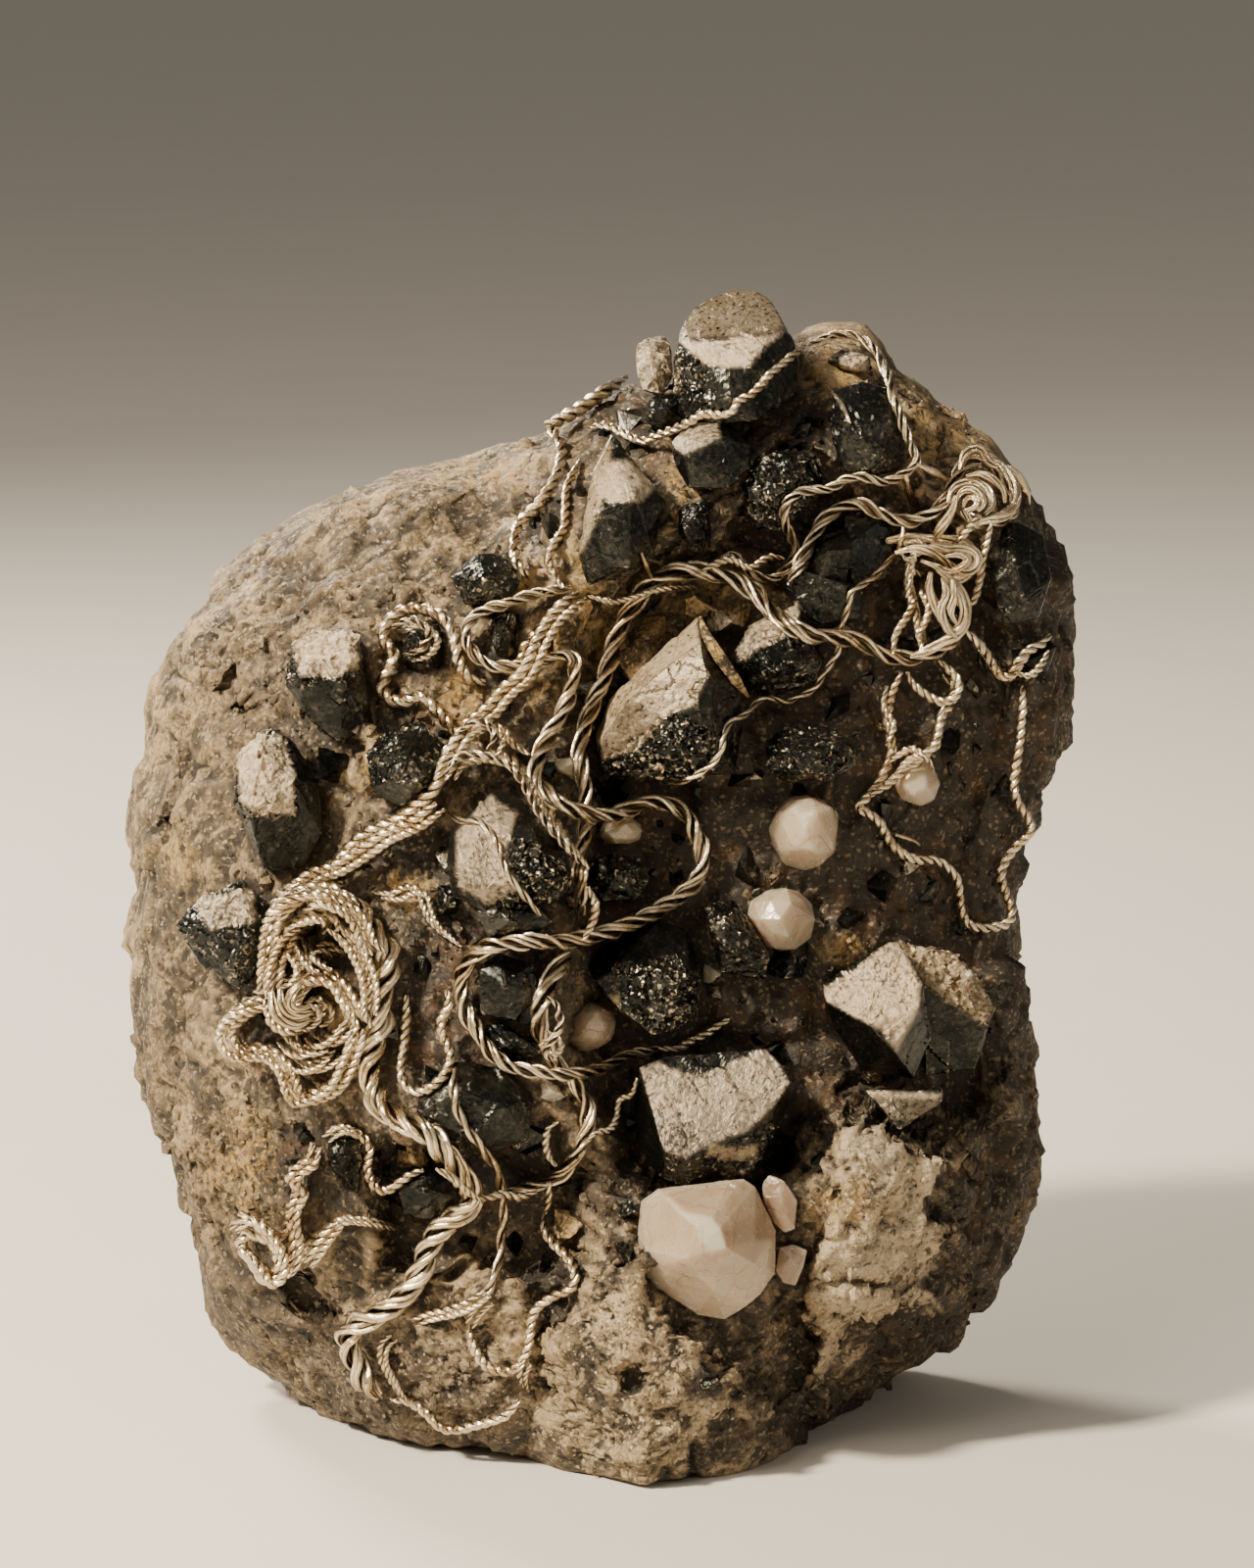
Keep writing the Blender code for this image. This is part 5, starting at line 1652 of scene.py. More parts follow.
# Where crystals are broken, pale with painted highlight, and tan, which is a stain on galena and painted
# shade on calcite
BROKEN = Shapes(
    (1.0, [(612, 778), (650, 750), (690, 728), (735, 752), (732, 785), (700, 800), (660, 790), (625, 795)]),
    (1.0, [(510, 850), (545, 858), (580, 885), (575, 915), (540, 928), (500, 930), (515, 890)]),
    (0.9, [(625, 985), (690, 975), (712, 1000), (714, 1030), (700, 1046), (666, 1056), (640, 1030)]),
    (0.45, [(679, 1178), (719, 1176), (768, 1156), (800, 1140), (820, 1215), (670, 1215)]),
    (0.9, POINT_BACK),
    (0.5, [(842, 1008), (905, 962), (940, 1005), (915, 1072), (885, 1044)]),
    (0.7, [(290, 635), (370, 635), (370, 690), (290, 705)]),
    (0.8, [(686, 356), (706, 362), (722, 378), (730, 404), (716, 424), (688, 408)]),
    (0.4, [(648, 340), (684, 340), (684, 402), (648, 402)]),
    (0.7, [(238, 740), (300, 740), (305, 835), (238, 835)]),
    (0.5, [(372, 735), (460, 735), (460, 800), (372, 800)]),
)

# Pale faces with painted highlight where they face the light
PALE_AND_PAINTED_HIGHLIGHT = Shapes(
    (1.0, [
        (692, 347), (722, 348), (757, 343), (785, 342), (804, 336), (786, 351), (776, 362), (765, 373),
        (744, 374), (718, 370), (706, 359),
    ]),
    (0.55, [(640, 340), (685, 340), (685, 400), (640, 404)]),
    (0.7, [(618, 470), (640, 468), (672, 495), (655, 512), (622, 512), (612, 500)]),
    (0.62, [(466, 850), (500, 810), (528, 830), (515, 870), (530, 905), (500, 925), (466, 905)]),
    (0.42, [
        (653, 1090), (672, 1083), (697, 1095), (723, 1095), (745, 1085), (782, 1070), (797, 1087),
        (806, 1104), (792, 1126), (764, 1154), (719, 1170), (700, 1182), (679, 1175), (666, 1133),
    ]),
    (0.95, [
        (842, 1008), (872, 990), (905, 962), (918, 962), (940, 1005), (938, 1028), (915, 1072), (900, 1050),
        (885, 1044), (842, 1022),
    ]),
    (0.7, [(684, 452), (702, 434), (733, 430), (736, 446), (700, 464)]),
    (1.0, [(300, 655), (325, 640), (365, 645), (368, 680), (340, 690), (305, 690)]),
    (1.0, [(240, 770), (262, 745), (290, 752), (300, 790), (300, 830), (262, 832), (245, 815)]),
    (0.5, [(886, 1112), (962, 1116), (958, 1122), (888, 1119)]),
    (0.08, GREAT_FACE),
    (0.45, GREAT_BAND),
    (0.9, [(858, 366), (872, 358), (886, 364), (886, 384), (872, 388), (858, 380)]),
    (0.75, [
        (749, 666), (759, 653), (766, 637), (776, 631), (791, 626), (813, 615), (818, 624), (815, 633),
        (805, 647), (789, 655), (775, 660), (762, 673), (751, 677),
    ]),
    (0.6, [(196, 918), (258, 905), (262, 940), (214, 948)]),
    (1.0, [(720, 640), (724, 627), (737, 619), (754, 630), (755, 641), (744, 647), (727, 646)]),
    (1.0, [
        (680, 1221), (696, 1235), (712, 1240), (726, 1242), (734, 1250), (741, 1273), (727, 1280),
        (716, 1266), (711, 1251), (696, 1240),
    ]),
)

# Tan: stains on galena, painted shade on calcite
TAN_STAIN_AND_SHADE = Shapes(
    (0.5, [
        (697, 327), (709, 314), (727, 303), (751, 295), (772, 296), (785, 303), (793, 317), (802, 334),
        (785, 340), (757, 341), (722, 345), (693, 345),
    ]),
    (0.62, GREAT_BAND),
    (0.40, [
        (684, 1218), (745, 1203), (772, 1211), (793, 1256), (762, 1268), (741, 1272), (734, 1250),
        (726, 1243), (697, 1237),
    ]),
    (0.25, [(652, 1226), (680, 1223), (711, 1251), (716, 1268), (700, 1283), (654, 1272)]),
    (0.55, [(570, 1016), (632, 1016), (632, 1076), (570, 1076)]),
    (0.7, [(600, 480), (625, 445), (620, 500), (612, 520), (596, 560), (590, 566)]),
    (0.8, POINT_BACK),
    (0.30, [(886, 1112), (962, 1116), (940, 1150), (905, 1140)]),
    (0.2, [(640, 340), (694, 340), (694, 400), (640, 404)]),
    (0.38, GREAT_FACE),
    (0.8, [(724, 1168), (752, 1172), (773, 1168), (770, 1182), (744, 1184), (722, 1178)]),
    (0.95, [(770, 1190), (824, 1190), (824, 1266), (770, 1266)]),
    (0.6, [(786, 1262), (832, 1262), (832, 1320), (786, 1320)]),
)


@dataclass
class Crystals:
    """The crystals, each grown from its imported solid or, the smallest, from a chunk."""

    bevel: float = 0.12 * MM
    fineness: float = 0.30 * MM
    merge: float = 0.004 * MM
    flat: float = math.radians(1.5)
    root: float = 2.4 * MM
    wear: float = 0.10 * MM
    least_broken: float = 0.08
    divide_rounds: int = 9
    turn_step: float = 0.9
    calcite_step: float = 0.07 * MM
    calcite_rubble: float = 0.3 * MM
    calcite_wave: float = 0.08 * MM
    small_bevel: float = 0.07 * MM
    small_fineness: float = 0.28 * MM
    small_broken: float = 0.3
    small_turn_step: float = 1.3
    chunk_corners: int = 13
    cut_root: float = 7.0 * MM
    cut_shrink: float = 0.9
    small: tuple = (
        (715, 537, 44, 60, 2.6), (738, 640, 36, 38, 3.2), (434, 660, 50, 58, 2.8), (514, 650, 44, 54, 2.6),
        (525, 1064, 66, 48, 2.4), (352, 1190, 46, 70, 2.8), (868, 374, 48, 38, 2.0), (452, 920, 34, 38, 2.0),
        (803, 980, 60, 40, 2.0), (640, 1238, 24, 26, 1.6), (637, 1280, 24, 28, 1.6),
        (723, 1413, 24, 16, 1.2),
    )
    small_calcite: tuple = (
        (730, 998, 24, 28, 1.8), (858, 647, 30, 22, 1.8), (986, 1005, 24, 26, 1.6), (565, 1114, 30, 24, 1.6),
        (580, 785, 36, 28, 1.8), (600, 705, 22, 26, 1.4),
    )
    lumps: tuple = (
        (585, 650, 50, 90, 2.6), (660, 665, 80, 80, 3.6), (585, 1258, 44, 52, 2.4), (421, 1174, 36, 38, 2.0),
        (754, 627, 42, 26, 2.2), (718, 620, 40, 26, 1.8),
    )

    def cleaned(self, mesh: Mesh) -> BMesh:
        """Copy a solid and join its loose triangles into whole faces.

        Args:
            mesh: The solid.

        Returns:
            The copy.
        """
        body = bmesh.new()
        body.from_mesh(mesh)
        bmesh.ops.remove_doubles(body, verts=body.verts, dist=self.merge)
        bmesh.ops.dissolve_limit(
            body, angle_limit=self.flat, verts=body.verts, edges=body.edges, delimit=set()
        )
        return body

    def refined(self, body: BMesh, bevel: float, span: float) -> BMesh:
        """Soften a crystal's edges and divide its faces evenly.

        Args:
            body: The crystal.
            bevel: Width of the softened edges.
            span: Longest edge left.

        Returns:
            The same crystal.
        """
        bmesh.ops.bevel(
            body, geom=body.edges[:] + body.verts[:], offset=bevel, segments=1, profile=0.5,
            affect="EDGES", clamp_overlap=True,
        )
        bmesh.ops.remove_doubles(body, verts=body.verts, dist=self.merge)
        bmesh.ops.triangulate(body, faces=body.faces)
        for _ in range(self.divide_rounds):
            long = [edge for edge in body.edges if edge.calc_length() > span]
            if not long:
                break
            bmesh.ops.subdivide_edges(body, edges=long, cuts=1)
            bmesh.ops.triangulate(body, faces=[f for f in body.faces if len(f.verts) > 3])
        bmesh.ops.recalc_face_normals(body, faces=body.faces)
        return body

    def piece(self, name: str, body: BMesh, least_broken: float = 0.0) -> Object:
        """Turn a crystal's mesh into a piece that knows its broken zones, its pale zones with painted
        highlight, and its tan zones.

        Args:
            name: The piece's name.
            body: The crystal.
            least_broken: How broken it is all over.

        Returns:
            The piece.
        """
        mesh = mesh_of(name, body)
        x, y, _ = SIGHT.picture(corners_of(mesh))
        keep(mesh, "broken", np.maximum(BROKEN.cover(x, y), max(least_broken, self.least_broken)))
        # Pale with painted highlight; tan is a stain on galena and painted shade on calcite
        keep(mesh, "pale", PALE_AND_PAINTED_HIGHLIGHT.cover(x, y))
        keep(mesh, "tan", TAN_STAIN_AND_SHADE.cover(x, y))
        return new_piece(name, mesh)

    def cut_body(self, solid: Mesh, corners: Corners) -> BMesh:
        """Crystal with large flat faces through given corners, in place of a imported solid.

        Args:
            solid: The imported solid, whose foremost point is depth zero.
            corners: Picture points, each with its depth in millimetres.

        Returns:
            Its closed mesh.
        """
        foremost = SIGHT.picture(corners_of(solid))[2].min()
        x, y, behind = np.array(corners).T
        front = SIGHT.place(x, y, foremost + behind * MM)
        inner_x = x.mean() + (x - x.mean()) * self.cut_shrink
        inner_y = y.mean() + (y - y.mean()) * self.cut_shrink
        deep = np.full(len(x), foremost + behind.max() * MM + self.cut_root)
        return hull(np.vstack((front, SIGHT.place(inner_x, inner_y, deep))))

    def chunk(self, name: str, size: tuple[float, ...], seat: BVHTree, seed: int) -> BMesh:
        """Small crystal that is set in a surface.

        Args:
            name: What it is called, for messages.
            size: Middle, width and height in picture points, and height out in millimetres.
            seat: The surface.
            seed: Which shape it has.

        Returns:
            Its closed mesh.
        """
        x, y, width, height, proud = size
        found = surface_behind(seat, x, y)
        if found is None:
            LOG.warning("%s has no surface behind it", name)
            found = 0.0
        corners = blocky(np.random.default_rng(seed), self.chunk_corners)
        back = np.where(corners[:, 1] < 0, proud * MM, self.root) * corners[:, 1]
        places = SIGHT.place(x + corners[:, 0] * width / 2, y + corners[:, 2] * height / 2, found + back)
        return hull(places)

    def build(
        self,
        nodes: dict[str, Object],
        rock: Object,
        cleave: CleaveTree,
        galena: Material,
        calcite: Material,
        ochre: Material,
    ) -> list[Object]:
        """Grow every crystal.

        Args:
            nodes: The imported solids.
            rock: The rock's skin, which carries the smallest crystals.
            cleave: Tree that breaks their faces.
            galena: Finish of the dark crystals.
            calcite: Finish of the pale ones.
            ochre: Finish of the stained lumps of rock between them.

        Returns:
            The crystals and lumps.
        """
        made = []
        for number, name in enumerate(sorted(nodes)):
            if not name.startswith(("galena_", "calcite_")):
                continue
            dark = name.startswith("galena_")
            solid = nodes[name].data
            body = self.cut_body(solid, CUT[name]) if name in CUT else self.cleaned(solid)
            for corners in TWINS.get(name, ()):
                beside = mesh_of("twin", self.cut_body(solid, corners))
                body.from_mesh(beside)
                bpy.data.meshes.remove(beside)
            body = self.refined(body, self.bevel, self.fineness)
            item = self.piece("grown_" + name, body, DRUSES.get(name, 0.0))
            turn = number * self.turn_step
            if dark:
                cleave.grow(item, Turn=turn, Finish=galena)
            else:
                cleave.grow(
                    item,
                    Turn=turn,
                    Step=self.calcite_step,
                    Rubble=self.calcite_rubble,
                    Wave=self.calcite_wave,
                    Finish=calcite,
                )
            keep_relief(item.data, self.wear)
            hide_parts(name)
            made.append(item)
        bare, grown = tree_of([rock]), tree_of([rock, *made])
        for slot, kind, sizes, finish, seat in (
            ("galena", "galena", self.small, galena, bare),
            ("calcite", "calcite", self.small_calcite, calcite, grown),
            ("matrix_rock", "ochre", self.lumps, ochre, bare),
        ):
            for number, size in enumerate(sizes):
                name = f"small_{kind}_{number}"
                body = self.chunk(name, size, seat, number + len(kind))
                body = self.refined(body, self.small_bevel, self.small_fineness)
                item = self.piece(name, body, self.small_broken)
                cleave.grow(item, Turn=number * self.small_turn_step, Finish=finish)
                keep_relief(item.data, self.wear)
                made.append(item)
        return made


def surface_behind(tree: BVHTree, x: float, y: float) -> float | None:
    """Find where the line of sight through a picture point meets a surface.

    Args:
        tree: The surface.
        x: Picture point, to the right.
        y: Picture point, down.

    Returns:
        Metres behind the picture plane, or None where it meets nothing.
    """
    direction = Vector(SIGHT.ray(x, y))
    length = direction.length
    hit = tree.ray_cast(Vector(SIGHT.eye), direction.normalized())[3]
    return None if hit is None else hit / length - SIGHT.distance


def smooth_run(points: Points, step: float) -> np.ndarray:
    """Lay points at an even step along a smooth curve through given ones.

    Args:
        points: The given points.
        step: Length of one step in picture points.

    Returns:
        The even points.
    """
    run = np.array(points, float)
    ends = np.vstack((2 * run[0] - run[1], run, 2 * run[-1] - run[-2]))
    fine = []
    for a, b, c, d in zip(ends, ends[1:], ends[2:], ends[3:]):
        for t in np.arange(0, 1, 0.1):
            bend = (2 * a - 5 * b + 4 * c - d) * t * t + (3 * b - a - 3 * c + d) * t**3
            fine.append(b + 0.5 * ((c - a) * t + bend))
    fine.append(run[-1])
    line = np.array(fine)
    length = np.concatenate(([0], np.cumsum(np.hypot(*np.diff(line, axis=0).T))))
    even = np.linspace(0, length[-1], max(3, round(length[-1] / step) + 1))
    return np.column_stack([np.interp(even, length, line[:, k]) for k in (0, 1)])


class DepthMap:
    """Nearest surface behind each picture point, on which wires are laid one after another."""

    step = 3.0
    edges = (110.0, 1125.0, 285.0, 1540.0)
    open_side = 6.0 * MM

    def __init__(self, tree: BVHTree) -> None:
        """Measure the surfaces.

        Args:
            tree: The surfaces.
        """
        left, right, top, bottom = self.edges
        self.x = np.arange(left, right + 1, self.step)
        self.y = np.arange(top, bottom + 1, self.step)
        self.near = np.full((len(self.y), len(self.x)), self.open_side)
        eye = Vector(SIGHT.eye)
        rays = SIGHT.ray(*np.meshgrid(self.x, self.y))
        for row in range(len(self.y)):
            for column in range(len(self.x)):
                direction = Vector(rays[row, column])
                hit = tree.ray_cast(eye, direction.normalized())[3]
                if hit is not None:
                    found = hit / direction.length - SIGHT.distance
                    self.near[row, column] = min(found, self.open_side)

    def window(self, x: float, y: float, reach: float) -> tuple[slice, slice, np.ndarray]:
        """Find the cells near a picture point.

        Args:
            x: Picture point, to the right.
            y: Picture point, down.
            reach: How far around it, in metres.

        Returns:
            Their rows, their columns and their squared distance in metres.
        """
        cells = reach / SIGHT.point + self.step
        left, right = np.searchsorted(self.x, (x - cells, x + cells))
        top, bottom = np.searchsorted(self.y, (y - cells, y + cells))
        across = (self.x[left:right] - x)[None, :]
        down = (self.y[top:bottom] - y)[:, None]
        squared = (across**2 + down**2) * SIGHT.point**2
        return slice(top, bottom), slice(left, right), squared

    def rest(self, x: float, y: float, reach: float) -> float:
        """Find the depth at which a ball comes to rest in front of the surface.

        Args:
            x: Picture point, to the right.
            y: Picture point, down.
            reach: The ball's radius.

        Returns:
            Metres behind the picture plane.
        """
        rows, columns, squared = self.window(x, y, reach)
        bulge = np.sqrt(np.maximum(reach**2 - squared, 0))
        touched = squared < (reach + 0.5 * self.step * SIGHT.point) ** 2
        return float(np.where(touched, self.near[rows, columns] - bulge, self.open_side).min())

    def stamp(self, x: float, y: float, back: float, radius: float) -> None:
        """Add a round wire's front to the map.

        Args:
            x: Picture point, to the right.
            y: Picture point, down.
            back: Depth of the wire's middle.
            radius: Half its width.
        """
        rows, columns, squared = self.window(x, y, radius)
        bulge = np.sqrt(np.maximum(radius**2 - squared, 0))
        covered = squared < (radius + 0.5 * self.step * SIGHT.point) ** 2
        front = np.where(covered, back - bulge, self.open_side)
        self.near[rows, columns] = np.minimum(self.near[rows, columns], front)


@dataclass
class Run:
    """One wire's run over the face: half its width in millimetres, its points, and its taper.

    The taper is the share of the width that it has at even lengths along its run.
    """

    girth: float
    points: Points
    twist: Twist = Twist.ROPE
    taper: tuple[float, ...] = (1.0,)

    def moved(self, shift: tuple[float, float], share: float) -> "Run":
        """Thinner rope beside this one, moved by picture points."""
        points = [(x + shift[0], y + shift[1]) for x, y in self.points]
        return Run(self.girth * share, points)


# How wires bridge gaps, and how near along itself a wire doesn't count as crossed
BRIDGE = 1.8 * MM
BRIDGE_ROUNDS = 2.5
PASSES = 3
OWN_REACH = 5.2
OWN_STEPS = 3


def laid(depth_map: DepthMap, run: np.ndarray, radii: np.ndarray, step: float) -> np.ndarray:
    """Find the depths at which a wire rests on all that lies under it.

    Args:
        depth_map: The surfaces so far.
        run: The wire's picture points, at an even step.
        radii: Half its width at each of them.
        step: Length of one step.

    Returns:
        Depth of each point behind the picture plane.
    """
    limit = np.array([depth_map.rest(x, y, radius) for (x, y), radius in zip(run, radii)])
    rounds = round(BRIDGE_ROUNDS * (BRIDGE / step) ** 2)
    clear = 2 * radii.max() / SIGHT.point
    own = int(OWN_REACH * radii.max() / step) + OWN_STEPS
    for _ in range(PASSES):
        depth = limit.copy()
        for _ in range(rounds):
            middle = depth.copy()
            middle[1:-1] = (depth[:-2] + depth[2:]) / 2
            depth = np.minimum(depth, middle)
        for index in range(own, len(run)):
            earlier = run[: index - own]
            apart = np.hypot(*(earlier - run[index]).T)
            near = np.flatnonzero(apart < clear)
            if len(near):
                lift = np.sqrt(clear**2 - apart[near] ** 2) * SIGHT.point
                limit[index] = min(limit[index], (depth[near] - lift).min())
    for (x, y), back, radius in zip(run, depth, radii):
        depth_map.stamp(x, y, back, radius)
    return depth


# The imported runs, which are wound again
SILVER: dict[str, Run] = {
    "silver_left_edge": Run(0.44, [
        (640, 385), (620, 400), (600, 413), (580, 425), (562, 436), (572, 452), (572, 470), (566, 490),
        (557, 505), (545, 520), (530, 535), (525, 555), (528, 575), (540, 590),
    ]),
    "silver_crown_strand": Run(0.34, [
        (600, 436), (620, 434), (637, 442), (655, 450), (672, 444), (690, 437), (705, 430), (718, 422),
        (735, 424), (748, 420), (752, 410), (765, 404), (775, 395), (785, 383), (797, 373), (810, 362),
        (822, 352),
    ]),
    "silver_upper_braid": Run(0.40, [
        (735, 570), (748, 566), (758, 575), (768, 586), (785, 590), (800, 584), (808, 572), (812, 558),
        (805, 543), (800, 528), (803, 513), (815, 503), (832, 500), (848, 498), (862, 490), (880, 486),
        (900, 492), (915, 488), (928, 480), (936, 470), (930, 455), (924, 440), (918, 423), (913, 408),
        (909, 392), (903, 376), (895, 360), (882, 347), (865, 341), (846, 343), (828, 350),
    ], Twist.BUNDLE),
    "silver_upper_loop": Run(0.56, [
        (806, 592), (818, 572), (828, 552), (840, 532), (857, 518), (877, 514), (900, 525), (925, 532),
        (945, 527), (960, 516), (970, 500), (978, 482), (992, 468), (1008, 470), (1022, 484), (1034, 500),
        (1036, 516), (1026, 528), (1008, 534), (992, 530), (982, 520),
    ], Twist.BUNDLE),
    "silver_thread": Run(0.25, [
        (912, 566), (903, 577), (892, 589), (880, 597), (869, 604), (866, 618), (861, 632), (857, 648),
        (855, 665), (848, 676), (840, 689), (832, 702), (815, 711), (800, 717), (785, 712), (772, 717),
        (762, 729), (745, 737), (739, 752), (736, 766), (728, 778), (712, 790), (695, 798), (678, 799),
    ], Twist.PAIR),
    "silver_skein": Run(0.5, [
        (905, 552), (925, 549), (950, 552), (975, 552), (990, 560), (994, 575), (982, 588), (968, 590),
        (975, 604), (985, 620), (984, 634),
    ], Twist.SKEIN),
    "silver_skein_fall": Run(0.42, [
        (936, 560), (928, 578), (928, 598), (932, 618), (938, 638), (944, 656),
    ], Twist.SKEIN),
    "silver_long_right": Run(0.38, [
        (918, 692), (910, 710), (906, 730), (907, 748), (910, 765), (905, 782), (896, 800), (884, 814),
        (876, 825), (890, 832), (900, 843), (907, 857), (919, 870), (936, 877), (955, 878), (968, 886),
        (977, 898), (979, 915), (982, 932), (990, 944), (1006, 947), (1024, 944), (1033, 934), (1029, 918),
        (1023, 903), (1022, 888), (1030, 872), (1040, 860), (1052, 850), (1050, 836), (1040, 822),
        (1035, 805), (1037, 782), (1041, 752), (1043, 722), (1044, 700),
    ]),
    "silver_side_branch": Run(0.42, [
        (994, 656), (1008, 668), (1018, 684), (1028, 692), (1038, 680), (1050, 664), (1064, 654),
    ]),
    "silver_hanger": Run(0.38, [
        (962, 690), (974, 700), (972, 716), (962, 728), (958, 745), (954, 762), (938, 768),
    ]),
    "silver_arch": Run(0.78, [
        (985, 640), (962, 660), (932, 672), (902, 668), (876, 655), (850, 650), (825, 648), (800, 635),
        (784, 620), (770, 604), (753, 592), (733, 586), (712, 583), (692, 583), (673, 590), (659, 601),
        (648, 615), (639, 629), (631, 646), (625, 665), (619, 685), (611, 705), (602, 725), (595, 745),
        (591, 765), (593, 785), (597, 805), (598, 825), (597, 845), (594, 865), (591, 890), (592, 912),
        (593, 934),
    ], Twist.BUNDLE, (0.8, 0.84, 0.9, 1.05, 1.05, 1.0, 0.92, 0.9, 0.85, 0.8)),
    "silver_far_loop": Run(0.5, [
        (495, 697), (476, 690), (468, 672), (464, 650), (453, 632), (434, 622), (412, 623), (396, 636),
        (391, 652), (402, 668), (396, 685), (390, 700), (397, 713), (413, 716), (430, 710), (442, 722),
        (456, 736), (466, 752),
    ]),
    "silver_long_diagonal": Run(0.5, [
        (572, 622), (556, 640), (536, 660), (527, 690), (511, 710), (495, 728), (480, 745), (463, 760),
        (453, 780), (447, 800), (434, 815), (415, 829), (399, 839), (380, 846), (362, 860), (346, 878),
        (326, 892), (306, 901),
    ]),
    "silver_cross_braid": Run(0.5, [
        (486, 772), (505, 769), (524, 778), (538, 795), (550, 815), (562, 835), (572, 852), (581, 868),
    ]),
    "silver_thin_cross": Run(0.26, [
        (452, 822), (460, 832), (472, 838), (486, 836), (498, 846), (508, 861), (513, 880), (521, 896),
        (531, 908), (541, 921), (551, 934),
    ], Twist.PAIR),
    "silver_centre_braid": Run(0.74, [
        (588, 962), (575, 980), (562, 1000), (553, 1020), (550, 1038), (553, 1056), (560, 1072), (570, 1088),
        (584, 1104), (597, 1122), (601, 1140), (597, 1160), (588, 1178), (577, 1194), (559, 1206),
        (536, 1213), (514, 1218),
    ], Twist.BUNDLE, (0.9, 1.1, 1.1, 0.9, 0.85, 0.9, 0.85, 0.8, 0.75)),
    "silver_long_s": Run(0.70, [
        (583, 600), (562, 603), (540, 608), (516, 616), (496, 622), (481, 632), (475, 645), (478, 658),
        (487, 670), (502, 679), (522, 680), (542, 678), (560, 673), (575, 667), (586, 674), (585, 692),
        (580, 711), (572, 730), (561, 749), (551, 768), (546, 785), (550, 801), (561, 813), (576, 823),
        (596, 830), (616, 833), (636, 829), (651, 822), (667, 818), (686, 822), (701, 832), (710, 850),
        (716, 868), (717, 885), (710, 900), (698, 912), (678, 926), (654, 938), (630, 948), (601, 957),
        (570, 961), (540, 961), (511, 963), (490, 969), (477, 981), (470, 1000), (471, 1018), (478, 1037),
        (489, 1056), (502, 1075), (521, 1088), (545, 1093), (570, 1096), (595, 1095), (615, 1090),
        (636, 1079), (655, 1074), (672, 1070),
    ], Twist.CABLE, (0.68, 0.7, 0.8, 1.0, 1.0, 1.0, 1.0, 1.0, 1.0, 0.8, 0.66)),
    "silver_mid_strand": Run(0.38, [
        (415, 1015), (415, 1040), (413, 1065), (410, 1087), (413, 1106), (427, 1114), (445, 1106),
        (457, 1092), (460, 1074), (452, 1057), (450, 1041), (458, 1026), (456, 1010),
    ]),
    "silver_nest_rim": Run(0.5, [
        (350, 902), (330, 904), (310, 908), (297, 922), (289, 945), (283, 968), (281, 990), (272, 1008),
        (255, 1021), (240, 1033), (231, 1048), (238, 1062), (252, 1071), (268, 1069), (284, 1076),
        (293, 1090), (301, 1106), (312, 1117), (328, 1114), (342, 1104), (354, 1090),
    ]),
    "silver_nest_coil": Run(0.56, [
        (306, 1068), (296, 1048), (296, 1026), (303, 1008), (317, 997), (333, 996), (346, 1004), (354, 1020),
        (358, 1040), (350, 1060),
    ], Twist.BUNDLE),
    "silver_left_tangle": Run(0.46, [
        (318, 1166), (319, 1184), (306, 1198), (304, 1216), (298, 1238), (290, 1258), (272, 1264),
        (254, 1258), (246, 1272), (258, 1286), (274, 1298), (290, 1300), (302, 1288), (316, 1272),
        (332, 1256), (350, 1245), (372, 1246),
    ]),
    "silver_left_hook": Run(0.38, [
        (338, 1158), (356, 1154), (370, 1160), (378, 1173), (375, 1192), (381, 1209), (393, 1216),
        (405, 1209), (417, 1200), (432, 1194),
    ]),
    "silver_lower_loop": Run(0.38, [
        (556, 1238), (556, 1254), (566, 1270), (580, 1284), (587, 1300), (583, 1315), (566, 1322),
        (549, 1334), (542, 1350), (540, 1370), (534, 1386), (522, 1399), (504, 1398), (491, 1389),
        (482, 1371), (478, 1352),
    ]),
    "silver_lower_strand": Run(0.36, [
        (464, 1090), (463, 1110), (466, 1131), (476, 1150), (488, 1166), (499, 1182), (509, 1198),
        (514, 1238), (511, 1262), (511, 1282), (505, 1300), (497, 1318), (478, 1330), (456, 1337),
        (438, 1341),
    ], Twist.PAIR),
    "silver_bottom_strand": Run(0.38, [
        (399, 1428), (420, 1431), (436, 1443), (449, 1456), (466, 1459), (486, 1454), (505, 1449),
        (520, 1441), (530, 1428),
    ]),
    "silver_hanging_braid": Run(0.96, [
        (352, 915), (364, 925), (371, 940), (383, 956), (395, 970), (397, 987), (391, 1006), (388, 1026),
        (388, 1046), (381, 1065), (376, 1085), (379, 1105), (386, 1124), (400, 1138), (419, 1148),
        (438, 1158), (452, 1174), (465, 1191), (478, 1208), (482, 1224), (468, 1240), (450, 1254),
        (438, 1271), (431, 1290), (424, 1307), (411, 1323), (394, 1337), (374, 1347), (358, 1357),
        (354, 1370), (361, 1386), (368, 1401), (376, 1415), (388, 1424),
    ], Twist.BRAID),
}

# A rusty rib beside the great crystal
RIB = Run(
    0.38, [(715, 630), (720, 646), (728, 660), (740, 678), (752, 695), (764, 711)], Twist.HAIR,
    (0.6, 1.0, 1.2, 1.0, 0.6),
)

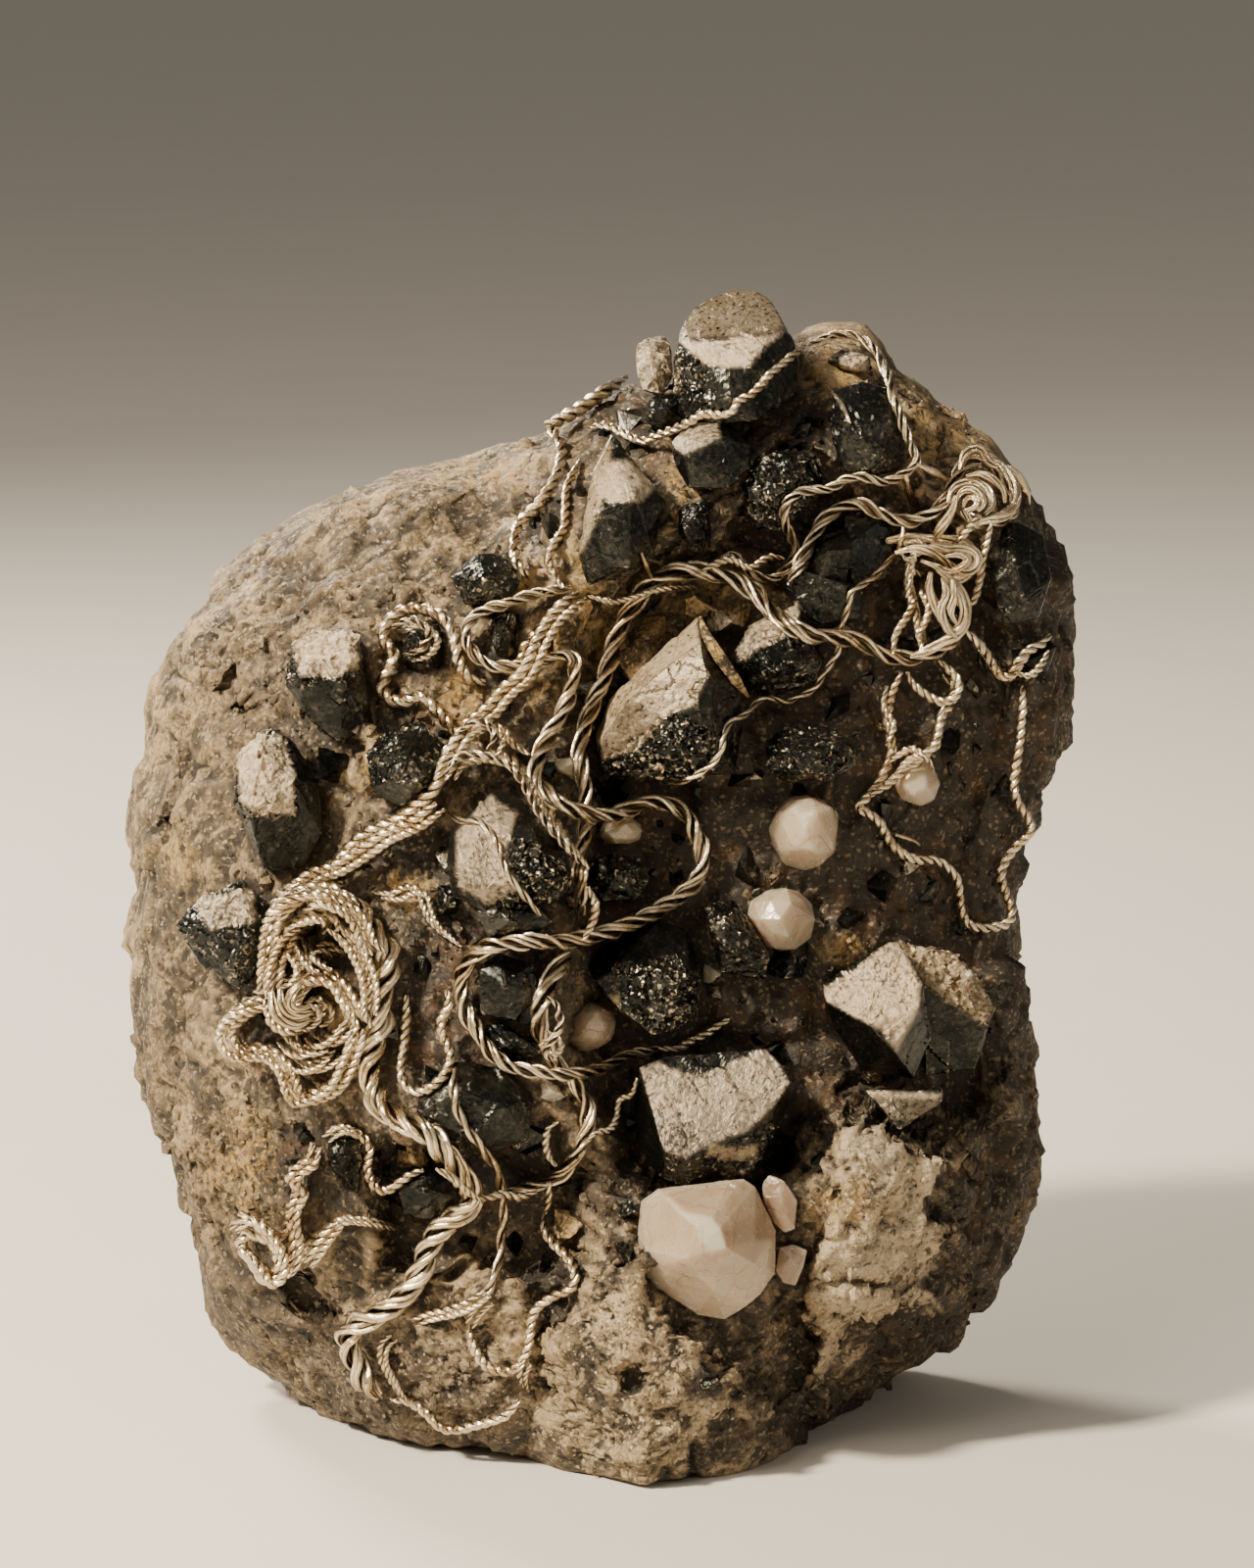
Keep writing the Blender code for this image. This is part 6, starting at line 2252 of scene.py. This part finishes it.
# Short fine wires that are in the scene alone, by piece
EXTRA: dict[str, list[Run]] = {
    "fine_crown_wires": [
        Run(0.34, [
            (592, 470), (582, 490), (577, 505), (577, 520), (575, 540), (565, 555), (560, 572), (567, 588),
            (575, 600),
        ]),
        Run(0.50, [(557, 433), (582, 423), (597, 413), (617, 399), (638, 386)]),
        Run(0.2, [(848, 398), (860, 415), (868, 432)], Twist.HAIR),
        Run(0.2, [(655, 565), (660, 578), (665, 590)], Twist.HAIR),
    ],
    "fine_knot_wires": [
        Run(0.40, [
            (980, 480), (984, 466), (993, 458), (1002, 460), (1009, 471), (1020, 475), (1031, 488),
            (1037, 503), (1034, 518), (1024, 527), (1008, 531), (998, 534),
        ], Twist.SKEIN),
        Run(0.34, [
            (968, 513), (972, 500), (984, 492), (999, 493), (1010, 502), (1013, 515), (1006, 524),
        ], Twist.SKEIN),
        Run(0.30, [(976, 512), (980, 503), (990, 499), (1000, 504), (1004, 514), (998, 521)], Twist.SKEIN),
        Run(0.26, [(983, 517), (986, 509), (994, 507), (998, 513), (993, 519), (985, 520)], Twist.SKEIN),
        Run(0.30, [(986, 486), (1000, 483), (1014, 489), (1024, 500), (1026, 513)], Twist.SKEIN),
        Run(0.38, [(976, 506), (971, 522), (962, 536), (955, 548), (956, 558)], Twist.SKEIN),
        Run(0.34, [(1000, 525), (993, 534), (984, 544), (978, 554), (972, 562)]),
        Run(0.28, [(925, 484), (927, 500), (932, 517)], Twist.HAIR),
        Run(0.28, [(936, 474), (950, 480), (968, 490)], Twist.HAIR),
        Run(0.34, [(1012, 534), (1007, 552), (1003, 570), (1001, 590), (995, 612), (986, 622)]),
        Run(0.26, [(922, 538), (921, 548), (917, 560)], Twist.HAIR),
        Run(0.30, [(1020, 476), (1034, 480), (1046, 496), (1050, 514)], Twist.HAIR),
    ],
    "fine_skein_wires": [
        Run(0.36, [
            (914, 564), (930, 560), (948, 562), (962, 570), (972, 580), (984, 585), (995, 580), (999, 570),
            (993, 561), (980, 558), (966, 560), (950, 556),
        ], Twist.SKEIN),
        Run(0.28, [
            (940, 572), (956, 578), (968, 584), (982, 578), (988, 570), (978, 566), (964, 568),
        ], Twist.SKEIN),
        Run(0.40, [
            (956, 580), (966, 588), (978, 600), (986, 616), (986, 632), (978, 646), (964, 654), (946, 664),
            (930, 670),
        ], Twist.SKEIN),
        Run(0.36, [
            (950, 584), (948, 600), (954, 616), (962, 632), (970, 644), (980, 640), (984, 624), (978, 606),
            (968, 596),
        ], Twist.SKEIN),
        Run(0.32, [(962, 590), (966, 606), (960, 622), (966, 640), (976, 650)], Twist.SKEIN),
        Run(0.28, [(972, 592), (974, 608), (970, 624), (976, 636)], Twist.SKEIN),
        Run(0.32, [(929, 586), (927, 606), (934, 626), (938, 648), (942, 668)]),
        Run(0.32, [(938, 606), (926, 628), (914, 648), (912, 668)]),
        Run(0.32, [(944, 588), (942, 604), (948, 620), (944, 636), (936, 650)]),
        Run(0.24, [(918, 562), (926, 572), (934, 568), (930, 580), (940, 586), (948, 578)]),
        Run(0.24, [(922, 556), (934, 552), (944, 556), (940, 566), (930, 564)]),
        Run(0.36, [
            (926, 686), (932, 698), (944, 708), (960, 716), (974, 712), (979, 698), (970, 684), (958, 674),
        ]),
        Run(0.34, [
            (963, 718), (959, 740), (955, 758), (946, 769), (928, 777), (918, 790), (904, 802), (888, 812),
        ]),
        Run(0.34, [(920, 686), (910, 708), (904, 730), (909, 748), (914, 768)]),
        Run(0.40, [
            (984, 642), (1000, 658), (1011, 674), (1020, 688), (1031, 690), (1038, 677), (1051, 663),
            (1065, 656), (1072, 648),
        ]),
        Run(0.30, [(1036, 686), (1050, 690), (1062, 680), (1070, 664)]),
        Run(0.30, [(906, 778), (918, 770), (930, 764), (940, 770), (934, 780), (922, 784)]),
        Run(0.28, [(914, 790), (924, 778), (936, 772), (948, 776), (952, 786)]),
    ],
    "fine_right_wires": [
        Run(0.26, [(915, 852), (930, 857), (938, 862)], Twist.HAIR),
        Run(0.3, [(905, 700), (902, 722), (912, 740), (904, 760)]),
        Run(0.3, [(668, 785), (672, 780), (676, 782), (674, 792)]),
        Run(0.3, [(715, 585), (730, 575), (748, 571), (765, 580), (785, 568), (800, 570)]),
        Run(0.26, [(600, 608), (625, 614), (650, 608), (665, 603), (690, 600), (715, 600)]),
    ],
    "fine_centre_wires": [
        Run(0.24, [
            (556, 1052), (566, 1056), (574, 1066), (568, 1076), (557, 1074), (552, 1064), (562, 1060),
        ]),
        Run(0.34, [(600, 905), (608, 925), (603, 945), (595, 960)]),
        Run(0.36, [(672, 1070), (690, 1070), (705, 1062), (720, 1055), (735, 1045), (745, 1040)]),
        Run(0.34, [(485, 750), (500, 742), (515, 745), (525, 760), (540, 770)]),
        Run(0.34, [
            (558, 1018), (568, 1025), (572, 1045), (565, 1060), (556, 1075), (568, 1085),
        ], Twist.CORD),
        Run(0.3, [(570, 1145), (560, 1150), (557, 1165), (560, 1180), (568, 1190)]),
        Run(0.26, [
            (600, 1165), (610, 1155), (622, 1153), (630, 1140), (632, 1122), (645, 1117), (650, 1100),
        ]),
        Run(0.34, [(487, 1222), (500, 1222), (514, 1218), (530, 1222), (548, 1216)]),
        Run(0.34, [(560, 1206), (560, 1222), (556, 1238)]),
    ],
    "fine_left_wires": [
        Run(0.42, [
            (590, 605), (565, 625), (548, 652), (534, 684), (512, 704), (498, 722), (474, 742), (458, 768),
            (446, 790),
        ]),
        Run(0.42, [
            (445, 820), (420, 838), (392, 850), (366, 868), (340, 884), (320, 890), (305, 900), (285, 915),
            (275, 930),
        ]),
        Run(0.36, [
            (455, 790), (465, 775), (485, 770), (512, 776), (530, 792), (544, 818), (560, 842), (592, 880),
        ], Twist.CORD),
        Run(0.3, [
            (380, 910), (400, 912), (412, 905), (427, 908), (431, 922), (438, 937), (450, 950), (462, 960),
        ]),
        Run(0.34, [(400, 640), (420, 632), (438, 645), (430, 662), (412, 668)], Twist.CORD),
        Run(0.34, [(470, 745), (490, 735), (505, 748), (498, 765)], Twist.CORD),
    ],
    "fine_nest_wires": [
        Run(0.42, [
            (275, 1020), (254, 1025), (238, 1036), (229, 1048), (236, 1066), (250, 1073), (266, 1071),
            (282, 1075), (293, 1089), (298, 1106), (306, 1118), (320, 1116), (336, 1109), (346, 1098),
            (354, 1080), (361, 1062), (364, 1044),
        ]),
        Run(0.46, [
            (302, 1010), (306, 1002), (314, 996), (326, 993), (338, 994), (348, 1001), (355, 1014),
            (366, 1030), (372, 1042),
        ]),
        Run(0.44, [
            (277, 1012), (279, 1026), (284, 1037), (294, 1044), (306, 1045), (316, 1040),
        ], Twist.SKEIN),
        Run(0.40, [(286, 1010), (287, 1022), (294, 1032), (306, 1036), (318, 1033)], Twist.SKEIN),
        Run(0.36, [(309, 1001), (300, 1012), (296, 1024), (302, 1030), (314, 1028)], Twist.SKEIN),
        Run(0.42, [(304, 900), (291, 914), (280, 928), (275, 945), (273, 966), (272, 986), (270, 1004)]),
        Run(0.40, [(312, 940), (298, 948), (287, 964), (281, 980), (278, 998), (279, 1010)]),
        Run(0.46, [(278, 934), (292, 918), (308, 908), (324, 905), (342, 908), (358, 916)]),
        Run(0.44, [(316, 922), (330, 914), (346, 918), (360, 926), (369, 940), (374, 954), (386, 966)]),
        Run(0.38, [(298, 940), (312, 934), (328, 930), (338, 936), (334, 950)]),
        Run(0.36, [(309, 958), (315, 972), (322, 980), (332, 984)]),
        Run(0.34, [(324, 966), (334, 962), (345, 968)]),
        Run(0.38, [(340, 940), (350, 948), (361, 960), (370, 976), (376, 994), (378, 1012), (376, 1030)]),
        Run(0.34, [(292, 974), (300, 966), (310, 984), (302, 996), (290, 1000)]),
        Run(0.34, [(312, 1024), (322, 1018), (332, 1024), (330, 1036), (320, 1042)]),
        Run(0.36, [(318, 1052), (328, 1060), (340, 1056), (350, 1048), (354, 1038)]),
        Run(0.36, [(290, 1056), (300, 1066), (314, 1070), (328, 1066)]),
        Run(0.34, [(300, 1080), (314, 1086), (330, 1082), (342, 1072)]),
    ],
    "fine_tangle_wires": [
        Run(0.42, [
            (320, 1166), (316, 1184), (302, 1192), (296, 1204), (306, 1214), (298, 1228), (297, 1246),
            (300, 1262), (298, 1284), (292, 1296),
        ]),
        Run(0.50, [
            (236, 1252), (246, 1242), (258, 1242), (268, 1252), (278, 1266), (284, 1280), (284, 1294),
            (276, 1306), (266, 1300), (256, 1284), (244, 1274),
        ]),
        Run(0.44, [(344, 1246), (334, 1256), (326, 1266), (320, 1276), (312, 1288)]),
        Run(0.28, [(400, 1250), (375, 1245), (350, 1243)]),
        Run(0.3, [(330, 1160), (345, 1150), (362, 1152)]),
        Run(0.34, [(445, 1193), (460, 1200), (470, 1210), (487, 1222)]),
        Run(0.34, [(495, 1318), (475, 1330), (455, 1337), (435, 1341), (420, 1347)]),
        Run(0.28, [(400, 1362), (390, 1370), (388, 1385), (395, 1400), (403, 1415), (410, 1425)]),
        Run(0.3, [(477, 1350), (485, 1335), (498, 1325)]),
        Run(0.3, [(533, 1415), (530, 1400), (536, 1388)]),
    ],
}

# How far beside a piece's wires thinner ones run, in picture points
ECHO: dict[str, tuple[tuple[float, float], ...]] = {
    "fine_nest_wires": ((7.0, 6.0), (-6.0, 8.0)),
    "fine_tangle_wires": ((6.0, 5.0),),
    "fine_left_wires": ((9.0, 6.0),),
}


@dataclass
class SilverWires:
    """Every wire of native silver, laid over the crystals and wound from strands."""

    step: float = 0.45 * MM
    strand_step: float = 0.17 * MM
    echo_girth: float = 0.8
    wander: float = 0.20
    loose: float = 0.42
    end_share: float = 0.45
    end_length: float = 1.4 * MM

    def guide(self, runs: list[Run], depth_map: DepthMap) -> Mesh:
        """Lines that the wires of one piece follow, with their half widths.

        Args:
            runs: The wires' runs.
            depth_map: The surfaces that they are laid on.

        Returns:
            A mesh of edges.
        """
        corners: list[np.ndarray] = []
        girths: list[np.ndarray] = []
        widths: list[np.ndarray] = []
        edges: list[tuple[int, int]] = []
        for run in runs:
            line = smooth_run(run.points, self.step / SIGHT.point)
            share = np.linspace(0, 1, len(line))
            radii = run.girth * MM * np.interp(share, np.linspace(0, 1, len(run.taper)), run.taper)
            depth = laid(depth_map, line, radii, self.step)
            start = sum(len(part) for part in corners)
            edges += [(start + i, start + i + 1) for i in range(len(line) - 1)]
            corners.append(SIGHT.place(line[:, 0], line[:, 1], depth))
            widths.append(np.cumsum(self.step / radii))
            ends = np.minimum(np.arange(len(line)), np.arange(len(line))[::-1])
            full = np.clip(ends * self.step / self.end_length, 0, 1)
            girths.append(radii * (self.end_share + (1 - self.end_share) * full))
        mesh = bpy.data.meshes.new("guide")
        mesh.from_pydata(np.vstack(corners).tolist(), edges, [])
        keep(mesh, "girth", np.concatenate(girths))
        keep(mesh, "widths", np.concatenate(widths))
        return mesh

    def wire(
        self, name: str, runs: list[Run], depth_map: DepthMap, braid: BraidTree, finish: Material
    ) -> Object:
        """Make one piece of wires that are all wound alike.

        Args:
            name: The piece's name.
            runs: The wires' runs.
            depth_map: The surfaces that they are laid on.
            braid: Tree that winds the strands.
            finish: Its material.

        Returns:
            The piece.
        """
        item = new_piece(name, self.guide(runs, depth_map))
        plies, strands, ply_pitch, strand_pitch = runs[0].twist.value
        braid.grow(
            item,
            Plies=plies,
            Strands=strands,
            Ply_Pitch=ply_pitch,
            Strand_Pitch=strand_pitch,
            Step=self.strand_step,
            Wander=self.wander,
            Loose=self.loose,
            Finish=finish,
        )
        return item

    def build(
        self,
        carriers: list[Object],
        braid: BraidTree,
        finish: Material,
        rusty: Material,
    ) -> list[Object]:
        """Lay and wind every wire.

        Args:
            carriers: The rock and the crystals.
            braid: Tree that winds the strands.
            finish: The silver.
            rusty: Finish of the rib on the great crystal.

        Returns:
            The wires and the rib.
        """
        depth_map = DepthMap(tree_of(carriers))
        rib = self.wire("rusty_rib", [RIB], depth_map, braid, rusty)
        made = [rib]
        for name, run in SILVER.items():
            item = self.wire("wound_" + name, [run], depth_map, braid, finish)
            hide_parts(name)
            made.append(item)
        for name, runs in EXTRA.items():
            beside = [run.moved(shift, self.echo_girth) for shift in ECHO.get(name, ()) for run in runs]
            for twist in Twist:
                alike = [run for run in runs + beside if run.twist is twist]
                if alike:
                    label = f"{name}_{twist.name.lower()}"
                    made.append(self.wire(label, alike, depth_map, braid, finish))
        return made


@dataclass(frozen=True)
class Scatter:
    """One kind of small crystal or crumb: its zone, spacing, sizes, slot and seed."""

    name: str
    slot: str
    zone: str
    spacing: float
    least: float
    most: float
    power: float
    seed: int


@dataclass
class Druse:
    """Small crystals and crumbs of rock that fill the gaps between the large crystals."""

    shapes: int = 6
    shape_corners: int = 11
    density: float = 4.0e6
    broken: float = 0.12
    kinds: tuple[Scatter, ...] = (
        Scatter("fine_druse", "galena", "druse", 1.70 * MM, 0.50 * MM, 1.7 * MM, 2.4, 5),
        Scatter("coarse_druse", "galena", "druse", 3.8 * MM, 1.4 * MM, 3.0 * MM, 1.6, 9),
        Scatter("rock_crumbs", "matrix_rock", "crumbs", 0.65 * MM, 0.30 * MM, 1.2 * MM, 2.4, 3),
    )

    def chunks(self) -> bpy.types.Collection:
        """Make the shapes that the small crystals are copied from.

        Returns:
            The shapes, each half a unit from its middle to its faces.
        """
        store = bpy.data.collections.new("chunks")
        for number in range(self.shapes):
            body = hull(blocky(np.random.default_rng(number), self.shape_corners) / 2)
            mesh = mesh_of(f"chunk_{number}", body)
            store.objects.link(bpy.data.objects.new(mesh.name, mesh))
        return store

    def build(self, rock: Object, tree: DruseTree, finishes: dict[str, Material]) -> list[Object]:
        """Scatter every kind over the rock.

        Args:
            rock: The rock's skin, with its zones.
            tree: Tree that scatters them.
            finishes: Material of each slot.

        Returns:
            One piece for each kind.
        """
        chunks = self.chunks()
        made = []
        for kind in self.kinds:
            item = new_piece(kind.name, rock.data.copy())
            tree.grow(
                item,
                Chunks=chunks,
                Zone=kind.zone,
                Density=self.density,
                Spacing=kind.spacing,
                Least=kind.least,
                Most=kind.most,
                Power=kind.power,
                Seed=kind.seed,
                Finish=finishes[kind.slot],
            )
            keep(item.data, "broken", np.full(len(item.data.vertices), self.broken))
            made.append(item)
        for source in list(chunks.objects):
            bpy.data.objects.remove(source)
        bpy.data.collections.remove(chunks)
        return made


@dataclass
class Studio:
    """Plain pale floor, soft light from the upper left, and the camera at the eye."""

    floor_size: float = 16.0
    room_light: float = 0.23
    room_colour: tuple = (1.0, 0.92, 0.80)
    lamps: tuple = (
        ("key", (-0.34, -0.28, 0.42), 0.06, 9.4, (1.0, 0.87, 0.68)),
        ("sky", (-0.40, -0.50, 0.60), 0.45, 3.0, (1.0, 0.91, 0.78)),
        ("fill", (0.42, -0.42, 0.26), 0.30, 0.4, (1.0, 0.92, 0.80)),
        ("rim", (-0.26, 0.34, 0.34), 0.12, 3.6, (1.0, 0.90, 0.74)),
    )
    aim: tuple[float, float, float] = (0.0, 0.0, 0.042)

    def build(self) -> None:
        """Make the floor, the lights, the room's light and the camera."""
        self.floor()
        for name, place, size, power, tint in self.lamps:
            lamp = bpy.data.lights.new(name, "AREA")
            lamp.size, lamp.energy, lamp.color = size, power, tint
            item = bpy.data.objects.new(name, lamp)
            item.location = place
            item.rotation_euler = (Vector(self.aim) - Vector(place)).to_track_quat("-Z", "Y").to_euler()
            bpy.context.scene.collection.objects.link(item)
        world = bpy.data.worlds.new("room")
        world.use_nodes = True
        back = world.node_tree.nodes["Background"]
        back.inputs["Color"].default_value = (*self.room_colour, 1.0)
        back.inputs["Strength"].default_value = self.room_light
        bpy.context.scene.world = world
        self.camera()

    def floor(self) -> None:
        """Pale plane that the specimen stands on."""
        body = bmesh.new()
        bmesh.ops.create_grid(body, x_segments=8, y_segments=8, size=self.floor_size / 2)
        mesh = mesh_of("studio_floor", body)
        item = new_piece("studio_floor", mesh)
        mesh.materials.append(FloorFinish().make())

    def camera(self) -> None:
        """Camera at the eye, with the picture's own angle of view."""
        lens = bpy.data.cameras.new("front")
        lens.sensor_width = SIGHT.sensor
        lens.lens = SIGHT.focus / SIGHT.picture_height * SIGHT.sensor
        lens.clip_start, lens.clip_end = 0.01, 50.0
        item = bpy.data.objects.new("front", lens)
        item.location = SIGHT.eye
        item.rotation_euler = (math.pi / 2 - SIGHT.tilt, 0.0, 0.0)
        bpy.context.scene.collection.objects.link(item)
        bpy.context.scene.camera = item


def main() -> None:
    """Build the specimen and its studio."""
    logging.basicConfig(level=logging.INFO, format="%(message)s")
    nodes = frame["nodes"]
    stone, galena, calcite = RockFinish().make(), GalenaFinish().make(), CalciteFinish().make()
    ochre = RockFinish(
        "ochre_rock", body=colour(0.280, 0.175, 0.065), tan=colour(0.540, 0.370, 0.160)
    ).make()
    matrix = MatrixRock()
    rock = matrix.build(SkinTree(), stone)
    crystals = Crystals().build(nodes, rock, CleaveTree(), galena, calcite, ochre)
    matrix.shade_gaps(rock, tree_of(crystals))
    druse = Druse().build(rock, DruseTree(), {"galena": galena, "matrix_rock": stone})
    wires = SilverWires().build([rock, *crystals, *druse], BraidTree(), SilverFinish().make(), ochre)
    for item in (rock, *crystals, *druse, *wires):
        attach(item, BODY)
        item.data.calc_loop_triangles()
        LOG.info("%s: %d triangles", item.name, len(item.data.loop_triangles))
    Studio().build()


if __name__ == "__main__":
    main()
